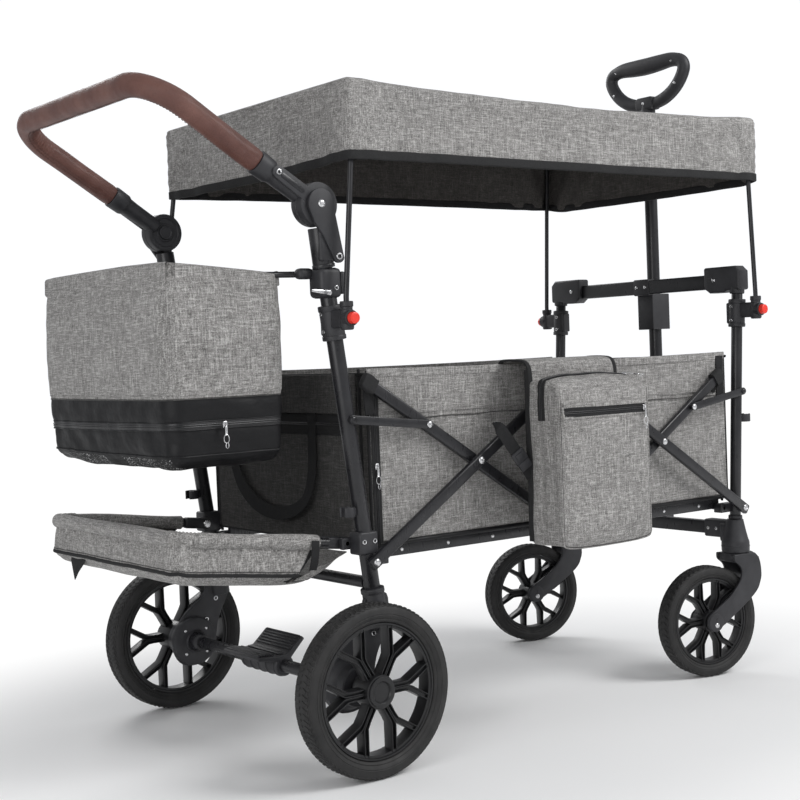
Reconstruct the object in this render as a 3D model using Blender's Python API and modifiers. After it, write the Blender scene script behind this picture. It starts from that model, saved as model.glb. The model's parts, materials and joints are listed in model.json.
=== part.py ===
"""Folding wagon with a canopy, a push handle, a pull handle, a rear bag and a footrest tray.

Metres, +Z up, +X to the front. The right side is -Y. The origin lies on the ground, under the
middle of the whole wagon's box.
"""
from math import atan2, cos, hypot, pi, radians, sin, tan

import bmesh
import bpy
from mathutils import Matrix, Vector

for old in list(bpy.data.objects):
    bpy.data.objects.remove(old, do_unlink=True)

# Clearances
SEAT_GAP = 0.0003
RUNNING_GAP = 0.0005

# Widths: the basket sets the lanes of the bars, and the posts stand in line with the inner lane
BASKET_HALF_WIDTH = 0.252
BASKET_CLEARANCE = 0.005
BAR_THICKNESS = 0.011
LANE_GAP = 0.004
INNER_LANE_Y = BASKET_HALF_WIDTH + BASKET_CLEARANCE
OUTER_LANE_Y = INNER_LANE_Y + BAR_THICKNESS + LANE_GAP
POST_Y = INNER_LANE_Y

# Wheels
REAR_WHEEL_RADIUS = 0.140
REAR_TYRE_WIDTH = 0.044
REAR_AXLE_X = -0.420
REAR_WHEEL_STANDOFF = 0.071
REAR_WHEEL_Y = POST_Y + REAR_WHEEL_STANDOFF
FRONT_WHEEL_RADIUS = 0.111
FRONT_TYRE_WIDTH = 0.038
TYRE_SEAT_SHARE = 0.78
REAR_HUB_RADIUS = 0.028
FRONT_HUB_RADIUS = 0.022
AXLE_RADIUS = 0.006
SPOKES = 6

# Casters
SWIVEL_X = 0.548
CASTER_TRAIL = 0.078
CASTER_TURN = {-1: radians(-11), 1: radians(-17)}
HOUSING_TOP_Z = 0.3087
HOUSING_BOTTOM_Z = 0.2425
HOUSING_RADIUS = 0.028
SWIVEL_STEM_RADIUS = 0.008
FORK_PLATE = 0.006

# Posts
REAR_POST_RADIUS = 0.0135
FRONT_POST_RADIUS = 0.011
HANDLE_JOINT_X = -0.447
HANDLE_JOINT_Z = 0.913
REAR_POST_LEAN = radians(7.6)
FRONT_FOOT_X = 0.5515
FRONT_POST_LEAN = radians(3.4)
REAR_POST_BOTTOM_Z = 0.245
REAR_POST_TOP_Z = 0.865
FRONT_POST_TOP_Z = 0.7817
POST_CLIP_Z = 0.405

# Scissor linkage
FOOT_Z = 0.333
REST_ANGLE = radians(32.9)
FULL_FOLD = radians(41)
BAR_WIDTH = 0.020
TONGUE_LENGTH = 0.046
TONGUE_GAP = 0.001
BAR_OVERHANG = 0.010
PIN_RADIUS = 0.004
RIVET_HEAD_RADIUS = 0.0065
RIVET_HEAD = 0.0022
LINK_POST_Z = 0.567
LINK_WIDTH = 0.012
LINK_THICKNESS = 0.0045
REAR_LINK_REACH = 0.125
FRONT_LINK_REACH = 0.113
REAR_TOP_REACH = 0.262
FRONT_TOP_REACH = 0.215

# Floor and basket
FLOOR_HINGE_INSET = 0.034
RAIL_INSET = 0.031
RAIL_Y = POST_Y - RAIL_INSET
RAIL_WIDTH = 0.010
RAIL_HEIGHT = 0.020
RAIL_BOTTOM_Z = 0.331
FLOOR_HALF_GAP = 0.032
FLOOR_BOARD = 0.006
BASKET_TOP_Z = 0.645
BASKET_WALL = 0.004
PANEL_THICKNESS = 0.005
PANEL_INSET = 0.017
PANEL_HALF_WIDTH = BASKET_HALF_WIDTH - PANEL_INSET
BASKET_REAR_X = -0.3541
BASKET_FRONT_X = 0.536

# Canopy
CANOPY_REAR_X = -0.410
CANOPY_FRONT_X = 0.600
CANOPY_OVERHANG = 0.014
CANOPY_BOTTOM_Z = 0.984
CANOPY_TOP_Z = 1.114
CANOPY_CLOTH = 0.003
CANOPY_SIDE_TUCK = 0.008
CANOPY_END_TUCK = 0.010
CANOPY_SAG = 0.006
POLE_RADIUS = 0.0045
POLE_STANDOFF = 0.047
POLE_LEAN_IN = 0.015
POLE_FOOT_Y = POST_Y + POLE_STANDOFF
POLE_TOP_Y = POLE_FOOT_Y - POLE_LEAN_IN
CANOPY_HALF_WIDTH = POLE_TOP_Y + CANOPY_OVERHANG
SOCKET_TOP_Z = 0.751
SOCKET_HEIGHT = 0.053
SOCKET_BOTTOM_Z = SOCKET_TOP_Z - SOCKET_HEIGHT
SOCKET_ARM_BOTTOM_Z = SOCKET_BOTTOM_Z + 0.016
SOCKET_ARM_TOP_Z = SOCKET_TOP_Z - 0.007
CUP_RISE = 0.006
CUP_TOP_Z = SOCKET_TOP_Z + CUP_RISE
CUP_BOTTOM_Z = SOCKET_ARM_BOTTOM_Z - 0.002
POLE_FOOT_Z = CUP_BOTTOM_Z + 0.010
CUP_RADIUS = 0.0105
BUTTON_RADIUS = 0.0095
BUTTON_LENGTH = 0.012
BUTTON_Z = SOCKET_ARM_TOP_Z - 0.014

# Push handle
JOINT_RADIUS = 0.035
JOINT_WIDTH = 0.0305
JOINT_OUTSET = 0.0145
JOINT_OUTER_Y = POST_Y + JOINT_OUTSET
JOINT_INNER_Y = JOINT_OUTER_Y - JOINT_WIDTH
CHEEK = 0.006
HANDLE_RISE = radians(32.5)
HANDLE_REACH = 0.335
HANDLE_INSET = 0.007
HANDLE_Y = POST_Y - HANDLE_INSET
HANDLE_TUBE_RADIUS = 0.0125
HANDLE_CORNER = 0.075
GRIP_RADIUS = 0.0185
GRIP_START = 0.122
JOINT_BUTTON_RADIUS = 0.013

# Pull handle
PULL_X = 0.612
PULL_HINGE_Z = 0.300
PULL_TUBE_RADIUS = 0.0135
PULL_ROD_RADIUS = 0.010
PULL_TUBE_TOP_Z = 1.112
PULL_NECK_Z = 1.175
GRIP_LOOP_HALF_WIDTH = 0.108
GRIP_LOOP_HEIGHT = 0.088
GRIP_LOOP_RADIUS = 0.0135

# Rear bag
BAG_FRONT_X = -0.4945
BAG_REAR_X = -0.6963
BAG_INSET = 0.040
BAG_HALF_WIDTH = POST_Y - BAG_INSET
BAG_BOTTOM_Z = 0.507
BAG_TOP_Z = 0.799
BAG_WALL = 0.004
BAG_HOOP_RADIUS = 0.005
BAG_CLAMP_Z = 0.787

# Footrest tray
TRAY_HINGE_Z = 0.364
TRAY_HINGE_REACH = 0.027
TRAY_TILT = radians(7)
TRAY_LENGTH = 0.300
TRAY_INSET = 0.029
TRAY_HALF_WIDTH = POST_Y - TRAY_INSET
TRAY_TUBE_RADIUS = 0.009
TRAY_DEPTH = 0.062
TRAY_CLOTH = 0.004

# Side bag
SIDE_BAG_X = (-0.061, 0.157)
SIDE_BAG_STANDOFF = 0.032
SIDE_BAG_DEPTH = 0.082
SIDE_BAG_INNER_Y = OUTER_LANE_Y + BAR_THICKNESS + SIDE_BAG_STANDOFF
SIDE_BAG_Y = (SIDE_BAG_INNER_Y, SIDE_BAG_INNER_Y + SIDE_BAG_DEPTH)
SIDE_BAG_Z = (0.331, 0.612)

# Brake
BRAKE_BAR_RADIUS = 0.011
BELL_INSET = 0.019
BELL_LENGTH = 0.054
BELL_INNER_Y = POST_Y - BELL_INSET
BELL_OUTER_Y = BELL_INNER_Y + BELL_LENGTH
BELL_RADIUS = 0.046
PEDAL_WIDTH = 0.118
PEDAL_Y = -0.010

ROUND = 12
RIVET_SIDES = 8

scene = bpy.context.scene
parts = bpy.data.collections.new("folding_wagon")
cutters = bpy.data.collections.new("cutters")
scene.collection.children.link(parts)
scene.collection.children.link(cutters)


def finish(name, colour, roughness, metallic=0.0):
    """A plain Principled material."""
    material = bpy.data.materials.new(name)
    material.use_nodes = True
    shader = material.node_tree.nodes["Principled BSDF"]
    shader.inputs["Base Color"].default_value = (*colour, 1)
    shader.inputs["Roughness"].default_value = roughness
    shader.inputs["Metallic"].default_value = metallic
    return material


BLACK_PAINT = finish("black_paint", (0.018, 0.018, 0.020), 0.38, 0.1)
BLACK_PLASTIC = finish("black_plastic", (0.022, 0.022, 0.024), 0.55)
TYRE_RUBBER = finish("tyre_rubber", (0.020, 0.020, 0.021), 0.75)
GREY_CLOTH = finish("grey_cloth", (0.23, 0.23, 0.235), 0.95)
BROWN_LEATHER = finish("brown_leather", (0.085, 0.038, 0.028), 0.48)
RED_PLASTIC = finish("red_plastic", (0.75, 0.02, 0.025), 0.35)
GREY_BOARD = finish("grey_board", (0.10, 0.10, 0.105), 0.8)


def put(name, data, material, location=(0, 0, 0), rotation=(0, 0, 0)):
    """Link a mesh or curve as a part."""
    piece = bpy.data.objects.new(name, data)
    piece.location = location
    piece.rotation_euler = rotation
    data.materials.append(material)
    parts.objects.link(piece)
    return piece


def mesh_of(name, shape):
    """Turn a bmesh into a mesh with smooth round sides."""
    mesh = bpy.data.meshes.new(name)
    shape.to_mesh(mesh)
    shape.free()
    mesh.shade_smooth()
    mesh.set_sharp_from_angle(angle=radians(35))
    return mesh


def box(name, low, high, material, bevel=0.0, segments=1, turn=(0, 0, 0)):
    """A block between two corners, with its edges bevelled; turn is about the block's middle."""
    low, high = Vector(low), Vector(high)
    shape = bmesh.new()
    bmesh.ops.create_cube(shape, size=1)
    bmesh.ops.scale(shape, vec=high - low, verts=shape.verts)
    if bevel:
        bmesh.ops.bevel(shape, geom=shape.edges[:], offset=bevel, affect="EDGES", segments=segments,
                        profile=0.5, material=-1)
    return put(name, mesh_of(name, shape), material, (low + high) / 2, turn)


def rod(name, start, end, radius, material, end_radius=None, sides=ROUND):
    """A round bar or cone between two points."""
    start, end = Vector(start), Vector(end)
    along = end - start
    shape = bmesh.new()
    bmesh.ops.create_cone(shape, cap_ends=True, segments=sides, radius1=radius,
                          radius2=radius if end_radius is None else end_radius, depth=along.length)
    turn = along.to_track_quat("Z", "Y").to_euler()
    return put(name, mesh_of(name, shape), material, (start + end) / 2, turn)


def turned(name, profile, material, location, rotation, closed=True, steps=28):
    """Revolve a profile of (radius, height) points about the piece's own Z axis."""
    shape = bmesh.new()
    corners = [shape.verts.new((radius, 0, height)) for radius, height in profile]
    for first, second in zip(corners, corners[1:]):
        shape.edges.new((first, second))
    if closed:
        shape.edges.new((corners[-1], corners[0]))
    piece = put(name, mesh_of(name, shape), material, location, rotation)
    screw = piece.modifiers.new("revolve", "SCREW")
    screw.steps = steps
    screw.render_steps = steps
    screw.use_merge_vertices = True
    screw.merge_threshold = 0.00001
    return piece


def outline(name, loops, thickness, material, location=(0, 0, 0), rotation=(0, 0, 0)):
    """A flat outline with its holes, filled and extruded about its own plane."""
    curve = bpy.data.curves.new(name, "CURVE")
    curve.dimensions = "2D"
    curve.fill_mode = "BOTH"
    curve.extrude = thickness / 2
    for loop in loops:
        spline = curve.splines.new("POLY")
        spline.points.add(len(loop) - 1)
        for point, (across, up) in zip(spline.points, loop):
            point.co = (across, up, 0, 1)
        spline.use_cyclic_u = True
    return as_mesh(put(name, curve, material, location, rotation))


def tube(name, points, radius, material, sides=3, cyclic=False):
    """A round tube along points, with filled ends; sides is the bevel resolution."""
    curve = bpy.data.curves.new(name, "CURVE")
    curve.dimensions = "3D"
    curve.bevel_depth = radius
    curve.bevel_resolution = sides
    curve.use_fill_caps = not cyclic
    spline = curve.splines.new("POLY")
    spline.points.add(len(points) - 1)
    for point, place in zip(spline.points, points):
        point.co = (*place, 1)
    spline.use_cyclic_u = cyclic
    return as_mesh(put(name, curve, material))


def as_mesh(piece):
    """Replace a curve piece by its mesh, with its caps welded."""
    depsgraph = bpy.context.evaluated_depsgraph_get()
    mesh = bpy.data.meshes.new_from_object(piece.evaluated_get(depsgraph))
    shape = bmesh.new()
    shape.from_mesh(mesh)
    bmesh.ops.remove_doubles(shape, verts=shape.verts, dist=0.00001)
    bmesh.ops.recalc_face_normals(shape, faces=shape.faces)
    shape.to_mesh(mesh)
    shape.free()
    mesh.shade_smooth()
    mesh.set_sharp_from_angle(angle=radians(35))
    name, material = piece.name, piece.data.materials[0]
    location, rotation = piece.location.copy(), piece.rotation_euler.copy()
    bpy.data.objects.remove(piece, do_unlink=True)
    mesh.materials.clear()
    return put(name, mesh, material, location, rotation)


def work(piece, tools, operation):
    """Add or cut the tools, which become hidden guides that follow the piece."""
    for tool in tools:
        parts.objects.unlink(tool)
        cutters.objects.link(tool)
        tool.hide_render = True
        tool.display_type = "WIRE"
        tool.parent = piece
        tool.matrix_parent_inverse = piece.matrix_basis.inverted()
        boolean = piece.modifiers.new(tool.name, "BOOLEAN")
        boolean.operation = operation
        boolean.solver = "EXACT"
        boolean.object = tool
    return piece


def join(piece, *tools):
    return work(piece, tools, "UNION")


def cut(piece, *tools):
    return work(piece, tools, "DIFFERENCE")


def arc(centre, radius, start, end, steps):
    """Points on an arc in a plane, start and end in radians."""
    return [(centre[0] + radius * cos(start + (end - start) * k / steps),
             centre[1] + radius * sin(start + (end - start) * k / steps)) for k in range(steps + 1)]


def side_name(side):
    return "right" if side < 0 else "left"


def rear_post_x(z):
    return HANDLE_JOINT_X + (HANDLE_JOINT_Z - z) * tan(REAR_POST_LEAN)


def front_post_x(z):
    return FRONT_FOOT_X + (z - FOOT_Z) * tan(FRONT_POST_LEAN)


REAR_FOOT_X = rear_post_x(FOOT_Z)
MIDDLE_X = (REAR_FOOT_X + FRONT_FOOT_X) / 2
BAR_LENGTH = (MIDDLE_X - REAR_FOOT_X) / cos(REST_ANGLE)
TOP_Z = FOOT_Z + BAR_LENGTH * sin(REST_ANGLE)
CROSS_Z = (FOOT_Z + TOP_Z) / 2
REAR_CROSS_X = (REAR_FOOT_X + MIDDLE_X) / 2
FRONT_CROSS_X = (FRONT_FOOT_X + MIDDLE_X) / 2
FACE_OUT = {-1: pi / 2, 1: -pi / 2}


def wheel_profile(radius, width):
    """The tyre's section, from its inner top corner round the tread."""
    seat = radius * TYRE_SEAT_SHARE + SEAT_GAP
    depth = radius - seat
    half = width / 2
    upper = [(seat, half * 0.72), (seat + depth * 0.5, half), (radius, half * 0.55)]
    return upper + [(r, -h) for r, h in reversed(upper)]


def spoke_windows(hub, fork, rim):
    """Twelve openings that leave six Y-shaped spokes."""
    stem = 0.0085
    split = radians(17)
    arm = 0.0055 / rim
    pitch = 2 * pi / SPOKES
    windows = []
    for k in range(SPOKES):
        start = k * pitch
        side = [(hub, stem), (fork, stem)]
        polar = [(hypot(x, y), atan2(y, x)) for x, y in side]
        polar.append((rim, split + arm))
        polar += [(r, pitch - a) for r, a in reversed(polar)]
        windows.append([(r * cos(start + a), r * sin(start + a)) for r, a in polar])
        notch = [(fork + 0.012, 0.0), (rim, split - arm), (rim, arm - split)]
        windows.append([(r * cos(start + a), r * sin(start + a)) for r, a in notch])
    return windows


def wheel(prefix, side, centre, radius, width, hub_radius, hub_half, bore_depth, turn=0.0):
    """A rim with Y spokes and a tyre; the wheel's own +Z faces outboard and the bore starts inboard."""
    facing = (FACE_OUT[side], 0, turn)
    seat = radius * TYRE_SEAT_SHARE
    inner = seat - 0.008
    half = width * 0.36
    ring = [(seat, half), (seat, -half), (inner, -half), (inner - 0.002, 0), (inner, half)]
    rim = turned(prefix + "_rim", ring, BLACK_PLASTIC, centre, facing)
    bore = AXLE_RADIUS + RUNNING_GAP
    middle_hole = arc((0, 0), hub_radius - 0.004, 0, 2 * pi * 7 / 8, 7)
    disc = [arc((0, 0), inner + 0.003, 0.04, 0.04 + 2 * pi * 19 / 20, 19), middle_hole]
    disc += spoke_windows(hub_radius + 0.003, radius * 0.47, inner - 0.004)
    spider = outline(prefix + "_spider", disc, 0.013, BLACK_PLASTIC)
    spider.matrix_basis = rim.matrix_basis @ Matrix.Translation((0, 0, half * 0.35))
    section = [(hub_radius * 0.72, hub_half), (hub_radius * 0.80, hub_half - 0.002),
               (hub_radius, hub_half - 0.003),
               (hub_radius, -hub_half), (bore, -hub_half)]
    through = bore_depth >= 2 * hub_half
    if through:
        section += [(bore, hub_half)]
    else:
        section = [(0, hub_half)] + section + [(bore, bore_depth - hub_half), (0, bore_depth - hub_half)]
    hub = turned(prefix + "_hub", section, BLACK_PLASTIC, centre, facing, closed=through, steps=16)
    hub.matrix_basis = rim.matrix_basis @ Matrix.Rotation(radians(4), 4, "Z")
    tyre = turned(prefix + "_tyre", wheel_profile(radius, width), TYRE_RUBBER, centre, facing)
    return join(rim, spider, hub), tyre


def rear_wheels():
    """The two fixed rear wheels; their hubs are closed on the outboard side."""
    hub_half = REAR_TYRE_WIDTH / 2 + 0.002
    for side in (-1, 1):
        centre = (REAR_AXLE_X, side * REAR_WHEEL_Y, REAR_WHEEL_RADIUS)
        wheel("rear_" + side_name(side), side, centre, REAR_WHEEL_RADIUS, REAR_TYRE_WIDTH, REAR_HUB_RADIUS,
              hub_half, 2 * hub_half - 0.008)


def axle_brackets():
    """The plate under each rear post, with the brake bell and the wheel's stub axle."""
    for side in (-1, 1):
        name = "axle_bracket_" + side_name(side)
        foot = REAR_POST_BOTTOM_Z
        x = rear_post_x(foot)
        plate = [(x - 0.018, 0.274), (x + 0.020, 0.274), (x + 0.014, 0.225), (x - 0.012, 0.170),
                 (x - 0.018, 0.120), (REAR_AXLE_X + 0.020, 0.098), (REAR_AXLE_X - 0.020, 0.100),
                 (REAR_AXLE_X - 0.034, 0.140), (REAR_AXLE_X - 0.012, 0.186), (x - 0.030, 0.225)]
        bracket = outline(name, [plate], FORK_PLATE, BLACK_PLASTIC, (0, side * POST_Y, 0), (pi / 2, 0, 0))
        sleeve_low, sleeve_high = foot - 0.020, foot + 0.042
        sleeve = rod(name + "_sleeve", (rear_post_x(sleeve_low), side * POST_Y, sleeve_low),
                     (rear_post_x(sleeve_high), side * POST_Y,
                      sleeve_high), REAR_POST_RADIUS + 0.0045, BLACK_PLASTIC)
        axle = (REAR_AXLE_X, REAR_WHEEL_RADIUS)
        bell = rod(name + "_bell", (axle[0], side * BELL_INNER_Y, axle[1]),
                   (axle[0], side * BELL_OUTER_Y, axle[1]),
                   BELL_RADIUS, BLACK_PLASTIC, BELL_RADIUS * 0.74, 24)
        hub_face = REAR_WHEEL_Y - REAR_TYRE_WIDTH / 2 - 0.002 - SEAT_GAP
        shoulder = rod(name + "_shoulder", (axle[0], side * (BELL_OUTER_Y - 0.004), axle[1]),
                       (axle[0], side * hub_face, axle[1]), 0.013, BLACK_PLASTIC)
        stub = rod(name + "_stub", (axle[0], side * (BELL_OUTER_Y - 0.002), axle[1]),
                   (axle[0], side * (REAR_WHEEL_Y + 0.012), axle[1]), AXLE_RADIUS, BLACK_PLASTIC)
        join(bracket, sleeve, bell, shoulder, stub)
        socket_end = foot + 0.075
        socket = rod(name + "_socket", (rear_post_x(foot - SEAT_GAP), side * POST_Y, foot - SEAT_GAP),
                     (rear_post_x(socket_end), side * POST_Y,
                      socket_end), REAR_POST_RADIUS + SEAT_GAP, BLACK_PLASTIC)
        recess = rod(name + "_recess", (axle[0], side * (BELL_INNER_Y - 0.01), axle[1]),
                     (axle[0], side * (BELL_INNER_Y + 0.0068),
                      axle[1]), BRAKE_BAR_RADIUS + RUNNING_GAP, BLACK_PLASTIC)
        cut(bracket, socket, recess)


def pivot_pin(name, x, z, side, inner, outer):
    """A rivet from inside a post or bar to just past its outer neighbour, with a domed head."""
    face = outer + SEAT_GAP
    pin = rod(name, (x, side * inner, z), (x, side * (face + RIVET_HEAD / 2), z), PIN_RADIUS, BLACK_PAINT,
              sides=RIVET_SIDES)
    head = rod(name + "_head", (x, side * face, z), (x, side * (face + RIVET_HEAD), z), RIVET_HEAD_RADIUS,
               BLACK_PAINT, RIVET_HEAD_RADIUS * 0.75, RIVET_SIDES)
    return join(pin, head)


def pin_hole(name, x, z, side, inner, outer):
    """The drill for a rivet, longer than the bar that it goes through."""
    return rod(name, (x, side * (inner - 0.003), z), (x, side * (outer + 0.003), z), PIN_RADIUS + RUNNING_GAP,
               BLACK_PAINT, sides=RIVET_SIDES)


def between(name, y_inner, y_outer, side, x_range, z_range, material, bevel=0.0):
    """A block on one side of the wagon, its Y given as distances from the middle."""
    low_y, high_y = sorted((side * y_inner, side * y_outer))
    return box(name, (x_range[0], low_y, z_range[0]), (x_range[1], high_y, z_range[1]), material, bevel)


def post_clip(name, x, z, side, facing):
    """The small open clip that holds the folded posts together."""
    return between(name, POST_Y - 0.008, POST_Y + 0.008, side, sorted((x, x + facing * 0.034)),
                   (z - 0.006, z + 0.006), BLACK_PLASTIC, 0.001)


def rear_posts():
    """The two rear uprights, with the handle joint, the hinge lug of the floor and the tray's clamp."""
    for side in (-1, 1):
        name = "rear_post_" + side_name(side)
        y = side * POST_Y
        post = rod(name, (rear_post_x(REAR_POST_BOTTOM_Z), y, REAR_POST_BOTTOM_Z),
                   (rear_post_x(REAR_POST_TOP_Z), y, REAR_POST_TOP_Z), REAR_POST_RADIUS, BLACK_PAINT)
        collar_top = HANDLE_JOINT_Z - JOINT_RADIUS - 0.002
        collar_low = REAR_POST_TOP_Z - 0.047
        collar = rod(name + "_collar", (rear_post_x(collar_low), y, collar_low),
                     (rear_post_x(collar_top), y, collar_top), REAR_POST_RADIUS + 0.003, BLACK_PLASTIC)
        cheek_outline = arc((HANDLE_JOINT_X, HANDLE_JOINT_Z), 0.024, radians(-8), radians(172), 10)
        tip = collar_low + 0.012
        cheek_outline += [(rear_post_x(tip) - 0.012, tip), (rear_post_x(collar_low), collar_low + 0.001),
                          (rear_post_x(tip) + 0.012, tip)]
        cheek_mid = JOINT_OUTER_Y + SEAT_GAP + CHEEK / 2
        cheek = outline(name + "_cheek", [cheek_outline], CHEEK, BLACK_PLASTIC, (0, side * cheek_mid, 0),
                        (pi / 2, 0, 0))
        bridge_x = rear_post_x(collar_low + 0.022)
        bridge = between(name + "_bridge", POST_Y, cheek_mid, side, (bridge_x - 0.011, bridge_x + 0.011),
                         (collar_low + 0.010, collar_top), BLACK_PLASTIC)
        axle = rod(name + "_joint_pin", (HANDLE_JOINT_X, side * (JOINT_INNER_Y + 0.008), HANDLE_JOINT_Z),
                   (HANDLE_JOINT_X, side * (cheek_mid + CHEEK), HANDLE_JOINT_Z), AXLE_RADIUS, BLACK_PAINT)
        foot_pin = pivot_pin(name + "_foot_pin", REAR_FOOT_X, FOOT_Z, side, POST_Y,
                             OUTER_LANE_Y + BAR_THICKNESS)
        link_pin = pivot_pin(name + "_link_pin", rear_post_x(LINK_POST_Z), LINK_POST_Z, side, POST_Y,
                             OUTER_LANE_Y + LINK_THICKNESS)
        lug = between(name + "_lug", RAIL_Y + RAIL_WIDTH + RUNNING_GAP, POST_Y, side,
                      (REAR_FOOT_X, REAR_FOOT_X + FLOOR_HINGE_INSET + 0.009),
                      (FOOT_Z - 0.009, FOOT_Z + 0.009),
                      BLACK_PAINT, 0.001)
        rail_pin = rod(name + "_rail_pin", (REAR_FOOT_X + FLOOR_HINGE_INSET, y, FOOT_Z),
                       (REAR_FOOT_X + FLOOR_HINGE_INSET, side * (RAIL_Y - 0.002),
                        FOOT_Z), PIN_RADIUS, BLACK_PAINT,
                       sides=RIVET_SIDES)
        clamp_x = rear_post_x(TRAY_HINGE_Z)
        clamp = between(name + "_tray_clamp", POST_Y - 0.019, POST_Y + 0.0135, side,
                        (clamp_x - 0.020, clamp_x + 0.017),
                        (TRAY_HINGE_Z - 0.019, TRAY_HINGE_Z + 0.019), BLACK_PLASTIC, 0.003)
        ear = between(name + "_tray_ear", TRAY_HALF_WIDTH + 0.0055, POST_Y - 0.010, side,
                      (clamp_x - TRAY_HINGE_REACH - 0.010, clamp_x),
                      (TRAY_HINGE_Z - 0.010, TRAY_HINGE_Z + 0.010),
                      BLACK_PLASTIC, 0.002)
        tray_pin = rod(name + "_tray_pin", (clamp_x - TRAY_HINGE_REACH, side * (POST_Y - 0.012),
                                            TRAY_HINGE_Z),
                       (clamp_x - TRAY_HINGE_REACH, side * (TRAY_HALF_WIDTH - 0.006),
                        TRAY_HINGE_Z), PIN_RADIUS,
                       BLACK_PAINT, sides=RIVET_SIDES)
        clip = post_clip(name + "_clip", rear_post_x(POST_CLIP_Z) - 0.008, POST_CLIP_Z + 0.012, side, -1)
        join(post, collar, cheek, bridge, axle, foot_pin, link_pin, lug, rail_pin, clamp, ear, tray_pin, clip)


def rear_tube():
    """The cross tube between the rear posts."""
    z = 0.296
    end = POST_Y - REAR_POST_RADIUS * 0.6
    cross = rod("rear_cross_tube", (rear_post_x(z), -end, z), (rear_post_x(z), end, z), 0.010, BLACK_PAINT)
    for side in (-1, 1):
        low, high = z - 0.056, z + 0.054
        cut(cross, rod("rear_cross_end_" + side_name(side), (rear_post_x(low), side * POST_Y, low),
                       (rear_post_x(high), side * POST_Y, high), REAR_POST_RADIUS + 0.005, BLACK_PAINT))


def brake():
    """The bar that turns in both bells, and the rocker pedal clamped to it."""
    end = BELL_INNER_Y + 0.0068 - SEAT_GAP
    x, z = REAR_AXLE_X, REAR_WHEEL_RADIUS
    rod("brake_bar", (x, -end, z), (x, end, z), BRAKE_BAR_RADIUS, BLACK_PAINT)
    section = [(x - 0.016, z - 0.018), (x + 0.014, z - 0.018), (x + 0.020, z + 0.004), (x + 0.041, z + 0.040),
               (x + 0.035, z + 0.045), (x + 0.006, z + 0.017), (x - 0.014, z + 0.015), (x - 0.052, z + 0.019),
               (x - 0.053, z + 0.013), (x - 0.020, z + 0.006)]
    pedal = outline("brake_pedal", [section], PEDAL_WIDTH, BLACK_PLASTIC, (0, PEDAL_Y, 0), (pi / 2, 0, 0))
    bore = rod("brake_pedal_bore", (x, -0.1, z), (x, 0.1, z), BRAKE_BAR_RADIUS + SEAT_GAP, BLACK_PLASTIC)
    cut(pedal, bore)


def push_handle():
    """The U-shaped handle with its two click joints, its leather sleeve and the joint buttons."""
    rise = Vector((-cos(HANDLE_RISE), 0, sin(HANDLE_RISE)))
    joint = Vector((HANDLE_JOINT_X, 0, HANDLE_JOINT_Z))

    def at(reach, y):
        return joint + rise * reach + Vector((0, y, 0))

    straight = HANDLE_REACH - HANDLE_CORNER
    corner = [(HANDLE_CORNER * sin(a), HANDLE_CORNER * (1 - cos(a))) for a in (0, pi / 6, pi / 3, pi / 2)]
    route = [at(straight + reach, -HANDLE_Y + inset) for reach, inset in corner]
    route += [Vector((p.x, -p.y, p.z)) for p in reversed(route)]
    ends = [at(0.030, -HANDLE_Y), at(0.030, HANDLE_Y)]
    frame = tube("push_handle_tube", [ends[0]] + route + [ends[1]], HANDLE_TUBE_RADIUS, BLACK_PAINT, 2)
    sleeve = tube("push_handle_grip", [at(GRIP_START, -HANDLE_Y)] + route + [at(GRIP_START, HANDLE_Y)],
                  GRIP_RADIUS,
                  BROWN_LEATHER, 2)
    bore_start = GRIP_START - 0.01
    bore = tube("push_handle_grip_bore", [at(bore_start, -HANDLE_Y)] + route + [at(bore_start, HANDLE_Y)],
                HANDLE_TUBE_RADIUS + SEAT_GAP, BROWN_LEATHER, 2)
    cut(sleeve, bore)
    tools = []
    for side in (-1, 1):
        name = "push_handle_" + side_name(side)
        drum = rod(name + "_drum", (joint.x, side * JOINT_INNER_Y, joint.z),
                   (joint.x, side * JOINT_OUTER_Y, joint.z),
                   JOINT_RADIUS, BLACK_PLASTIC, sides=24)
        socket = rod(name + "_socket", at(0.022, side * HANDLE_Y), at(GRIP_START - SEAT_GAP, side * HANDLE_Y),
                     0.0165,
                     BLACK_PLASTIC)
        tools += [drum, socket]
    join(frame, *tools)
    for side in (-1, 1):
        name = "push_handle_" + side_name(side)
        pin_hole_tool = rod(name + "_bore", (joint.x, side * (JOINT_INNER_Y + 0.0065), joint.z),
                            (joint.x, side * (JOINT_OUTER_Y + 0.01),
                             joint.z), AXLE_RADIUS + RUNNING_GAP, BLACK_PAINT)
        button_well = rod(name + "_well", (joint.x, side * (JOINT_INNER_Y - 0.01), joint.z),
                          (joint.x, side * (JOINT_INNER_Y + 0.0066),
                           joint.z), JOINT_BUTTON_RADIUS + RUNNING_GAP, BLACK_PAINT)
        cut(frame, button_well, pin_hole_tool)
        rod("handle_button_" + side_name(side), (joint.x, side * (JOINT_INNER_Y - 0.004), joint.z),
            (joint.x, side * (JOINT_INNER_Y + 0.0018), joint.z), JOINT_BUTTON_RADIUS, BLACK_PLASTIC)


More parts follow.
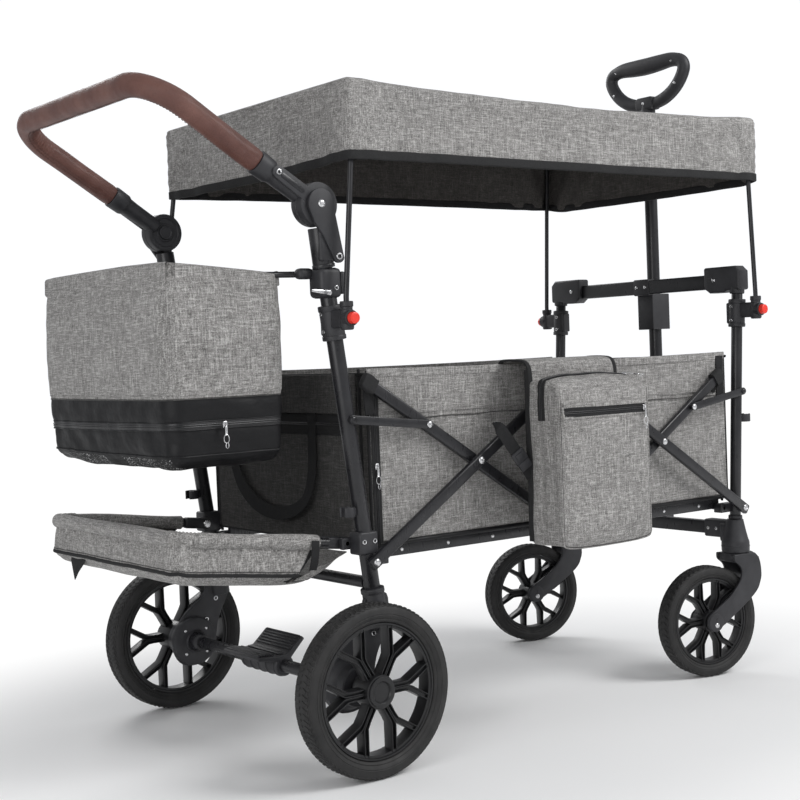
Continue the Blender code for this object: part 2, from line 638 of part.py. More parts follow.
def bar(name, side, lane, start, end, start_tongue, end_tongue, material=BLACK_PAINT):
    """A flat tube of the linkage between two pivots. A tongue keeps the inner or outer half of its end."""
    start, end = Vector((start[0], 0, start[1])), Vector((end[0], 0, end[1]))
    along = (end - start).normalized()
    middle = (start + end) / 2
    half = (end - start).length / 2 + BAR_OVERHANG
    mid_y = side * (lane + BAR_THICKNESS / 2)
    slope = -atan2(along.z, along.x)
    piece = box(name, (middle.x - half, mid_y - BAR_THICKNESS / 2, middle.z - BAR_WIDTH / 2),
                (middle.x + half, mid_y + BAR_THICKNESS / 2,
                 middle.z + BAR_WIDTH / 2), material, 0.0022, 1, (0, slope, 0))
    for place, direction, keep in ((start, -along, start_tongue), (end, along, end_tongue)):
        if not keep:
            continue
        away = 1 if keep == "inner" else -1
        depth = BAR_THICKNESS / 2 + TONGUE_GAP / 2 + 0.001
        step_y = mid_y + side * away * (depth / 2 - TONGUE_GAP / 2)
        past_end = BAR_OVERHANG + 0.004
        centre = place - direction * (TONGUE_LENGTH - past_end) / 2 + Vector((0, step_y, 0))
        size = Vector((TONGUE_LENGTH + past_end, depth, BAR_WIDTH + 0.004))
        cut(piece, box(name + "_step", centre - size / 2, centre + size / 2, material, turn=(0, slope, 0)))
    return piece


def scissors():
    """Eight crossed bars, four of them on each side, and the short links to the posts."""
    inner_face = INNER_LANE_Y
    outer_face = OUTER_LANE_Y + BAR_THICKNESS
    up = (cos(REST_ANGLE), sin(REST_ANGLE))
    for side in (-1, 1):
        hand = side_name(side)
        rear_low = bar("rear_lower_bar_" + hand, side, OUTER_LANE_Y, (REAR_FOOT_X, FOOT_Z), (MIDDLE_X, TOP_Z),
                       None, "inner")
        front_low = bar("front_lower_bar_" + hand, side, OUTER_LANE_Y, (MIDDLE_X, TOP_Z),
                        (FRONT_FOOT_X, FOOT_Z), "outer", None)
        rear_top = (REAR_CROSS_X - REAR_TOP_REACH * up[0], CROSS_Z + REAR_TOP_REACH * up[1])
        front_top = (FRONT_CROSS_X + FRONT_TOP_REACH * up[0], CROSS_Z + FRONT_TOP_REACH * up[1])
        rear_up = bar("rear_upper_bar_" + hand, side, INNER_LANE_Y, rear_top, (MIDDLE_X, FOOT_Z), None,
                      "inner")
        front_up = bar("front_upper_bar_" + hand, side, INNER_LANE_Y, (MIDDLE_X, FOOT_Z), front_top, "outer",
                       None)
        lane_end = INNER_LANE_Y + BAR_THICKNESS
        join(rear_up, pivot_pin("rear_cross_pin_" + hand, REAR_CROSS_X, CROSS_Z, side, inner_face + 0.004,
                                outer_face))
        join(front_up, pivot_pin("front_cross_pin_" + hand, FRONT_CROSS_X, CROSS_Z, side, inner_face + 0.004,
                                 outer_face))
        join(rear_low, pivot_pin("top_pin_" + hand, MIDDLE_X, TOP_Z, side, OUTER_LANE_Y + 0.002, outer_face))
        join(rear_up, pivot_pin("bottom_pin_" + hand, MIDDLE_X, FOOT_Z, side, inner_face + 0.002, lane_end))
        cut(rear_low, pin_hole("rear_cross_hole_" + hand, REAR_CROSS_X, CROSS_Z, side, OUTER_LANE_Y,
                               outer_face),
            pin_hole("rear_foot_hole_" + hand, REAR_FOOT_X, FOOT_Z, side, OUTER_LANE_Y, outer_face))
        cut(front_low, pin_hole("front_cross_hole_" + hand, FRONT_CROSS_X, CROSS_Z, side, OUTER_LANE_Y,
                                outer_face),
            pin_hole("front_foot_hole_" + hand, FRONT_FOOT_X, FOOT_Z, side, OUTER_LANE_Y, outer_face),
            pin_hole("top_hole_" + hand, MIDDLE_X, TOP_Z, side, OUTER_LANE_Y, outer_face))
        cut(front_up, pin_hole("bottom_hole_" + hand, MIDDLE_X, FOOT_Z, side, inner_face, lane_end))
        rear_link_end = (REAR_CROSS_X - REAR_LINK_REACH * up[0], CROSS_Z + REAR_LINK_REACH * up[1])
        front_link_end = (FRONT_CROSS_X + FRONT_LINK_REACH * up[0], CROSS_Z + FRONT_LINK_REACH * up[1])
        link("rear_link_" + hand, side, (rear_post_x(LINK_POST_Z), LINK_POST_Z), rear_link_end)
        link("front_link_" + hand, side, (front_post_x(LINK_POST_Z), LINK_POST_Z), front_link_end)


def link(name, side, post_end, bar_end):
    """A flat strap with round ends, hinged on its post, with a boss that runs on its bar."""
    run = hypot(bar_end[0] - post_end[0], bar_end[1] - post_end[1])
    slope = atan2(bar_end[1] - post_end[1], bar_end[0] - post_end[0])
    half = LINK_WIDTH / 2
    loop = arc((0, 0), half, pi / 2, 3 * pi / 2, 4) + arc((run, 0), half, -pi / 2, pi / 2, 4)
    hole = arc((0, 0), PIN_RADIUS + RUNNING_GAP, 0, 2 * pi * 7 / 8, 7)
    strap = outline(name, [loop, hole], LINK_THICKNESS, BLACK_PAINT,
                    (post_end[0], side * (OUTER_LANE_Y + LINK_THICKNESS / 2), post_end[1]),
                    (pi / 2, -slope, 0))
    boss = rod(name + "_boss", (bar_end[0], side * (INNER_LANE_Y + BAR_THICKNESS + SEAT_GAP), bar_end[1]),
               (bar_end[0], side * (OUTER_LANE_Y + 0.002),
                bar_end[1]), 0.0055, BLACK_PAINT, sides=RIVET_SIDES)
    head = rod(name + "_head", (bar_end[0], side * (OUTER_LANE_Y + 0.002), bar_end[1]),
               (bar_end[0], side * (OUTER_LANE_Y + LINK_THICKNESS + RIVET_HEAD),
                bar_end[1]), RIVET_HEAD_RADIUS * 0.9,
               BLACK_PAINT, RIVET_HEAD_RADIUS * 0.7, RIVET_SIDES)
    return join(strap, boss, head)


def floor_halves():
    """Two boards in side rails, hinged low on the posts, that rise to upright as the wagon folds."""
    rear_hinge = REAR_FOOT_X + FLOOR_HINGE_INSET
    front_hinge = FRONT_FOOT_X - FLOOR_HINGE_INSET
    spans = {"floor_rear": (rear_hinge, MIDDLE_X - FLOOR_HALF_GAP),
             "floor_front": (front_hinge, MIDDLE_X + FLOOR_HALF_GAP)}
    for name, (hinge, end) in spans.items():
        away = 1 if end > hinge else -1
        low, high = sorted((hinge + away * 0.014, end))
        top = RAIL_BOTTOM_Z + RAIL_HEIGHT
        board = box(name, (low, -RAIL_Y - 0.002, top - FLOOR_BOARD - 0.003),
                    (high, RAIL_Y + 0.002, top - 0.003), GREY_BOARD)
        for side in (-1, 1):
            ends = sorted((hinge - away * 0.009, end))
            join(board, between(name + "_rail_" + side_name(side), RAIL_Y, RAIL_Y + RAIL_WIDTH, side, ends,
                                (RAIL_BOTTOM_Z, top), BLACK_PAINT, 0.001))
        for side in (-1, 1):
            cut(board, pin_hole(name + "_hole_" + side_name(side), hinge, FOOT_Z, side, RAIL_Y - 0.002,
                                RAIL_Y + RAIL_WIDTH))


def front_frame():
    """The front uprights, the top bar in its brackets, and the lower beam with the caster housings."""
    for side in (-1, 1):
        name = "front_post_" + side_name(side)
        y = side * POST_Y
        foot = HOUSING_TOP_Z + 0.001
        post = rod(name, (front_post_x(foot), y, foot), (front_post_x(FRONT_POST_TOP_Z), y, FRONT_POST_TOP_Z),
                   FRONT_POST_RADIUS, BLACK_PAINT)
        lug = between(name + "_lug", RAIL_Y + RAIL_WIDTH + RUNNING_GAP, POST_Y, side,
                      (FRONT_FOOT_X - FLOOR_HINGE_INSET - 0.009, FRONT_FOOT_X),
                      (FOOT_Z - 0.009, FOOT_Z + 0.009),
                      BLACK_PAINT, 0.001)
        hinge_x = FRONT_FOOT_X - FLOOR_HINGE_INSET
        rail_pin = rod(name + "_rail_pin", (hinge_x, y, FOOT_Z), (hinge_x, side * (RAIL_Y - 0.002), FOOT_Z),
                       PIN_RADIUS,
                       BLACK_PAINT, sides=RIVET_SIDES)
        outer_face = OUTER_LANE_Y + BAR_THICKNESS
        foot_pin = pivot_pin(name + "_foot_pin", FRONT_FOOT_X, FOOT_Z, side, POST_Y, outer_face)
        link_pin = pivot_pin(name + "_link_pin", front_post_x(LINK_POST_Z), LINK_POST_Z, side, POST_Y,
                             OUTER_LANE_Y + LINK_THICKNESS)
        washer = rod(name + "_washer", (FRONT_FOOT_X, y, FOOT_Z),
                     (FRONT_FOOT_X, side * (OUTER_LANE_Y - SEAT_GAP), FOOT_Z),
                     0.008, BLACK_PAINT, sides=RIVET_SIDES)
        spacer = rod(name + "_spacer", (front_post_x(LINK_POST_Z), y, LINK_POST_Z),
                     (front_post_x(LINK_POST_Z), side * (OUTER_LANE_Y - SEAT_GAP),
                      LINK_POST_Z), 0.006, BLACK_PAINT, sides=RIVET_SIDES)
        clip = post_clip(name + "_clip", front_post_x(POST_CLIP_Z + 0.117) + 0.006, POST_CLIP_Z + 0.117, side,
                         1)
        join(post, lug, rail_pin, foot_pin, link_pin, washer, spacer, clip)
    top_x = front_post_x(FRONT_POST_TOP_Z + 0.0083)
    bar_low, bar_high = FRONT_POST_TOP_Z - 0.0057, FRONT_POST_TOP_Z + 0.0243
    bar_end = POST_Y - FRONT_POST_RADIUS - 0.010
    top_bar = box("front_top_bar", (top_x - 0.006, -bar_end, bar_low), (top_x + 0.006, bar_end, bar_high),
                  BLACK_PAINT, 0.002)
    for side in (-1, 1):
        bracket = between("corner_bracket_" + side_name(side), POST_Y - 0.075, POST_Y + 0.0175, side,
                          (top_x - 0.016, top_x + 0.017), (FRONT_POST_TOP_Z + 0.001, bar_high + 0.015),
                          BLACK_PLASTIC, 0.004)
        join(top_bar, bracket)
    keeper_low = bar_low - 0.076
    cut_high = bar_high + 0.034
    keeper = box("pull_keeper", (top_x + 0.004, -0.022, keeper_low),
                 (PULL_X + 0.010, 0.022, bar_low + 0.0015),
                 BLACK_PLASTIC, 0.003)
    stay = box("pull_keeper_stay", (top_x - 0.004, -0.018, bar_low - 0.006),
               (top_x + 0.012, 0.018, bar_high - 0.006),
               BLACK_PLASTIC, 0.001)
    join(top_bar, keeper, stay)
    groove = PULL_TUBE_RADIUS + RUNNING_GAP
    cut(top_bar, rod("pull_keeper_groove", (PULL_X, 0, keeper_low - 0.01), (PULL_X, 0, cut_high), groove,
                     BLACK_PLASTIC),
        box("pull_keeper_mouth", (PULL_X, -groove, keeper_low - 0.01), (PULL_X + 0.03, groove, cut_high),
            BLACK_PLASTIC))

    beam_z = 0.288
    beam = box("front_lower_beam", (SWIVEL_X - 0.009, -POST_Y, beam_z - 0.013),
               (SWIVEL_X + 0.009, POST_Y, beam_z + 0.013),
               BLACK_PAINT, 0.002)
    for side in (-1, 1):
        housing = turned("caster_housing_" + side_name(side),
                         [(0, HOUSING_TOP_Z), (0.017, HOUSING_TOP_Z), (0.020, HOUSING_TOP_Z - 0.012),
                          (0.0265, 0.266),
                          (HOUSING_RADIUS, 0.262), (HOUSING_RADIUS, HOUSING_BOTTOM_Z),
                          (SWIVEL_STEM_RADIUS + RUNNING_GAP, HOUSING_BOTTOM_Z),
                          (SWIVEL_STEM_RADIUS + RUNNING_GAP, 0.2745), (0, 0.2745)],
                         BLACK_PLASTIC, (SWIVEL_X, side * POST_Y, 0), (0, 0, radians(4)),
                         closed=False, steps=16)
        shoe = between("beam_shoe_" + side_name(side), POST_Y - 0.071, POST_Y - 0.012, side,
                       (SWIVEL_X - 0.012, SWIVEL_X + 0.012),
                       (beam_z - 0.017, beam_z + 0.017), BLACK_PLASTIC, 0.003)
        ear = between("pull_ear_" + side_name(side), 0.0195, 0.0255, side, (SWIVEL_X, PULL_X + 0.013),
                      (PULL_HINGE_Z - 0.013, PULL_HINGE_Z + 0.013), BLACK_PLASTIC, 0.003)
        join(beam, housing, shoe, ear)
    join(beam, rod("pull_pin", (PULL_X, -0.0225, PULL_HINGE_Z), (PULL_X, 0.0225, PULL_HINGE_Z), 0.005,
                   BLACK_PAINT, sides=RIVET_SIDES))


def casters():
    """The swivelling front forks with their wheels, each built about its swivel axis."""
    hub_half = FRONT_TYRE_WIDTH / 2 + 0.004
    for side in (-1, 1):
        prefix = "front_" + side_name(side)
        turn = CASTER_TURN[side]
        axis = Vector((SWIVEL_X, side * POST_Y, 0))
        wheel_at = axis + Matrix.Rotation(turn, 3, "Z") @ Vector((-CASTER_TRAIL, 0, FRONT_WHEEL_RADIUS))
        wheel(prefix, side, wheel_at, FRONT_WHEEL_RADIUS, FRONT_TYRE_WIDTH, FRONT_HUB_RADIUS, hub_half,
              2 * hub_half, turn)
        r = FRONT_WHEEL_RADIUS
        blade = [(-0.026, 0.2415), (0.028, 0.2415), (0.038, 0.222), (0.041, 0.197), (0.034, 0.172),
                 (0.010, 0.146),
                 (-CASTER_TRAIL + 0.020, r - 0.010)]
        blade += arc((-CASTER_TRAIL, r), 0.018, radians(-40), radians(-240), 8)
        blade += [(-0.030, 0.166), (-0.008, 0.192), (-0.012, 0.216), (-0.026, 0.2235)]
        fork = outline("fork_" + side_name(side), [blade], FORK_PLATE, BLACK_PLASTIC)
        plate_y = hub_half + RUNNING_GAP + FORK_PLATE / 2
        fork.rotation_euler = (pi / 2, 0, turn)
        fork.location = axis + Matrix.Rotation(turn, 3, "Z") @ Vector((0, -plate_y, 0))
        tools = []
        mirror = outline(prefix + "_blade", [blade], FORK_PLATE, BLACK_PLASTIC)
        mirror.rotation_euler = (pi / 2, 0, turn)
        mirror.location = axis + Matrix.Rotation(turn, 3, "Z") @ Vector((0, plate_y, 0))
        half = plate_y + FORK_PLATE / 2
        crown = box(prefix + "_crown", (-0.0245, -half + 0.001, 0.2247), (0.0345, half - 0.001, 0.2407),
                    BLACK_PLASTIC, 0.003)
        visor = box(prefix + "_visor", (0.0245, -plate_y, 0.1883), (0.0365, plate_y, 0.2313), BLACK_PLASTIC,
                    0.003)
        axle = rod(prefix + "_axle", (-CASTER_TRAIL, -half - 0.002, r), (-CASTER_TRAIL, half + 0.002, r),
                   AXLE_RADIUS, BLACK_PAINT)
        stem = rod(prefix + "_stem", (0, 0, 0.235), (0, 0, 0.273), SWIVEL_STEM_RADIUS, BLACK_PAINT)
        shoulder = rod(prefix + "_shoulder", (0, 0, 0.230), (0, 0, HOUSING_BOTTOM_Z - SEAT_GAP), 0.026,
                       BLACK_PLASTIC, sides=24)
        spin = Matrix.Translation(axis) @ Matrix.Rotation(turn, 4, "Z")
        for tool in (crown, visor, axle, stem, shoulder):
            tool.matrix_basis = spin @ tool.matrix_basis
            tools.append(tool)
        join(fork, mirror, *tools)


def canopy():
    """Two pole hoops in their sockets, the cloth roof over them, and the red release buttons."""
    ends = {"rear": (rear_post_x, REAR_POST_RADIUS, CANOPY_REAR_X + 0.024),
            "front": (front_post_x, FRONT_POST_RADIUS, CANOPY_FRONT_X - 0.022)}
    rod_z = CANOPY_TOP_Z - CANOPY_CLOTH - SEAT_GAP - POLE_RADIUS
    for end, (post_x, post_radius, top_x) in ends.items():
        foot_x = post_x(SOCKET_TOP_Z)
        bend = 0.022
        half = [Vector((foot_x, -POLE_FOOT_Y, POLE_FOOT_Z)),
                Vector((foot_x, -POLE_FOOT_Y, CUP_TOP_Z + 0.004)),
                Vector((top_x, -POLE_TOP_Y, rod_z - bend))]
        half += [Vector((top_x, -POLE_TOP_Y + bend * (1 - cos(a)),
                         rod_z - bend + bend * sin(a))) for a in (pi / 6, pi / 3, pi / 2)]
        tube("canopy_hoop_" + end, half + [Vector((p.x, -p.y, p.z)) for p in reversed(half)], POLE_RADIUS,
             BLACK_PAINT, 1)
        for side in (-1, 1):
            name = f"canopy_socket_{end}_{side_name(side)}"
            sleeve = rod(name, (post_x(SOCKET_BOTTOM_Z), side * POST_Y, SOCKET_BOTTOM_Z),
                         (post_x(SOCKET_TOP_Z), side * POST_Y,
                          SOCKET_TOP_Z), post_radius + 0.005, BLACK_PLASTIC)
            arm = between(name + "_arm", POST_Y + 0.004, POLE_FOOT_Y, side, (foot_x - 0.008, foot_x + 0.008),
                          (SOCKET_ARM_BOTTOM_Z, SOCKET_ARM_TOP_Z), BLACK_PLASTIC, 0.002)
            cup = rod(name + "_cup", (foot_x, side * POLE_FOOT_Y, CUP_BOTTOM_Z),
                      (foot_x, side * POLE_FOOT_Y, CUP_TOP_Z), CUP_RADIUS, BLACK_PLASTIC)
            barrel = rod(name + "_barrel", (foot_x, side * (POLE_FOOT_Y + 0.004), BUTTON_Z),
                         (foot_x, side * (POLE_FOOT_Y + 0.0135), BUTTON_Z), BUTTON_RADIUS + 0.003,
                         BLACK_PLASTIC)
            join(sleeve, arm, cup, barrel)
            bore_low, bore_high = SOCKET_BOTTOM_Z - 0.038, SOCKET_TOP_Z + 0.049
            post_bore = rod(name + "_bore", (post_x(bore_low), side * POST_Y, bore_low),
                            (post_x(bore_high), side * POST_Y, bore_high),
                            post_radius + SEAT_GAP, BLACK_PLASTIC)
            pole_bore = rod(name + "_pole_bore", (foot_x, side * POLE_FOOT_Y, POLE_FOOT_Z - RUNNING_GAP),
                            (foot_x, side * POLE_FOOT_Y, bore_high), POLE_RADIUS + RUNNING_GAP, BLACK_PLASTIC,
                            sides=RIVET_SIDES)
            button_bore = rod(name + "_button_bore", (foot_x, side * (POLE_FOOT_Y + 0.0075), BUTTON_Z),
                              (foot_x, side * (POLE_FOOT_Y + 0.03), BUTTON_Z), BUTTON_RADIUS + RUNNING_GAP,
                              BLACK_PLASTIC)
            cut(sleeve, post_bore, pole_bore, button_bore)
            rod(f"canopy_button_{end}_{side_name(side)}", (foot_x, side * (POLE_FOOT_Y + 0.0115), BUTTON_Z),
                (foot_x, side * (POLE_FOOT_Y + 0.0115 + BUTTON_LENGTH),
                 BUTTON_Z), BUTTON_RADIUS, RED_PLASTIC, BUTTON_RADIUS * 0.86)
    roof()


def roof():
    """The cloth roof: a tray-shaped sheet, open below, whose skirts pull in between the poles."""
    size = Vector((CANOPY_FRONT_X - CANOPY_REAR_X, 2 * CANOPY_HALF_WIDTH, CANOPY_TOP_Z - CANOPY_BOTTOM_Z))
    middle = Vector(((CANOPY_FRONT_X + CANOPY_REAR_X) / 2, 0, (CANOPY_TOP_Z + CANOPY_BOTTOM_Z) / 2))
    shape = bmesh.new()
    bmesh.ops.create_cube(shape, size=1)
    bmesh.ops.scale(shape, vec=size, verts=shape.verts)
    bottom = [face for face in shape.faces if face.normal.z < -0.5]
    bmesh.ops.delete(shape, geom=bottom, context="FACES_ONLY")
    bmesh.ops.bevel(shape, geom=[edge for edge in shape.edges if not edge.is_boundary], offset=0.014,
                    affect="EDGES", segments=2, profile=0.5, material=-1)
    for axis, count in ((0, 6), (1, 4), (2, 2)):
        for k in range(1, count):
            place = Vector((0, 0, 0))
            place[axis] = size[axis] * (k / count - 0.5)
            normal = Vector((0, 0, 0))
            normal[axis] = 1
            bmesh.ops.bisect_plane(shape, geom=shape.verts[:] + shape.edges[:] + shape.faces[:],
                                   plane_co=place, plane_no=normal)
    for vert in shape.verts:
        across = vert.co.x / (size.x / 2)
        beside = vert.co.y / (size.y / 2)
        drop = (size.z / 2 - vert.co.z) / size.z
        slack = min(1, 4 * drop)
        if abs(beside) > 0.97:
            vert.co.y -= CANOPY_SIDE_TUCK * (1 - across * across) * slack * (1 if beside > 0 else -1)
        if abs(across) > 0.98:
            vert.co.x -= CANOPY_END_TUCK * (1 - beside * beside) * slack * (1 if across > 0 else -1)
        if drop > 0.9:
            vert.co.z -= CANOPY_SAG * (1 - across * across)
    piece = put("canopy_roof", mesh_of("canopy_roof", shape), GREY_CLOTH, middle)
    cloth = piece.modifiers.new("cloth", "SOLIDIFY")
    cloth.thickness = CANOPY_CLOTH
    cloth.offset = -1


def pull_handle():
    """The telescoping pull handle: a tube hinged at the beam, and a sliding rod with a loop grip."""
    tube_low = PULL_HINGE_Z + 0.025
    bore = PULL_ROD_RADIUS + RUNNING_GAP
    section = [(PULL_TUBE_RADIUS, PULL_TUBE_TOP_Z), (PULL_TUBE_RADIUS, tube_low), (bore, tube_low),
               (bore, PULL_TUBE_TOP_Z)]
    shaft = turned("pull_tube", section, BLACK_PAINT, (PULL_X, 0, 0), (0, 0, 0), steps=ROUND)
    knuckle = rod("pull_knuckle", (PULL_X, -0.0185, PULL_HINGE_Z), (PULL_X, 0.0185, PULL_HINGE_Z), 0.0125,
                  BLACK_PLASTIC)
    neck = rod("pull_foot", (PULL_X, 0, PULL_HINGE_Z), (PULL_X, 0, 0.345), PULL_TUBE_RADIUS - 0.0005,
               BLACK_PLASTIC)
    join(shaft, knuckle, neck)
    cut(shaft, rod("pull_hinge_hole", (PULL_X, -0.03, PULL_HINGE_Z), (PULL_X, 0.03, PULL_HINGE_Z),
                   0.005 + RUNNING_GAP, BLACK_PLASTIC, sides=RIVET_SIDES))
    w, h, r = GRIP_LOOP_HALF_WIDTH, GRIP_LOOP_HEIGHT, 0.036
    top = PULL_NECK_Z + 0.012 + h
    loop = [(PULL_X, -w + r - r * cos(a), top - r + r * sin(a)) for a in (0, pi / 6, pi / 3, pi / 2)]
    loop = [(PULL_X, -0.030, PULL_NECK_Z + 0.012), (PULL_X, -w + 0.030, PULL_NECK_Z + 0.026),
            (PULL_X, -w + 0.006, PULL_NECK_Z + 0.044)] + loop
    loop += [(x, -y, z) for x, y, z in reversed(loop)]
    grip = tube("pull_grip", loop, GRIP_LOOP_RADIUS, BLACK_PLASTIC, 2, cyclic=True)
    stem = rod("pull_grip_stem", (PULL_X, 0, PULL_TUBE_TOP_Z + 0.0015), (PULL_X, 0, PULL_NECK_Z + 0.014),
               0.015, BLACK_PLASTIC)
    slider = rod("pull_rod", (PULL_X, 0, 0.700), (PULL_X, 0, PULL_NECK_Z), PULL_ROD_RADIUS, BLACK_PAINT)
    join(grip, stem, slider)


def rear_bag():
    """The open bag behind the posts, its hoop, and the clamps that hold the hoop on the posts."""
    low = Vector((BAG_REAR_X, -BAG_HALF_WIDTH, BAG_BOTTOM_Z))
    high = Vector((BAG_FRONT_X, BAG_HALF_WIDTH, BAG_TOP_Z))
    size = high - low
    shape = bmesh.new()
    bmesh.ops.create_cube(shape, size=1)
    bmesh.ops.scale(shape, vec=size, verts=shape.verts)
    bmesh.ops.delete(shape, geom=[face for face in shape.faces if face.normal.z > 0.5], context="FACES_ONLY")
    bmesh.ops.bevel(shape, geom=[edge for edge in shape.edges if not edge.is_boundary], offset=0.012,
                    affect="EDGES", segments=2, profile=0.5, material=-1)
    bag = put("rear_bag", mesh_of("rear_bag", shape), GREY_CLOTH, (low + high) / 2)
    cloth = bag.modifiers.new("cloth", "SOLIDIFY")
    cloth.thickness = BAG_WALL
    cloth.offset = -1
    hoop_z = BAG_TOP_Z + SEAT_GAP + BAG_HOOP_RADIUS
    x0, x1, y = BAG_FRONT_X + 0.004, BAG_REAR_X + BAG_WALL / 2, BAG_HALF_WIDTH - BAG_WALL / 2
    clamp_x = rear_post_x(BAG_CLAMP_Z)
    half = [Vector((clamp_x - 0.012, -POST_Y + 0.014, hoop_z)), Vector((x0 + 0.02, -y - 0.006, hoop_z)),
            Vector((x0 - 0.01, -y, hoop_z))]
    quarter = (0, pi / 6, pi / 3, pi / 2)
    half += [Vector((x1 + 0.025 * (1 - sin(a)), -y + 0.025 * (1 - cos(a)), hoop_z)) for a in quarter]
    hoop = tube("bag_hoop", half + [Vector((p.x, -p.y, p.z)) for p in reversed(half)], BAG_HOOP_RADIUS,
                BLACK_PAINT, 1)
    for side in (-1, 1):
        clamp = between("bag_clamp_" + side_name(side), POST_Y - 0.021, POST_Y + 0.0185, side,
                        (clamp_x - 0.021, clamp_x + 0.0185),
                        (BAG_CLAMP_Z - 0.022, BAG_CLAMP_Z + 0.0245), BLACK_PLASTIC, 0.004)
        join(hoop, clamp)
    for side in (-1, 1):
        low, high = BAG_CLAMP_Z - 0.047, BAG_CLAMP_Z + 0.053
        cut(hoop, rod("bag_clamp_bore_" + side_name(side), (rear_post_x(low), side * POST_Y, low),
                      (rear_post_x(high), side * POST_Y, high), REAR_POST_RADIUS + SEAT_GAP, BLACK_PLASTIC))


def tray():
    """The footrest tray: a U tube on two hinges, with a shallow cloth trough hung under it."""
    hinge = Vector((rear_post_x(TRAY_HINGE_Z) - TRAY_HINGE_REACH, 0, TRAY_HINGE_Z))
    spin = Matrix.Translation(hinge) @ Matrix.Rotation(TRAY_TILT, 4, "Y")
    r, length, y = 0.045, TRAY_LENGTH, TRAY_HALF_WIDTH
    half = [Vector((-0.030, -y, 0)), Vector((-length + r, -y, 0))]
    half += [Vector((-length + r - r * sin(a), -y + r - r * cos(a), 0)) for a in (pi / 6, pi / 3, pi / 2)]
    frame = tube("tray_frame", half + [Vector((p.x, -p.y, p.z)) for p in reversed(half)], TRAY_TUBE_RADIUS,
                 BLACK_PAINT, 2)
    knuckles = [between("tray_knuckle_" + side_name(side), y - 0.013, y + 0.005, side, (-0.044, 0.010),
                        (-0.0105, 0.0105), BLACK_PLASTIC, 0.003) for side in (-1, 1)]
    join(frame, *knuckles)
    for side in (-1, 1):
        cut(frame, rod("tray_hole_" + side_name(side), (0, side * (y - 0.02), 0), (0, side * (y + 0.02), 0),
                       PIN_RADIUS + RUNNING_GAP, BLACK_PAINT, sides=RIVET_SIDES))
    frame.matrix_basis = spin @ frame.matrix_basis
    edge = TRAY_CLOTH / 2
    rim_z = -TRAY_TUBE_RADIUS - SEAT_GAP
    low = Vector((-length - edge, -y - edge, rim_z - TRAY_DEPTH))
    high = Vector((-0.048, y + edge, rim_z))
    shape = bmesh.new()
    bmesh.ops.create_cube(shape, size=1)
    bmesh.ops.scale(shape, vec=high - low, verts=shape.verts)
    bmesh.ops.delete(shape, geom=[face for face in shape.faces if face.normal.z > 0.5 or face.normal.x > 0.5],
                     context="FACES_ONLY")
    bmesh.ops.bevel(shape, geom=[edge for edge in shape.edges if not edge.is_boundary], offset=0.030,
                    affect="EDGES", segments=3, profile=0.5, material=-1)
    trough = put("tray_cloth", mesh_of("tray_cloth", shape), GREY_CLOTH, (low + high) / 2)
    cloth = trough.modifiers.new("cloth", "SOLIDIFY")
    cloth.thickness = TRAY_CLOTH
    cloth.offset = -1
    trough.matrix_basis = spin @ trough.matrix_basis


def basket():
    """The cloth basket: side walls and a floor sheet that crumple, and two stiffened end panels."""
    rear, front = BASKET_REAR_X, BASKET_FRONT_X
    floor_z = RAIL_BOTTOM_Z + RAIL_HEIGHT + SEAT_GAP
    section = [(-BASKET_HALF_WIDTH, BASKET_TOP_Z), (-BASKET_HALF_WIDTH, floor_z),
               (BASKET_HALF_WIDTH, floor_z),
               (BASKET_HALF_WIDTH, BASKET_TOP_Z), (BASKET_HALF_WIDTH - BASKET_WALL, BASKET_TOP_Z),
               (BASKET_HALF_WIDTH - BASKET_WALL, floor_z + BASKET_WALL),
               (BASKET_WALL - BASKET_HALF_WIDTH, floor_z + BASKET_WALL),
               (BASKET_WALL - BASKET_HALF_WIDTH, BASKET_TOP_Z)]
    outline("basket", [section], front - rear, GREY_CLOTH, ((rear + front) / 2, 0, 0), (pi / 2, 0, pi / 2))
    for name, x, away in (("basket_rear_panel", rear - 0.0005, -1),
                          ("basket_front_panel", front + 0.0005, 1)):
        low_x, high_x = sorted((x, x + away * PANEL_THICKNESS))
        box(name, (low_x, -PANEL_HALF_WIDTH, floor_z), (high_x, PANEL_HALF_WIDTH, BASKET_TOP_Z - 0.004),
            GREY_CLOTH, 0.001)


def side_bag():
    """The zipped bag that hangs outside the right side of the basket on two straps."""
    low = (SIDE_BAG_X[0], -SIDE_BAG_Y[1], SIDE_BAG_Z[0])
    high = (SIDE_BAG_X[1], -SIDE_BAG_Y[0], SIDE_BAG_Z[1])
    bag = box("side_bag", low, high, GREY_CLOTH, 0.014, 2)
    top = BASKET_TOP_Z + SEAT_GAP
    riser = -OUTER_LANE_Y - BAR_THICKNESS - RIVET_HEAD - 0.002
    for k, x in enumerate((SIDE_BAG_X[0] - 0.022, SIDE_BAG_X[1] - 0.030)):
        name = f"side_bag_strap_{k}"
        end = x + 0.024
        out = box(name, (x, -SIDE_BAG_Y[0] - 0.010, 0.560), (end, riser, 0.585), GREY_CLOTH)
        up = box(name + "_riser", (x, riser - 0.002, 0.560), (end, riser + 0.001, top + 0.003), GREY_CLOTH)
        over = box(name + "_over", (x, riser - 0.002, top), (end, -BASKET_HALF_WIDTH + 0.008, top + 0.003),
                   GREY_CLOTH)
        hook = box(name + "_hook", (x, -BASKET_HALF_WIDTH + BASKET_WALL + SEAT_GAP, top - 0.045),
                   (end, -BASKET_HALF_WIDTH + 0.008, top + 0.001), GREY_CLOTH)
        join(bag, out, up, over, hook)


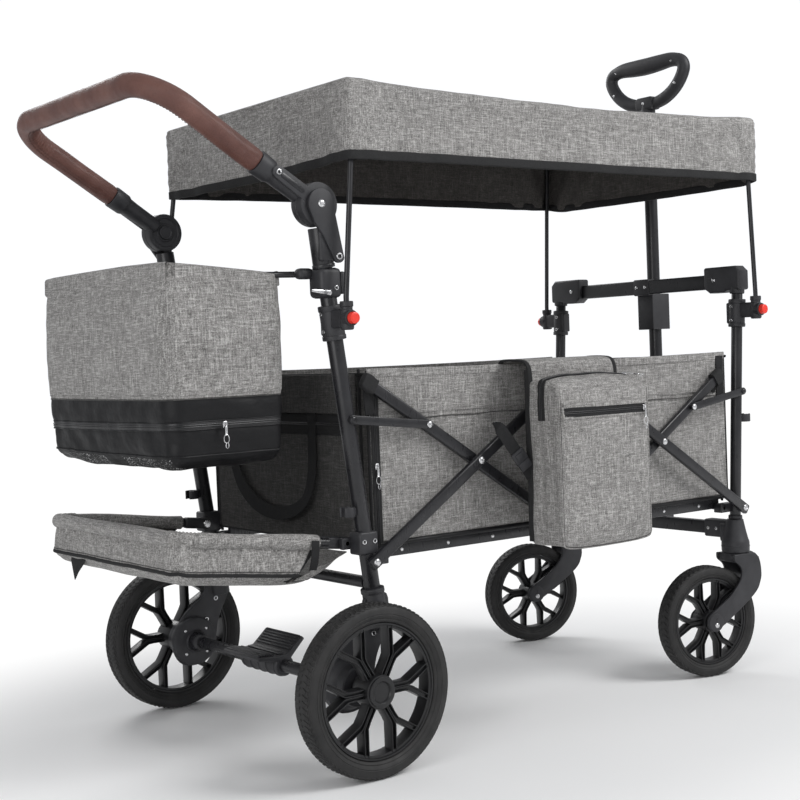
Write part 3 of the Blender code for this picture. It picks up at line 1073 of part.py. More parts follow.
def bodies():
    """Every moving body: its parent body, the place of its joint and the pieces that ride on it."""
    rear_pieces = ["rear_post_right", "rear_post_left", "rear_cross_tube", "axle_bracket_right",
                   "axle_bracket_left", "bag_hoop", "rear_bag", "canopy_socket_rear_right",
                   "canopy_socket_rear_left", "basket_rear_panel", "basket"]
    tree = {"rear_frame": (None, (0, 0, 0), rear_pieces)}
    foot = (REAR_FOOT_X, 0, FOOT_Z)
    top = (MIDDLE_X, 0, TOP_Z)
    for side in (-1, 1):
        hand = side_name(side)
        frame = "front_frame"
        tree["bars_rear_low_" + hand] = ("rear_frame", foot, ["rear_lower_bar_" + hand])
        tree["bars_front_low_" + hand] = ("bars_rear_low_" + hand, top, ["front_lower_bar_" + hand])
        if side < 0:
            tree[frame] = ("bars_front_low_right", (FRONT_FOOT_X, 0, FOOT_Z),
                           ["front_post_right", "front_post_left", "front_top_bar", "front_lower_beam",
                            "canopy_socket_front_right", "canopy_socket_front_left", "basket_front_panel"])
        tree["bars_rear_up_" + hand] = ("bars_rear_low_" + hand, (REAR_CROSS_X, 0, CROSS_Z),
                                        ["rear_upper_bar_" + hand])
        tree["bars_front_up_" + hand] = ("bars_front_low_" + hand, (FRONT_CROSS_X, 0, CROSS_Z),
                                         ["front_upper_bar_" + hand])
        tree["link_rear_" + hand] = ("rear_frame", (rear_post_x(LINK_POST_Z), 0, LINK_POST_Z),
                                     ["rear_link_" + hand])
        tree["link_front_" + hand] = (frame, (front_post_x(LINK_POST_Z), 0, LINK_POST_Z),
                                      ["front_link_" + hand])
        tree["wheel_rear_" + hand] = ("rear_frame", (REAR_AXLE_X, side * REAR_WHEEL_Y, REAR_WHEEL_RADIUS),
                                      [f"rear_{hand}_rim", f"rear_{hand}_tyre"])
        swivel = Vector((SWIVEL_X, side * POST_Y, 0))
        hub = swivel + Matrix.Rotation(CASTER_TURN[side], 3,
                                       "Z") @ Vector((-CASTER_TRAIL, 0, FRONT_WHEEL_RADIUS))
        tree["caster_" + hand] = (frame, swivel, ["fork_" + hand])
        tree["wheel_front_" + hand] = ("caster_" + hand, hub, [f"front_{hand}_rim", f"front_{hand}_tyre"])
        for end, post_x, carrier in (("rear", rear_post_x, "rear_frame"), ("front", front_post_x, frame)):
            place = (post_x(SOCKET_TOP_Z), side * POLE_FOOT_Y, BUTTON_Z)
            tree[f"release_{end}_{hand}"] = (carrier, place, [f"canopy_button_{end}_{hand}"])
        tree["joint_button_" + hand] = ("push_handle", (HANDLE_JOINT_X, side * JOINT_INNER_Y, HANDLE_JOINT_Z),
                                        ["handle_button_" + hand])
    tree["push_handle"] = ("rear_frame", (HANDLE_JOINT_X, 0, HANDLE_JOINT_Z),
                           ["push_handle_tube", "push_handle_grip"])
    tree["brake"] = ("rear_frame", (REAR_AXLE_X, 0, REAR_WHEEL_RADIUS), ["brake_bar", "brake_pedal"])
    tree["floor_rear_half"] = ("rear_frame", (REAR_FOOT_X + FLOOR_HINGE_INSET, 0, FOOT_Z), ["floor_rear"])
    tree["floor_front_half"] = ("front_frame", (FRONT_FOOT_X - FLOOR_HINGE_INSET, 0, FOOT_Z), ["floor_front"])
    tree["tray"] = ("rear_frame", (rear_post_x(TRAY_HINGE_Z) - TRAY_HINGE_REACH, 0, TRAY_HINGE_Z),
                    ["tray_frame", "tray_cloth"])
    tree["canopy_rear"] = ("rear_frame", (CANOPY_REAR_X, 0, CANOPY_TOP_Z),
                           ["canopy_hoop_rear", "canopy_roof"])
    tree["canopy_front"] = ("front_frame", (CANOPY_FRONT_X, 0, CANOPY_TOP_Z), ["canopy_hoop_front"])
    tree["pull_shaft"] = ("front_frame", (PULL_X, 0, PULL_HINGE_Z), ["pull_tube"])
    tree["pull_slide"] = ("pull_shaft", (PULL_X, 0, PULL_TUBE_TOP_Z), ["pull_grip"])
    tree["side_pouch"] = ("bars_rear_low_right", top, ["side_bag"])
    return tree


def assemble():
    """Hang every piece on an empty that stands on its joint, then centre the wagon over the origin."""
    tree = bodies()
    for name, (parent, place, pieces) in tree.items():
        empty = bpy.data.objects.new("joint_" + name, None)
        empty.empty_display_size = 0.03
        empty.location = place
        parts.objects.link(empty)
    for name, (parent, place, pieces) in tree.items():
        empty = parts.objects["joint_" + name]
        if parent:
            empty.parent = parts.objects["joint_" + parent]
            empty.matrix_parent_inverse = Matrix.Translation(-Vector(tree[parent][1]))
        for piece_name in pieces:
            piece = parts.objects[piece_name]
            piece.parent = empty
            piece.matrix_parent_inverse = Matrix.Translation(-Vector(place))
    depsgraph = bpy.context.evaluated_depsgraph_get()
    corners = []
    for piece in parts.objects:
        if piece.type == "MESH":
            solid = piece.evaluated_get(depsgraph)
            corners += [solid.matrix_world @ Vector(corner) for corner in solid.bound_box]
    for axis in (0, 1):
        values = [corner[axis] for corner in corners]
        parts.objects["joint_rear_frame"].location[axis] = -(min(values) + max(values)) / 2


for build in (rear_wheels, axle_brackets, rear_posts, rear_tube, brake, push_handle, scissors, floor_halves,
              front_frame,
              casters, canopy, pull_handle, rear_bag, tray, basket, side_bag, assemble):
    build()
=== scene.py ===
# %% [markdown]
# # A folding wagon with a canopy
# The wagon is a crossed-bar frame on four wheels. It carries a cloth basket, a cloth roof on two
# pole hoops, a leather push handle, a pull handle, a rear bag, a footrest tray and a side bag.
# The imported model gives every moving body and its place. This script gives each body its looks.
# It could be one long list of meshes, but a maker builds a wagon in groups, so the cells do too:
# finishes, wheels, frame, handles, then all that is sewn.

# %% Load the frame
import json
from math import atan2, cos, exp, hypot, pi, radians, sin, tan

import bmesh
import bpy
from mathutils import Matrix, Vector, noise


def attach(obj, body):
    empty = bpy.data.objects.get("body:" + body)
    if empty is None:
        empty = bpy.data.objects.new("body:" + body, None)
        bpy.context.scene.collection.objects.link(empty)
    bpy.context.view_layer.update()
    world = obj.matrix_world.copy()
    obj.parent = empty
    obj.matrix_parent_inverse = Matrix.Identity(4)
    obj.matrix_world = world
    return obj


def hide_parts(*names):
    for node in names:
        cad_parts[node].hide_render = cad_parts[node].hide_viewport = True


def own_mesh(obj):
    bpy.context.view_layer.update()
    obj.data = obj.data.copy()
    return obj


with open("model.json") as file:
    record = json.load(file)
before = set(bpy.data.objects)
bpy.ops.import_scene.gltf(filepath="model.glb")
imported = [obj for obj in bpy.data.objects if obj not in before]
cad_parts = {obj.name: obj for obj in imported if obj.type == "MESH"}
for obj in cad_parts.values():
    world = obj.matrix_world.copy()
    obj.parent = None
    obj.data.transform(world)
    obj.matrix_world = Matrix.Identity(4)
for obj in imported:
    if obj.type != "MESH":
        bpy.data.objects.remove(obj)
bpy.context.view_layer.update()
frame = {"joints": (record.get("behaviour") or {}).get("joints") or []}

# %% [markdown]
# The drawing of the wagon has its zero under the middle of the wheelbase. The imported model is
# centred on its whole box instead. One joint that both know gives the step between them, so every
# number below can be read off the drawing, and each mesh is moved once at the very end.

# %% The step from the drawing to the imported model
HANDLE_JOINT = Vector((-0.447, 0, 0.913))
handle_turn = next(joint for joint in frame["joints"] if joint["name"] == "push_handle_angle")
SHIFT = Vector(handle_turn["pos_m"]) - HANDLE_JOINT
print("step", [round(x, 4) for x in SHIFT])

# %% [markdown]
# A studio needs little: a pale floor, two large soft lamps and a white surround. The lamps stay at
# the level where a colour looks as it is written. The surround is white only for rays from the
# camera and for rays that pass through clear surfaces, so the white adds no light to the wagon.

# %% Camera, floor and lamps
scene = bpy.context.scene
scene.view_settings.view_transform = "Standard"


def aim(yaw, pitch, roll):
    """The camera's right, up and forward directions, yaw from +Y towards +X."""
    forward = Vector((sin(yaw) * cos(pitch), cos(yaw) * cos(pitch), sin(pitch)))
    right = Vector((cos(yaw), -sin(yaw), 0))
    above = right.cross(forward)
    turned = right * cos(roll) + above * sin(roll)
    return turned, above * cos(roll) - right * sin(roll), forward


CAMERA_YAW, CAMERA_PITCH, CAMERA_ROLL = 0.6497, -0.0342, -0.0394
CAMERA_PLACE = Vector((-1.7422, -2.1672, 0.6754))
LENS_MM, FILM_MM = 64.8, 36
right, above, forward = aim(CAMERA_YAW, CAMERA_PITCH, CAMERA_ROLL)
camera = bpy.data.objects.new("camera", bpy.data.cameras.new("camera"))
camera.data.lens = LENS_MM
camera.data.sensor_width = FILM_MM
eye = CAMERA_PLACE + SHIFT
camera.matrix_world = Matrix.Translation(eye) @ Matrix((right, above, -forward)).transposed().to_4x4()
scene.collection.objects.link(camera)
scene.camera = camera


def lamp(name, place, target, size, power):
    """A square soft lamp that looks at a point."""
    light = bpy.data.lights.new(name, "AREA")
    light.size = size
    light.energy = power
    stand = bpy.data.objects.new(name, light)
    stand.location = place
    stand.rotation_euler = (Vector(target) - Vector(place)).to_track_quat("-Z", "Y").to_euler()
    scene.collection.objects.link(stand)


lamp("key_lamp", (1.6, -2.6, 2.9), (0, 0, 0.6), 1.8, 78)
lamp("rim_lamp", (0.4, 2.8, 2.2), (0, 0, 0.6), 1.6, 34)
lamp("low_lamp", (-2.6, -1.2, 1.1), (0, 0, 0.5), 1.5, 16)
print("camera stands at", [round(x, 2) for x in eye])

# %% [markdown]
# A finish is a small tree of nodes. Each one here reads the piece's own object coordinates, which
# are metres of the wagon, so a grain of half a millimetre is the same on every piece. A picture
# could carry the grain too, but noise has no seams and no edge, and stays sharp near the camera.

# %% Node helpers
def add_node(tree, kind, inputs=None, **settings):
    """A node; each input is a number, a colour or the socket that feeds it."""
    node = tree.nodes.new("ShaderNode" + kind)
    for name, value in settings.items():
        setattr(node, name, value)
    for socket, value in (inputs or {}).items():
        if isinstance(value, bpy.types.NodeSocket):
            tree.links.new(value, node.inputs[socket])
        else:
            node.inputs[socket].default_value = value
    return node


class Finish:
    """A material with the noises, ramps and bumps that give it a pattern."""

    def __init__(self, name, colour, roughness, metallic=0.0, **sockets):
        self.material = bpy.data.materials.new(name)
        self.material.use_nodes = True
        self.tree = self.material.node_tree
        self.shader = self.tree.nodes["Principled BSDF"]
        values = {"Base Color": (*colour, 1), "Roughness": roughness, "Metallic": metallic}
        values.update({socket.replace("_", " "): value for socket, value in sockets.items()})
        for socket, value in values.items():
            self.shader.inputs[socket].default_value = value
        self.place = self.node("TexCoord").outputs["Object"]

    def node(self, kind, inputs=None, **settings):
        return add_node(self.tree, kind, inputs, **settings)

    def feed(self, socket, source):
        """Let a pattern drive the shader."""
        self.tree.links.new(source, self.shader.inputs[socket])

    def grain(self, scale, detail=2.0, rough=0.5):
        """Noise whose cells measure about 1 / scale metres, one scale or one for each axis."""
        scale = scale if hasattr(scale, "__len__") else (scale, scale, scale)
        stretched = self.node("Mapping", {"Vector": self.place, "Scale": scale}).outputs[0]
        return self.node(
            "TexNoise", {"Vector": stretched, "Scale": 1, "Detail": detail, "Roughness": rough}).outputs["Fac"]

    def ramp(self, source, stops):
        """Colours or values along a 0 to 1 source."""
        band = self.node("ValToRGB", {"Fac": source})
        elements = band.color_ramp.elements
        while len(elements) < len(stops):
            elements.new(0.5)
        for element, (position, value) in zip(elements, stops):
            element.position = position
            element.color = (*value, 1) if hasattr(value, "__len__") else (value, value, value, 1)
        return band.outputs["Color"]

    def mix(self, kind, share, first, second):
        """Two colours put together."""
        return self.node("Mix", {0: share, 6: first, 7: second}, data_type="RGBA", blend_type=kind).outputs[2]

    def relief(self, height, depth):
        """A bump of a real depth in metres."""
        self.feed(
            "Normal", self.node("Bump", {"Height": height, "Distance": depth, "Strength": 1.0}).outputs[0])


print("a finish can carry grain, a ramp, a mix and relief")

# %% [markdown]
# Powder paint on tube has a faint orange-peel skin. Moulded plastic has a finer and duller spark
# texture, and rubber is dustier. All three are one recipe with other numbers: a cloudy change of
# colour and gloss, and a bump of a few hundredths of a millimetre.

# %% Paint, plastic, rubber, steel and board
def hard_finish(name, dark, light, gloss, cell, depth, metallic=0.0):
    """A moulded or painted finish with cloudy colour, uneven gloss and a fine skin."""
    skin = Finish(name, dark, gloss[0], metallic)
    skin.feed("Base Color", skin.ramp(skin.grain(38, 4), [(0.3, dark), (0.72, light)]))
    skin.feed("Roughness", skin.ramp(skin.grain((90, 90, 24), 5), [(0.25, gloss[0]), (0.75, gloss[1])]))
    skin.relief(skin.grain(cell), depth)
    return skin.material


BLACK_PAINT = hard_finish(
    "black_paint", (0.012, 0.012, 0.014), (0.021, 0.021, 0.024), (0.24, 0.36), 700, 0.00003)
BLACK_PLASTIC = hard_finish(
    "black_plastic", (0.021, 0.021, 0.024), (0.034, 0.034, 0.038), (0.44, 0.56), 1600, 0.00005)
WHEEL_PLASTIC = hard_finish(
    "wheel_plastic", (0.006, 0.006, 0.007), (0.012, 0.012, 0.013), (0.3, 0.42), 1500, 0.00004)
TYRE_RUBBER = hard_finish(
    "tyre_rubber", (0.012, 0.012, 0.012), (0.024, 0.023, 0.023), (0.58, 0.74), 900, 0.0001)
RED_PLASTIC = hard_finish("red_plastic", (0.8, 0.035, 0.022), (0.9, 0.055, 0.035), (0.3, 0.4), 1400, 0.00003)
STEEL = hard_finish("zinc_steel", (0.62, 0.62, 0.63), (0.78, 0.78, 0.79), (0.2, 0.34), 2200, 0.00002, 1.0)
GREY_BOARD = hard_finish("grey_board", (0.06, 0.06, 0.062), (0.105, 0.105, 0.108), (0.7, 0.85), 500, 0.0002)
print(len(bpy.data.materials), "materials so far")

# %% [markdown]
# The grey cloth is a heathered linen look: light and dark yarns of uneven thickness cross at right
# angles. A woven grid from brick or wave textures looks printed. Three noises, each stretched along
# one axis, give short streaks instead, and on a wall that faces any way two of them show as crossing
# yarns and the third as flecks. The dark lining and the webbing use the same idea.

# %% Cloth
def woven_finish(name, dark, middle, light, yarn=(40, 540), depth=0.00032, **sockets):
    """Heathered cloth: streaks along X, Y and Z over a cloudy ground."""
    cloth = Finish(name, middle, 0.92, **sockets)
    slow, fast = yarn
    heights = [cloth.grain([slow if axis == k else fast for axis in range(3)], 3, 0.7) for k in range(3)]
    stops = [(0.36, dark), (0.475, middle), (0.53, middle), (0.64, light)]
    first, second, third = [cloth.ramp(height, stops) for height in heights]
    yarns = cloth.mix("MIX", 0.34, cloth.mix("MIX", 0.5, first, third), second)
    flecks = cloth.ramp(cloth.grain(110, 4, 0.7), [(0.34, 0.76), (0.62, 1.072)])
    clouds = cloth.ramp(cloth.grain(14, 3), [(0.25, 0.85), (0.75, 1.0)])
    cloth.feed("Base Color", cloth.mix("MULTIPLY", 1.0, cloth.mix("MULTIPLY", 0.75, yarns, flecks), clouds))
    first, second, third = [cloth.ramp(height, [(0.3, 0.0), (0.7, 1.0)]) for height in heights]
    cloth.relief(cloth.mix("MIX", 0.33, cloth.mix("MIX", 0.5, first, third), second), depth)
    return cloth.material


LINEN = woven_finish(
    "grey_linen", (0.022, 0.02, 0.019), (0.275, 0.267, 0.258), (0.78, 0.765, 0.745), Sheen_Weight=0.08)
DARK_LINEN = woven_finish(
    "charcoal_linen", (0.008, 0.008, 0.008), (0.052, 0.05, 0.048), (0.17, 0.165, 0.16), Sheen_Weight=0.08)
LINING = woven_finish(
    "dark_lining", (0.02, 0.018, 0.016), (0.08, 0.073, 0.068), (0.2, 0.185, 0.172), Sheen_Weight=0.06)
WEBBING = woven_finish(
    "black_webbing", (0.007, 0.007, 0.007), (0.014, 0.014, 0.015), (0.03, 0.03, 0.032), (500, 1500), 0.0003)
BINDING = woven_finish(
    "black_binding", (0.009, 0.009, 0.009), (0.017, 0.017, 0.018), (0.032, 0.032, 0.033), (300, 1400), 0.0002)


def nylon_finish():
    """The shiny coated nylon of the rear bag's lower half, with pressed creases."""
    nylon = Finish("black_nylon", (0.006, 0.006, 0.007), 0.5, Specular_IOR_Level=0.26)
    creased = nylon.grain((16, 22, 26), 3, 0.45)
    nylon.feed("Roughness", nylon.ramp(creased, [(0.3, 0.4), (0.7, 0.58)]))
    nylon.feed(
        "Base Color", nylon.ramp(nylon.grain(900), [(0.3, (0.004, 0.004, 0.005)), (0.7, (0.01, 0.01, 0.011))]))
    nylon.relief(creased, 0.0045)
    return nylon.material


NYLON = nylon_finish()
print(len(bpy.data.materials), "materials with the cloths")

# %% [markdown]
# The leather of the push handle is satin, reddish brown, with small pores. Cells from a Voronoi
# texture make the pebbles, and a slow noise makes the places that hands have rubbed lighter.
# Netting is black thread round pale gaps, which the same texture draws as round cells.

# %% Leather, thread, zip teeth and net
def leather_finish():
    """Pebbled leather, rubbed lighter in places."""
    hide = Finish("brown_leather", (0.1, 0.045, 0.036), 0.46, Coat_Weight=0.06)
    pebbles = hide.node(
        "TexVoronoi", {"Vector": hide.place, "Scale": 620}, feature="DISTANCE_TO_EDGE").outputs["Distance"]
    rubbed = hide.ramp(hide.grain(22, 4), [(0.3, (0.105, 0.036, 0.026)), (0.72, (0.185, 0.08, 0.062))])
    pores = hide.ramp(pebbles, [(0.0, 0.62), (0.12, 1.0)])
    hide.feed("Base Color", hide.mix("MULTIPLY", 0.8, rubbed, pores))
    hide.feed("Roughness", hide.ramp(hide.grain(60, 3), [(0.3, 0.4), (0.7, 0.54)]))
    hide.relief(hide.ramp(pebbles, [(0.0, 0.0), (0.25, 1.0)]), 0.00025)
    return hide.material


def net_finish():
    """Black netting: round pale gaps between dark threads."""
    thread, gap = (0.01, 0.01, 0.011), (0.62, 0.62, 0.62)
    net = Finish("black_net", thread, 0.7)
    cells = net.node("TexVoronoi", {"Vector": net.place, "Scale": 300}).outputs["Distance"]
    tone = net.ramp(net.grain(40, 3), [(0.35, 0.25), (0.65, 1.0)])
    net.feed("Base Color", net.mix("MULTIPLY", 1.0, net.ramp(cells, [(0.24, gap), (0.36, thread)]), tone))
    net.relief(cells, 0.0004)
    return net.material


LEATHER = leather_finish()
THREAD = hard_finish("brown_thread", (0.055, 0.022, 0.018), (0.095, 0.042, 0.034), (0.7, 0.85), 1500, 0.0001)
ZIP_TEETH = hard_finish("zip_coil", (0.007, 0.007, 0.008), (0.016, 0.016, 0.018), (0.26, 0.42), 1200, 0.0002)
NET = net_finish()
print(len(bpy.data.materials), "materials with leather and net")

# %% [markdown]
# The floor is pale and matt. Close to the wagon it is an ordinary surface and takes the shadow. Away
# from it the camera sees it turn white, so that no horizon shows. Only camera rays see the white,
# and no other piece gets light from it.

# %% Floor and surround
FADE_FROM, FADE_TO, PAPER_WHITE = 0.72, 1.5, 1.04


def floor_finish():
    """A pale matt floor that shows white to the camera away from the wagon."""
    floor = Finish("studio_floor", (0.93, 0.93, 0.93), 0.9, Specular_IOR_Level=0.0)
    floor.feed(
        "Base Color", floor.ramp(floor.grain(1.4), [(0.3, (0.915, 0.918, 0.92)), (0.7, (0.94, 0.94, 0.94))]))
    squeezed = floor.node("Mapping", {"Vector": floor.place, "Scale": (1.0, 1.25, 1.0)}).outputs[0]
    away = floor.node("VectorMath", {0: squeezed}, operation="LENGTH").outputs["Value"]
    reach = {"Value": away, "From Min": FADE_FROM, "From Max": FADE_TO}
    fade = floor.node("MapRange", reach, interpolation_type="SMOOTHSTEP")
    rays = floor.node("LightPath").outputs["Is Camera Ray"]
    share = floor.node("Math", {0: fade.outputs[0], 1: rays}, operation="MULTIPLY").outputs[0]
    white = floor.node("Emission", {"Strength": PAPER_WHITE}).outputs[0]
    mixed = floor.node("MixShader", {0: share, 1: floor.shader.outputs[0], 2: white}).outputs[0]
    floor.tree.links.new(mixed, floor.tree.nodes["Material Output"].inputs["Surface"])
    return floor.material


ground = bmesh.new()
bmesh.ops.create_grid(ground, x_segments=2, y_segments=2, size=14)
floor_mesh = bpy.data.meshes.new("studio_floor")
ground.to_mesh(floor_mesh)
ground.free()
floor_mesh.materials.append(floor_finish())
studio_floor = bpy.data.objects.new("studio_floor", floor_mesh)
scene.collection.objects.link(studio_floor)

world = bpy.data.worlds.new("studio")
scene.world = world
world.use_nodes = True
sky = world.node_tree.nodes["Background"]
sky.inputs["Color"].default_value = (0.97, 0.98, 1.0, 1)
rays = add_node(world.node_tree, "LightPath").outputs
seen = add_node(
    world.node_tree, "Math", {0: rays["Is Camera Ray"], 1: rays["Is Transmission Ray"]}, operation="MAXIMUM")
glow = add_node(world.node_tree, "MapRange", {"Value": seen.outputs[0], "To Min": 0.5, "To Max": PAPER_WHITE})
world.node_tree.links.new(glow.outputs[0], sky.inputs["Strength"])

# %% [markdown]
# Every hard piece is built from the same few moves: a block with soft edges, a round bar, a turned
# profile, a plate cut from an outline, and a section drawn along a path. Each helper returns a small
# bmesh, and make_piece welds a list of them into one named object that rides on its body.

# %% Places and directions
at = Matrix.Translation


def spun(angle, axis):
    """A turn about one axis."""
    return Matrix.Rotation(angle, 4, axis)


def axes(first, second, third):
    """The turn that lays X, Y and Z along three directions."""
    return Matrix((first, second, third)).transposed().to_4x4()


def looking(away):
    """The turn that points Z in a direction."""
    return Vector(away).to_track_quat("Z", "Y").to_matrix().to_4x4()


def vec(x, y, z):
    return Vector((x, y, z))


def mm(text):
    """Points written in millimetres, as metres."""
    return [tuple(float(number) / 1000 for number in point.split()) for point in text.split(",")]


FACING_X, FACING_Y = spun(pi / 2, "Z") @ spun(pi / 2, "X"), spun(pi / 2, "X")
print("a plate laid with FACING_X looks along", [round(x) for x in FACING_X.col[2]][:3])

# %% Blocks, bars, turned parts and plates
def edges_of(verts):
    """The edges between some vertices, in a steady order."""
    inside = set(verts)
    found = dict.fromkeys(edge for vert in verts for edge in vert.link_edges)
    return [edge for edge in found if edge.verts[0] in inside and edge.verts[1] in inside]


def soften(shape, size, steps=2, angle=radians(32), verts=None):
    """Round the sharp edges."""
    chosen = edges_of(verts) if verts else shape.edges
    edges = [edge for edge in chosen if edge.is_manifold and edge.calc_face_angle(0) > angle]
    if size and edges:
        bmesh.ops.bevel(
            shape, geom=edges, offset=size, affect="EDGES", segments=steps, profile=0.5, material=-1,
            clamp_overlap=True)
    return shape


def block(low, high, soft=0.001, steps=2):
    """A block between two corners with rounded edges."""
    low, high = Vector(low), Vector(high)
    shape = bmesh.new()
    bmesh.ops.create_cube(shape, size=1, matrix=at((low + high) / 2) @ Matrix.Diagonal((*(high - low), 1)))
    return soften(shape, soft, steps)


def rod(start, end, radius, end_radius=None, sides=32, soft=0.0006):
    """A round bar or cone between two points."""
    start, end = Vector(start), Vector(end)
    along = end - start
    shape = bmesh.new()
    bmesh.ops.create_cone(
        shape, cap_ends=True, segments=sides, radius1=radius,
        radius2=radius if end_radius is None else end_radius, depth=along.length)
    soften(shape, soft, 2, radians(50))
    turn = looking(along)
    bmesh.ops.transform(shape, matrix=at((start + end) / 2) @ turn, verts=shape.verts)
    return shape


def spindle(x, z, side, low_y, high_y, *shape):
    """A round bar across the wagon on one side, its Y given as distances from the middle."""
    return rod((x, side * low_y, z), (x, side * high_y, z), *shape)


def lathe(profile, matrix=Matrix(), steps=64, closed=False):
    """Turn a profile of (radius, height) points about Z, then place it."""
    shape = bmesh.new()
    corners = [shape.verts.new((radius, 0, height)) for radius, height in profile]
    pairs = list(zip(corners, corners[1:])) + ([(corners[-1], corners[0])] if closed else [])
    for pair in pairs:
        shape.edges.new(pair)
    bmesh.ops.spin(
        shape, geom=shape.verts[:] + shape.edges[:], cent=(0, 0, 0), axis=(0, 0, 1), angle=2 * pi, steps=steps,
        use_merge=True)
    bmesh.ops.remove_doubles(shape, verts=shape.verts, dist=0.000002)
    bmesh.ops.recalc_face_normals(shape, faces=shape.faces)
    bmesh.ops.transform(shape, matrix=matrix, verts=shape.verts)
    return shape


def plate(points, thickness, matrix=Matrix(), soft=0.0008, steps=2):
    """A flat outline given a thickness about its own plane, with soft edges."""
    shape = bmesh.new()
    corners = [shape.verts.new((across, up, -thickness / 2)) for across, up in points]
    face = shape.faces.new(corners)
    raised = bmesh.ops.extrude_face_region(shape, geom=[face])
    bmesh.ops.translate(
        shape, vec=(0, 0, thickness), verts=[v for v in raised["geom"] if isinstance(v, bmesh.types.BMVert)])
    bmesh.ops.recalc_face_normals(shape, faces=shape.faces)
    soften(shape, soft, steps, radians(55))
    bmesh.ops.transform(shape, matrix=matrix, verts=shape.verts)
    return shape


def arc(centre, radius, start, end, steps):
    """Points on an arc in a plane."""
    turn = [start + (end - start) * k / steps for k in range(steps + 1)]
    return [(centre[0] + radius * cos(a), centre[1] + radius * sin(a)) for a in turn]


def rounded(width, height, radius, steps=4):
    """The outline of a rectangle with round corners."""
    points = []
    for k, (x, y) in enumerate(((1, 1), (-1, 1), (-1, -1), (1, -1))):
        centre = (x * (width / 2 - radius), y * (height / 2 - radius))
        points += arc(centre, radius, k * pi / 2, (k + 1) * pi / 2, steps)
    return points


def circle(radius, sides):
    return arc((0, 0), radius, 0, 2 * pi * (sides - 1) / sides, sides - 1)


print("a rectangle with round corners has", len(rounded(1, 1, 0.1)), "points")

# %% Sections drawn along a path
def smooth_path(points, steps=8, closed=False):
    """A flowing line through the points."""
    points = [Vector(p) for p in points]
    count = len(points)
    route = []
    for k in range(count if closed else count - 1):
        near = [
            points[(k + j) % count] if closed else points[min(max(k + j, 0), count - 1)] for j in (-1, 0, 1, 2)]
        for step in range(steps):
            t = step / steps
            a, b, c, d = near
            route.append(0.5 * (
                (2 * b) + (c - a) * t + (2 * a - 5 * b + 4 * c - d) * t * t + (3 * b - a - 3 * c + d) * t ** 3))
    return route if closed else route + [points[-1]]


def stations(path, up, closed=False):
    """A frame at each point of a path; its X points up as far as the path allows."""
    frames = []
    last = len(path) - 1
    for k, place in enumerate(path):
        before = path[k - 1] if k or closed else path[0]
        after = path[(k + 1) % len(path)] if k < last or closed else path[last]
        along = (after - before).normalized()
        raised = Vector(up[k] if hasattr(up[0], "__len__") else up)
        raised = (raised - along * raised.dot(along)).normalized()
        frames.append(at(place) @ axes(raised, along.cross(raised), along))
    return frames


def sweep(path, section, up=(0, 0, 1), sizes=None, closed=False):
    """Extrude a closed section along a path. The section's first number lies along up."""
    path = [Vector(p) for p in path]
    shape = bmesh.new()
    frames = stations(path, up, closed)
    ring = [shape.verts.new((a, b, 0)) for a, b in section]
    loop = [shape.edges.new((ring[k - 1], ring[k])) for k in range(len(ring))]
    first = loop
    previous = Matrix()
    for k, station in enumerate(frames):
        if sizes:
            station = station @ Matrix.Diagonal((sizes[k], sizes[k], 1, 1))
        if k:
            made = bmesh.ops.extrude_edge_only(shape, edges=loop)["geom"]
            loop = [item for item in made if isinstance(item, bmesh.types.BMEdge)]
            ring = [item for item in made if isinstance(item, bmesh.types.BMVert)]
        bmesh.ops.transform(shape, matrix=station @ previous.inverted(), verts=ring)
        previous = station
    if closed:
        bmesh.ops.bridge_loops(shape, edges=loop + first)
    else:
        bmesh.ops.holes_fill(shape, edges=loop + first, sides=0)
    bmesh.ops.recalc_face_normals(shape, faces=shape.faces)
    return shape


def tube(path, radius, sides=24, up=(0, 0, 1), closed=False, sizes=None):
    return sweep(path, circle(radius, sides), up, sizes, closed)


def ribbon(path, width, thickness, up, closed=False):
    """A flat strap along a path; up is the direction that its face looks."""
    return sweep(path, rounded(thickness, width, thickness * 0.35, 1), up, None, closed)


print("a smooth line through 3 points has", len(smooth_path([(0, 0, 0), (1, 0, 0), (1, 1, 0)])), "stops")

# %% Pieces
def make_piece(name, parts, finishes, body, stands_for=(), smooth=radians(35)):
    """Weld parts into one object. A part is a bmesh, or a bmesh with the number of its finish."""
    whole = bmesh.new()
    for part in parts:
        part, number = part if isinstance(part, tuple) else (part, 0)
        if number is not None:
            for face in part.faces:
                face.material_index = number
        carrier = bpy.data.meshes.new("carrier")
        part.to_mesh(carrier)
        part.free()
        whole.from_mesh(carrier)
        bpy.data.meshes.remove(carrier)
    bmesh.ops.translate(whole, vec=SHIFT, verts=whole.verts)
    mesh = bpy.data.meshes.new(name)
    whole.to_mesh(mesh)
    whole.free()
    mesh.shade_smooth()
    mesh.set_sharp_from_angle(angle=smooth)
    for material in finishes:
        mesh.materials.append(material)
    piece = bpy.data.objects.new(name, mesh)
    scene.collection.objects.link(piece)
    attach(piece, body)
    if stands_for:
        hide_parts(*([stands_for] if isinstance(stands_for, str) else stands_for))
    return piece


def moved(part, matrix):
    """The same part in another place, with its faces turned back out after a mirror."""
    bmesh.ops.transform(part, matrix=matrix, verts=part.verts)
    if matrix.determinant() < 0:
        bmesh.ops.reverse_faces(part, faces=part.faces)
    return part


def rivet(place, away, radius=0.0065, height=0.0024, dimple=0.0):
    """A domed rivet or screw head on a face that looks away."""
    profile = [
        (0, height - dimple), (radius * 0.3, height - dimple * 0.9), (radius * 0.42, height),
        (radius * 0.7, height * 0.82), (radius * 0.93, height * 0.42), (radius, 0), (radius, -0.0006),
        (0, -0.0006)]
    turn = looking(away)
    return lathe(profile, at(place) @ turn, 24)


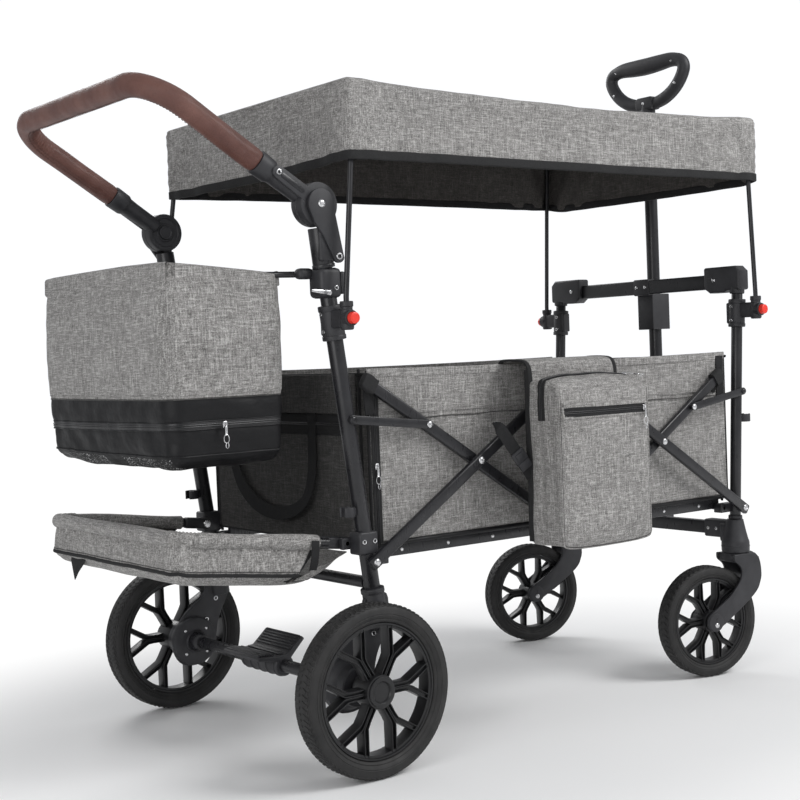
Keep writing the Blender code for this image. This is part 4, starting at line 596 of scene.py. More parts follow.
def screw(place, away, radius=0.005, finishes=(1, 0)):
    """A socket screw: a ring round a shallow hexagon whose floor takes a dark finish, painted shade for the
    socket's depth.
    """
    turn = at(place) @ looking(away)
    head = lathe([
        (radius * 0.55, -0.001), (radius * 0.55, 0.0014), (radius * 0.62, 0.0018), (radius * 0.9, 0.0016),
        (radius, 0.0008), (radius, -0.0006)], turn, 24)
    # The hexagon floor is painted shade: a dark finish stands in for the depth of the socket.
    floor = lathe([(0, 0.0001), (radius * 0.56, 0.0001)], turn, 6)
    return [(head, finishes[0]), (floor, finishes[1])]


SIDES = {"right": -1, "left": 1}
print("helpers ready")

# %% [markdown]
# # Wheels
# A moulded wheel is a round ring with a star of Y-shaped spokes. Each spoke is a thin web with a
# raised rib along both edges, and six of them share one outline, which is swept and turned into its
# place. The tyre is a turned profile. Its tread blocks are the tread faces themselves, inset and
# lifted, which is how the rubber mould makes them too.

# %% Wheel parts
FACE_OUT = {-1: pi / 2, 1: -pi / 2}


def wheel_place(centre, side, turn=0.0):
    """The wheel's own Z looks outboard."""
    return at(centre) @ spun(turn, "Z") @ spun(FACE_OUT[side], "X")


def tyre_of(radius, width, blocks, matrix):
    """A tyre with a rounded shoulder, sidewall rings and slanted tread blocks."""
    half = width / 2
    seat = radius * 0.782
    wall = [
        (seat, 0.72), (seat + 0.0012, 0.8), (radius * 0.815, 0.86), (radius * 0.822, 0.83),
        (radius * 0.832, 0.9), (radius * 0.865, 0.985), (radius * 0.872, 0.955), (radius * 0.88, 0.995),
        (radius * 0.925, 0.98), (radius * 0.958, 0.88), (radius * 0.976, 0.76), (radius - 0.0022, 0.58),
        (radius - 0.0022, 0.16)]
    profile = [(r, half * share) for r, share in wall]
    profile += [(r, -h) for r, h in reversed(profile)]
    shape = lathe(profile, steps=blocks * 2, closed=True)
    for vert in shape.verts:
        if hypot(vert.co.x, vert.co.y) > radius * 0.97:
            slant = abs(vert.co.z) / half * 2 * pi / blocks * 0.9
            vert.co = Matrix.Rotation(slant, 3, "Z") @ vert.co
    lifted = []
    for face in shape.faces:
        middle = face.calc_center_median()
        step = int(round(atan2(middle.y, middle.x) / (2 * pi) * blocks * 2 - 0.5 - abs(middle.z) / half * 1.8))
        outer = hypot(middle.x, middle.y) > radius * 0.962
        if outer and abs(middle.z) > half * 0.2 and step % 2 == 0:
            lifted.append(face)
    bmesh.ops.inset_individual(shape, faces=lifted, thickness=0.0007, depth=0.0012)
    bmesh.ops.transform(shape, matrix=matrix, verts=shape.verts)
    return shape


def spokes_of(hub, fork, rim, depth):
    """Six Y spokes: a recessed web with raised ribs along its edges."""
    parts = []
    stem, split, spread, gap = 0.0074, radians(15), 0.036, 0.0013
    rib = rounded(depth, 0.0019, 0.0008, 2)
    for k in range(6):
        start = k * pi / 3
        place = spun(start, "Z")
        for hand in (1, -1):
            edge = [
                (hub - 0.003, stem), (fork * 0.85, stem * 0.94), (fork + 0.002, stem * 1.05),
                (rim * cos(split + spread), rim * sin(split + spread))]
            inner = [
                (hub - 0.003, gap), (fork + 0.005, gap), (fork + 0.009, gap + 0.0012),
                (rim * cos(split - spread), rim * sin(split - spread))]
            for line in (edge, inner):
                path = [(x, y * hand, 0) for x, y in line]
                parts.append(moved(sweep(path, rib, (0, 0, 1)), place))
            web = [(x, y * hand) for x, y in edge + inner[::-1]]
            if hand > 0:
                web.reverse()
            parts.append(plate(web, depth - 0.011, place, 0))
    return parts


def rim_of(radius, width, hub_radius, hub_half, matrix, cap=True):
    """The moulded wheel: outer ring, spokes, hub and its cap."""
    seat = radius * 0.778
    half = width * 0.36
    inner = seat - 0.008
    ring = [
        (seat, half - 0.001), (seat - 0.001, half), (seat - 0.0035, half), (seat - 0.0045, half - 0.0022),
        (inner, half - 0.003), (inner - 0.001, 0), (inner, -half + 0.003), (seat - 0.0045, -half + 0.0022),
        (seat - 0.0035, -half), (seat, -half)]
    parts = [lathe(ring, closed=True, steps=72)]
    depth = width * 0.5
    parts += [
        moved(part, at((0, 0, half * 0.22)))
        for part in spokes_of(hub_radius, radius * 0.41, inner + 0.003, depth)]
    hub = [
        (0.0066, -hub_half), (hub_radius * 0.86, -hub_half), (hub_radius * 0.92, -hub_half + 0.001),
        (hub_radius, -hub_half + 0.01), (hub_radius, hub_half - 0.006), (hub_radius * 0.96, hub_half - 0.0035),
        (hub_radius * 0.88, hub_half - 0.003)]
    if cap:
        hub += [
            (hub_radius * 0.86, hub_half - 0.0005), (hub_radius * 0.82, hub_half),
            (hub_radius * 0.64, hub_half), (hub_radius * 0.6, hub_half - 0.001),
            (hub_radius * 0.56, hub_half - 0.0032), (hub_radius * 0.2, hub_half - 0.0026),
            (0, hub_half - 0.0024), (0, -hub_half)]
        parts.append(lathe([(0, -hub_half)] + hub[:-1], steps=48))
    else:
        hub += [(0.0066, hub_half - 0.003)]
        parts.append(lathe(hub, steps=48, closed=True))
    return [moved(part, matrix) for part in parts]


print("a wheel's outer face is turned by", {side: round(turn, 2) for side, turn in FACE_OUT.items()})

# %% Rear wheels
REAR_RADIUS, REAR_WIDTH = 0.14, 0.044
REAR_AXLE = vec(-0.42, 0, REAR_RADIUS)
for hand, side in SIDES.items():
    place = wheel_place((REAR_AXLE.x, side * 0.328, REAR_AXLE.z), side)
    make_piece(
        f"rear_wheel_{hand}", rim_of(REAR_RADIUS, REAR_WIDTH, 0.028, 0.024, place), [WHEEL_PLASTIC],
        f"wheel_rear_{hand}", f"rear_{hand}_rim")
    make_piece(
        f"rear_tyre_{hand}", [tyre_of(REAR_RADIUS, REAR_WIDTH, 88, place)], [TYRE_RUBBER], f"wheel_rear_{hand}",
        f"rear_{hand}_tyre")

# %% [markdown]
# # Casters
# A front wheel trails behind its swivel, so it follows the wagon. Its fork is two curved blades under
# a round shoulder. A blade is cut from one outline with round edges, and a round boss covers its eye.

# %% Front wheels and forks
SWIVEL_X, POST_Y, TRAIL = 0.548, 0.257, 0.078
CASTER_TURN = {-1: radians(-11), 1: radians(-17)}
FRONT_RADIUS, FRONT_WIDTH = 0.111, 0.038


def blade_outline():
    """The side view of a fork blade, from the shoulder round to the axle eye."""
    r = FRONT_RADIUS
    front = smooth_path([
        (0.026, 0.2405, 0), (0.036, 0.228, 0), (0.0405, 0.205, 0), (0.038, 0.183, 0), (0.02, 0.156, 0),
        (-TRAIL + 0.024, r - 0.006, 0)], 5)
    eye = arc((-TRAIL, r), 0.0195, radians(-30), radians(-235), 18)
    back = smooth_path(mm("-40 158 0, -16 184 0, -9 202 0, -13 216 0, -26 228 0, -27 240.5 0"), 5)
    return [(p[0], p[1]) for p in front] + eye + [(p[0], p[1]) for p in back]


def fork_of(place):
    """Both blades, the crown between them, the shoulder, the stem and the axle with its bolts."""
    inner = 0.0235
    parts = []
    upright = FACING_Y
    for away in (-1, 1):
        middle = away * (inner + 0.003)
        parts.append(plate(blade_outline(), 0.006, at((0, middle, 0)) @ upright, 0.0016, 3))
        face = away * (inner + 0.006)
        turn = at((-TRAIL, face, FRONT_RADIUS)) @ looking((0, away, 0))
        parts.append(lathe(mm("0 2.2, 15.5 2.2, 17.5 1.4, 18 -2, 0 -2"), turn, 40))
        bolt = vec(-TRAIL + 0.001, face + away * 0.002, FRONT_RADIUS - 0.006)
        parts.append((rivet(bolt, (0, away, 0), 0.0052, 0.0022, 0.0012), 1))
        # The slot is a thin block of the darker black paint on the boss: painted shade standing in for a
        # recess.
        slot = vec(-TRAIL + 0.001, face + away * 0.0022, FRONT_RADIUS + 0.005)
        parts.append((moved(block((-0.0016, -0.0004, -0.0042), (0.0016, 0.0004, 0.0042), 0.0003), at(slot)), 2))
    crown = [
        (-0.024, -inner - 0.004), (0.012, -inner - 0.004), (0.0335, -0.016), (0.0405, 0), (0.0335, 0.016),
        (0.012, inner + 0.004), (-0.024, inner + 0.004)]
    parts.append(plate(crown, 0.017, at((0, 0, 0.232)), 0.003, 3))
    visor = mm("38.5 190, 41 206, 37 232, 28 234, 32 206, 30 190")
    parts += [
        plate(visor, 2 * inner + 0.008, upright, 0.002, 3),
        lathe(mm("0 242.2, 24.5 242.2, 26.2 241.2, 27.2 237, 28 231, 0 231"), steps=48),
        rod((0, 0, 0.236), (0, 0, 0.272), 0.008),
        (rod((-TRAIL, -inner - 0.001, FRONT_RADIUS), (-TRAIL, inner + 0.001, FRONT_RADIUS), 0.006), 1)]
    return [
        (moved(part[0], place), part[1]) if isinstance(part, tuple) else moved(part, place) for part in parts]


for hand, side in SIDES.items():
    axis = vec(SWIVEL_X, side * POST_Y, 0)
    turn = CASTER_TURN[side]
    hub = axis + Matrix.Rotation(turn, 3, "Z") @ vec(-TRAIL, 0, FRONT_RADIUS)
    place = wheel_place(hub, side, turn)
    make_piece(
        f"front_wheel_{hand}", rim_of(FRONT_RADIUS, FRONT_WIDTH, 0.022, 0.0225, place, False), [WHEEL_PLASTIC],
        f"wheel_front_{hand}", f"front_{hand}_rim")
    make_piece(
        f"front_tyre_{hand}", [tyre_of(FRONT_RADIUS, FRONT_WIDTH, 56, place)], [TYRE_RUBBER],
        f"wheel_front_{hand}", f"front_{hand}_tyre")
    stand = at(axis) @ spun(turn, "Z")
    make_piece(
        f"caster_fork_{hand}", fork_of(stand), [BLACK_PLASTIC, STEEL, BLACK_PAINT], f"caster_{hand}",
        f"fork_{hand}")
print("casters turned", [round(a, 2) for a in CASTER_TURN.values()])

# %% [markdown]
# # Posts and brackets
# The two rear posts carry almost everything: the handle joints, the roof sockets, the bag's clamps,
# the tray's hinges and the wheel brackets. They lean back by a few degrees. A function that gives the
# post's X at a height keeps each collar and clamp on its line.

# %% Rear posts
REAR_LEAN, FRONT_LEAN = radians(7.6), radians(3.4)
FOOT_Z, FRONT_FOOT_X = 0.333, 0.5515
REAR_TUBE, FRONT_TUBE = 0.0135, 0.011
INNER_LANE, OUTER_LANE, BAR_DEPTH, RIVET_LIFT = 0.257, 0.272, 0.011, 0.0003
LINK_Z, LINK_DEPTH = 0.567, 0.0045
RAIL_Y = 0.226


def rear_x(z):
    return HANDLE_JOINT.x + (HANDLE_JOINT.z - z) * tan(REAR_LEAN)


def front_x(z):
    return FRONT_FOOT_X + (z - FOOT_Z) * tan(FRONT_LEAN)


def on_post(post_x, side, low, high, radius, end_radius=None, soft=0.0008):
    """A round sleeve that follows a leaning post."""
    return rod(
        (post_x(low), side * POST_Y, low), (post_x(high), side * POST_Y, high), radius, end_radius, 40, soft)


def lug(side, low_y, high_y, x_range, z_range, soft=0.002):
    """A block on one side, its Y given as distances from the middle."""
    y = sorted((side * low_y, side * high_y))
    return block((min(x_range), y[0], min(z_range)), (max(x_range), y[1], max(z_range)), soft, 3)


def c_clip(x, z, side, away):
    """An open spring clip of moulded plastic on a short foot."""
    centre, opening = (0.014, 0), radians(34)
    outline = arc(centre, 0.0128, opening, 2 * pi - opening, 20)
    outline += arc(centre, 0.0094, 2 * pi - opening, opening, 20)
    foot = mm("-6 5, 4 6, 4 -6, -6 -5")
    stand = at((x, side * POST_Y, z)) @ Matrix.Diagonal((away, 1, 1, 1))
    return [
        (moved(plate(outline, 0.016, soft=0.0009), stand), 1),
        (moved(plate(foot, 0.012, soft=0.0009), stand), 1)]


def cheek_outline(centre_x, centre_z):
    """The long lug that runs from the joint down the post to its second screw."""
    x, z = rear_x(0.832) + 0.019, 0.83
    top = arc((centre_x, centre_z), 0.0245, radians(-14), radians(206), 26)
    foot = arc((x, z), 0.0105, radians(190), radians(346), 10)
    return top + [(centre_x - 0.014, centre_z - 0.03), (centre_x + 0.001, centre_z - 0.05)] + foot


for hand, side in SIDES.items():
    joint = HANDLE_JOINT + vec(0, side * POST_Y, 0)
    parts = [on_post(rear_x, side, 0.245, 0.866, REAR_TUBE)]
    parts += [
        on_post(rear_x, side, 0.8125, 0.8765, 0.0172, 0.0166, 0.0012),
        on_post(rear_x, side, 0.8125, 0.8185, 0.0185, 0.0185, 0.0012)]
    upright = at((0, side * 0.2752, 0)) @ FACING_Y
    parts += [
        (plate(cheek_outline(joint.x, joint.z), 0.0066, upright, 0.0012, 3), 1),
        (lug(
            side, POST_Y + 0.006, 0.2745, (rear_x(0.84) - 0.013, rear_x(0.84) + 0.02), (0.822, 0.872), 0.004),
            1)]
    parts += [(rivet((joint.x, side * 0.2785, joint.z), (0, side, 0), 0.0068, 0.0026, 0.0008), 2)]
    parts += screw((rear_x(0.832) + 0.019, side * 0.2785, 0.83), (0, side, 0), 0.0058, finishes=(2, 0))
    face = OUTER_LANE + BAR_DEPTH + RIVET_LIFT
    foot_x, link_x = rear_x(FOOT_Z), rear_x(LINK_Z)
    parts += [
        spindle(foot_x, FOOT_Z, side, POST_Y, face, 0.004),
        (rivet((foot_x, side * face, FOOT_Z), (0, side, 0), dimple=0.0008), 2)]
    parts.append(spindle(foot_x, FOOT_Z, side, POST_Y, OUTER_LANE - 0.0006, 0.0085))
    link_face = OUTER_LANE + LINK_DEPTH + RIVET_LIFT
    parts += [
        spindle(link_x, LINK_Z, side, POST_Y, OUTER_LANE - 0.0004, 0.0068),
        rivet((link_x, side * link_face, LINK_Z), (0, side, 0), 0.006, 0.0022, 0.0014)]
    parts += [
        spindle(link_x, LINK_Z, side, POST_Y, link_face, 0.0038),
        lug(side, RAIL_Y + 0.0105, POST_Y, (foot_x, foot_x + 0.043), (FOOT_Z - 0.009, FOOT_Z + 0.009)),
        rod((foot_x + 0.034, side * POST_Y, FOOT_Z), (foot_x + 0.034, side * (RAIL_Y - 0.002), FOOT_Z), 0.004)]
    clamp_x, clamp_z = rear_x(0.364), 0.364
    parts += [
        (lug(
            side, POST_Y - 0.0185, POST_Y + 0.014, (clamp_x - 0.02, clamp_x + 0.017),
            (clamp_z - 0.019, clamp_z + 0.019), 0.004), 1),
        (lug(
            side, 0.2335, POST_Y - 0.012, (clamp_x - 0.037, clamp_x - 0.012), (clamp_z - 0.01, clamp_z + 0.01),
            0.003), 1),
        rod((clamp_x - 0.027, side * 0.245, clamp_z), (clamp_x - 0.027, side * 0.222, clamp_z), 0.004)]
    for x in (clamp_x - 0.012, clamp_x + 0.009):
        parts += screw((x, side * (POST_Y + 0.014), clamp_z + 0.003), (0, side, 0), 0.0042, finishes=(2, 0))
    parts += c_clip(rear_x(0.417) - 0.012, 0.417, side, -1)
    make_piece(
        f"rear_upright_{hand}", parts, [BLACK_PAINT, BLACK_PLASTIC, STEEL], "rear_frame",
        f"rear_post_{hand}")
cross_x = rear_x(0.296)
make_piece(
    "rear_cross_bar", [rod((cross_x, -0.2425, 0.296), (cross_x, 0.2425, 0.296), 0.01)], [BLACK_PAINT],
    "rear_frame", "rear_cross_tube")
print("rear posts lean from", round(rear_x(0.245), 3), "to", round(rear_x(0.866), 3))

# %% [markdown]
# Under each rear post a moulded bracket holds the stub axle and the drum of the foot brake. From
# inside it shows as a big stepped bell. The bell is one turned profile, and the plate is an outline
# with soft edges.

# %% Axle brackets and the brake
for hand, side in SIDES.items():
    foot = rear_x(0.245)
    outline = smooth_path([
        (foot - 0.021, 0.276, 0), (foot + 0.021, 0.276, 0), (foot + 0.019, 0.225, 0), (foot - 0.004, 0.176, 0),
        (foot - 0.016, 0.126, 0), (REAR_AXLE.x + 0.024, 0.096, 0), (REAR_AXLE.x - 0.022, 0.096, 0),
        (REAR_AXLE.x - 0.042, 0.134, 0), (REAR_AXLE.x - 0.02, 0.186, 0), (foot - 0.034, 0.226, 0)], 5, True)
    upright = at((0, side * POST_Y, 0)) @ FACING_Y
    parts = [plate([(p.x, p.y) for p in outline], 0.008, upright, 0.0016, 3)]
    parts += [
        on_post(rear_x, side, 0.222, 0.2865, 0.0186, 0.018, 0.0014),
        on_post(rear_x, side, 0.28, 0.2885, 0.0198, 0.0198, 0.0014)]
    look = at((REAR_AXLE.x, side * 0.238, REAR_AXLE.z)) @ spun(FACE_OUT[side], "X")
    bell = mm(
        "11.8 0, 20 -0.5, 22 3, 40 3, 44.5 5, 46 9, 44.5 22, 40 30, 34.5 36, 33.5 52, 31.5 54, 13 54, "
        "13 65.5, 0 65.5, 0 6.8, 11.8 6.8")
    parts += [lathe(bell, look, 56, True), spindle(REAR_AXLE.x, REAR_AXLE.z, side, 0.29, 0.338, 0.006)]
    for x, z in ((foot - 0.01, 0.214), (REAR_AXLE.x + 0.03, 0.176), (REAR_AXLE.x - 0.03, 0.162)):
        for away in (-1, 1):
            parts += screw((x, side * (POST_Y + away * 0.0041), z), (0, side * away, 0), 0.0046)
    for k in range(4):
        a = pi / 4 + k * pi / 2
        parts.append((rivet(
            (REAR_AXLE.x + 0.031 * cos(a), side * 0.241, REAR_AXLE.z + 0.031 * sin(a)), (0, -side, 0), 0.003,
            0.0012), 1))
    make_piece(
        f"wheel_bracket_{hand}", parts, [BLACK_PLASTIC, STEEL], "rear_frame",
        f"axle_bracket_{hand}")

parts = [rod((REAR_AXLE.x, -0.2445, REAR_AXLE.z), (REAR_AXLE.x, 0.2445, REAR_AXLE.z), 0.011, sides=40)]
for side in (-1, 1):
    parts.append(spindle(REAR_AXLE.x, REAR_AXLE.z, side, 0.214, 0.2372, 0.015, 0.019, 40, 0.001))
make_piece("brake_shaft", parts, [BLACK_PAINT], "brake", "brake_bar")

x, z, PEDAL_Y = REAR_AXLE.x, REAR_AXLE.z, -0.01
upright = at((0, PEDAL_Y, 0)) @ FACING_Y
ring = arc((x, z), 0.0185, radians(150), radians(400), 22)
body = [(p, q) for p, q in ring] + [
    (x + 0.022, z + 0.02), (x + 0.043, z + 0.041), (x + 0.037, z + 0.0465), (x + 0.008, z + 0.021),
    (x - 0.012, z + 0.0185), (x - 0.05, z + 0.0215), (x - 0.054, z + 0.0185), (x - 0.052, z + 0.0135)]
parts = [plate(body, 0.118, upright, 0.0022, 3)]
ridges = []
for k in range(7):
    slide = k * 0.0049
    ridges.append(at(vec(x - 0.048 + slide, PEDAL_Y, z + 0.0222 - slide * 0.05)))
for k in range(6):
    t = k / 5
    ridges.append(at(vec(x + 0.014 + 0.022 * t, PEDAL_Y, z + 0.0262 + 0.019 * t)) @ spun(radians(-41), "Y"))
parts += [moved(block((-0.0014, -0.054, -0.001), (0.0014, 0.054, 0.0016), 0.0006), ridge) for ridge in ridges]
parts.append(moved(
    plate(rounded(0.104, 0.013, 0.004), 0.002, soft=0.0006),
    at((x - 0.002, PEDAL_Y, z + 0.0205)) @ spun(pi / 2, "Z")))
for k in range(5):
    y = PEDAL_Y - 0.05 + k * 0.025
    parts.append(lathe(mm("18.3 -1.6, 19.6 -1, 19.6 1, 18.3 1.6"), at((x, y, z)) @ FACING_Y, 40, True))
make_piece("brake_rocker", parts, [BLACK_PLASTIC], "brake", "brake_pedal")
print("brake bar turns at", [round(v, 3) for v in REAR_AXLE])

# %% [markdown]
# # Push handle
# One steel tube is bent to a wide U and wears a sewn leather sleeve. Its two ends sit in plastic
# arms that clamp into click drums on the posts. The sleeve could be a smooth pipe, but the real one
# is laced round the bend: the leather is gathered on the inside of each corner and has a line of
# stitches along its underside. So the section's radius follows a small wave there.

# %% The leather sleeve
RISE = radians(32.5)
REACH, CORNER, HANDLE_Y = 0.335, 0.075, 0.25
GRIP_START, GRIP_RADIUS = 0.122, 0.0185
rise = vec(-cos(RISE), 0, sin(RISE))
normal = vec(sin(RISE), 0, cos(RISE))


def handle_at(reach, y):
    return HANDLE_JOINT + rise * reach + vec(0, y, 0)


def handle_line():
    """The centre of the handle from the near collar round to the far one, a point every 3 mm."""
    straight = REACH - CORNER
    line = [handle_at(GRIP_START + (straight - GRIP_START) * k / 44, -HANDLE_Y) for k in range(44)]
    line += [
        handle_at(straight + CORNER * sin(a), -HANDLE_Y + CORNER * (1 - cos(a)))
        for a in [k * pi / 2 / 38 for k in range(39)]]
    middle = [handle_at(REACH, y) for y in [(-HANDLE_Y + CORNER) * (1 - k / 55) for k in range(1, 56)]]
    line += middle
    return line + [vec(p.x, -p.y, p.z) for p in reversed(line[:-1])]


grip_line = handle_line()
sleeve = tube(grip_line, GRIP_RADIUS, 40, normal)
lengths = [0.0]
for first, second in zip(grip_line, grip_line[1:]):
    lengths.append(lengths[-1] + (second - first).length)
total = lengths[-1]
corner_at = [lengths[63], total - lengths[63]]
centre_of = HANDLE_JOINT + rise * (REACH - CORNER)
sleeve.verts.ensure_lookup_table()
for k, vert in enumerate(sleeve.verts):
    ring = min(k // 40, len(grip_line) - 1)
    station = grip_line[ring]
    out = vert.co - station
    along = lengths[ring]
    near_bend = max(0.0, 1 - min(abs(along - c) for c in corner_at) / 0.085)
    inward = (vec(centre_of.x, station.y * 0.55, centre_of.z) - station).normalized()
    inside = max(0.0, out.normalized().dot(inward))
    under = max(0.0, out.normalized().dot(-normal * 0.75 + inward * 0.66))
    ruche = 0.0016 * near_bend * inside ** 1.5 * (sin(along * 2 * pi / 0.0085) - 0.2)
    seam = -0.0009 * max(0.0, (under - 0.965) / 0.035)
    lump = 0.0006 * noise.noise(vec(along * 18, out.normalized().dot(normal) * 1.5, 3))
    cuff = 0.001 * max(0.0, 1 - min(along, total - along) / 0.006)
    vert.co = station + out * (1 + (ruche + seam + lump - cuff) / GRIP_RADIUS)
make_piece(
    "leather_sleeve", [sleeve], [LEATHER], "push_handle", "push_handle_grip",
    smooth=radians(70))
print("sleeve", round(total, 3), "m long")

# %% Stitches along the sleeve
stitches = []
count = int(total / 0.0062)
for k in range(4, count - 4):
    along = total * k / count
    ring = max(j for j, length in enumerate(lengths) if length <= along)
    ahead = (grip_line[min(ring + 1, len(grip_line) - 1)] - grip_line[ring - 1]).normalized()
    station = grip_line[ring] + ahead * (along - lengths[ring])
    inward = (vec(centre_of.x, station.y * 0.55, centre_of.z) - station)
    inward = (inward - ahead * inward.dot(ahead)).normalized()
    out = (-normal * 0.75 + inward * 0.66).normalized()
    side_way = ahead.cross(out)
    for away in (-1, 1):
        a = station + out * (GRIP_RADIUS + 0.0001) + side_way * away * 0.0028 - ahead * 0.0017
        stitches.append(tube([a, a + ahead * 0.0017 + out * 0.0004, a + ahead * 0.0034], 0.00045, 6, out))
make_piece("sleeve_stitches", stitches, [THREAD], "push_handle")
print(len(stitches), "stitches")

# %% [markdown]
# Each arm of the handle is a moulded socket that starts as a collar round the leather, tapers, and
# runs into a round drum. A long recess with a screw shows on its outer face; the recess is drawn as
# a thin patch of darker black paint, which is painted shade. The drum's own face has a step and,
# inside, the round release button.

# %% Arms, drums and release buttons
STEEL_RADIUS, DRUM_Y = 0.0125, 0.241
parts = [
    (tube([handle_at(0.03, y), handle_at(GRIP_START + 0.01, y)], STEEL_RADIUS, 32, normal), 1)
    for y in (-HANDLE_Y, HANDLE_Y)]
for side in (-1, 1):
    y = side * HANDLE_Y
    stations_of = mm("20 15, 40 15, 75 15.8, 88 16.6, 92 18.6, 94.5 19.6, 119.5 20.4, 121.2 19.8")
    parts.append((sweep(
        [handle_at(a, y) for a, r in stations_of], circle(1, 40), normal, [r for a, r in stations_of]), 0))
    arm = mm("10 -12, 88 -10.5, 96 -7, 99 0, 96 7.5, 88 10.8, 10 12.5")
    tilt = axes(rise, normal, rise.cross(normal))
    face = side * 0.269
    parts.append((plate(arm, 0.0062, at(HANDLE_JOINT + vec(0, face, 0)) @ tilt, 0.0012, 3), 0))
    # The recess is painted shade: a thin patch of the darker paint finish, laid just proud of the arm.
    channel = mm("36 -4.2, 80 -4.2, 84 0, 80 4.2, 36 4.2, 33 0")
    parts.append((plate(channel, 0.0012, at(HANDLE_JOINT + vec(0, side * 0.2722, 0)) @ tilt, 0.0004), 1))
    parts += screw(handle_at(0.088, side * 0.2726), (0, side, 0), 0.0048, finishes=(2, 1))
    look = at((HANDLE_JOINT.x, side * DRUM_Y, HANDLE_JOINT.z)) @ spun(FACE_OUT[side], "X")
    drum = mm(
        "13.5 0, 16.5 0, 17.5 1.4, 25.5 1.4, 27 -0.2, 32.5 -0.2, 34.4 1, 35 3, 35 13.5, 34.3 14.2, 34.3 16, "
        "35 16.8, 35 28.5, 34.4 30, 32.5 30.5, 6.6 30.5, 6.6 6.6, 13.5 6.6")
    parts.append((lathe(drum, look, 64, True), 0))
make_piece(
    "handle_arms", parts, [BLACK_PLASTIC, BLACK_PAINT, STEEL], "push_handle",
    "push_handle_tube")
for hand, side in SIDES.items():
    look = at((HANDLE_JOINT.x, side * DRUM_Y, HANDLE_JOINT.z)) @ spun(-FACE_OUT[side], "X")
    cap = mm("0 -1.8, 12.8 -1.8, 13 2.8, 12.2 3.8, 10.5 4, 9.5 3.2, 0 3")
    make_piece(
        f"joint_cap_{hand}", [lathe(cap, look, 40)], [BLACK_PLASTIC], f"joint_button_{hand}",
        f"handle_button_{hand}")
print("handle line", round(total, 3), "m,", len(stitches), "stitches")

# %% [markdown]
# # The folding sides
# Four flat tubes cross on each side, in two lanes, and short straps tie them to the posts. A flat
# tube with a 3 mm corner radius catches the light as one long line, so each bar gets real rounded
# edges and a pressed end. The rivets are bright zinc.

# %% Linkage places
REST = radians(32.9)
REAR_FOOT_X = rear_x(FOOT_Z)
MIDDLE_X = (REAR_FOOT_X + FRONT_FOOT_X) / 2
TOP_Z = FOOT_Z + (MIDDLE_X - REAR_FOOT_X) * tan(REST)
CROSS_Z = (FOOT_Z + TOP_Z) / 2
CROSS_X = {"rear": (REAR_FOOT_X + MIDDLE_X) / 2, "front": (FRONT_FOOT_X + MIDDLE_X) / 2}
bar_face = OUTER_LANE + BAR_DEPTH


def bar_of(side, lane, start, end, start_tongue=None, end_tongue=None):
    """A flat tube between two pivots; a tongue is half as thick, on the inner or outer face."""
    start, end = vec(start[0], 0, start[1]), vec(end[0], 0, end[1])
    along = (end - start).normalized()
    tongue = 0.047
    places = [
        (start - along * 0.01, 0.92), (start - along * 0.0075, 1.0), (end + along * 0.0075, 1.0),
        (end + along * 0.01, 0.92)]
    whole_start = places[0][0] if not start_tongue else start + along * tongue
    whole_end = places[3][0] if not end_tongue else end - along * tongue
    half = BAR_DEPTH / 2
    middle = vec(0, side * (lane + half), 0)
    route = [whole_start, whole_start + along * 0.0015, whole_end - along * 0.0015, whole_end]
    parts = [sweep(
        [p + middle for p in route], rounded(BAR_DEPTH, 0.02, 0.0034, 4), (0, side, 0), [0.9, 1, 1, 0.9])]
    for pivot, inward, keep in ((start, along, start_tongue), (end, -along, end_tongue)):
        if keep:
            shift = vec(0, side * (lane + (half / 2 - 0.0003 if keep == "inner" else 1.5 * half + 0.0003)), 0)
            tip = [pivot - inward * 0.01, pivot - inward * 0.0085, pivot + inward * (tongue + 0.002)]
            parts.append(sweep(
                [p + shift for p in tip], rounded(half - 0.001, 0.0196, 0.0016, 2), (0, side, 0), [0.86, 1, 1]))
    return parts


def pin_of(x, z, side, inner, outer):
    """A rivet through the stack, with its bright head."""
    face = outer + RIVET_LIFT
    return [
        spindle(x, z, side, inner, face, 0.004), (rivet((x, side * face, z), (0, side, 0), dimple=0.0008), 2)]


print("bars cross at z", round(CROSS_Z, 3))

# %% Bars and rivets
up = vec(cos(REST), 0, sin(REST))
crossings = {end: vec(x, 0, CROSS_Z) for end, x in CROSS_X.items()}
down = vec(-up.x, 0, up.z)
rear_top = crossings["rear"] + down * 0.262
front_top = crossings["front"] + up * 0.215
PAINTED = [BLACK_PAINT, BLACK_PLASTIC, STEEL]
for hand, side in SIDES.items():
    foot, front_foot = (REAR_FOOT_X, FOOT_Z), (FRONT_FOOT_X, FOOT_Z)
    top, low_mid = (MIDDLE_X, TOP_Z), (MIDDLE_X, FOOT_Z)
    rear_low = bar_of(side, OUTER_LANE, foot, top, None, "inner")
    rear_low += pin_of(*top, side, OUTER_LANE + 0.002, bar_face)
    rear_cross, front_cross = crossings["rear"], crossings["front"]
    make_piece(
        f"side_bar_a_{hand}", rear_low, PAINTED, f"bars_rear_low_{hand}",
        f"rear_lower_bar_{hand}")
    make_piece(
        f"side_bar_c_{hand}", bar_of(side, OUTER_LANE, top, front_foot, "outer"), PAINTED,
        f"bars_front_low_{hand}", f"front_lower_bar_{hand}")
    rear_up = bar_of(side, INNER_LANE, (rear_top.x, rear_top.z), low_mid, None, "inner")
    rear_up += pin_of(rear_cross.x, rear_cross.z, side, INNER_LANE + 0.004, bar_face)
    rear_up += pin_of(*low_mid, side, INNER_LANE + 0.002, INNER_LANE + BAR_DEPTH)
    make_piece(
        f"side_bar_b_{hand}", rear_up, PAINTED, f"bars_rear_up_{hand}", f"rear_upper_bar_{hand}")
    front_up = bar_of(side, INNER_LANE, low_mid, (front_top.x, front_top.z), "outer")
    front_up += pin_of(front_cross.x, front_cross.z, side, INNER_LANE + 0.004, bar_face)
    make_piece(
        f"side_bar_d_{hand}", front_up, PAINTED, f"bars_front_up_{hand}",
        f"front_upper_bar_{hand}")


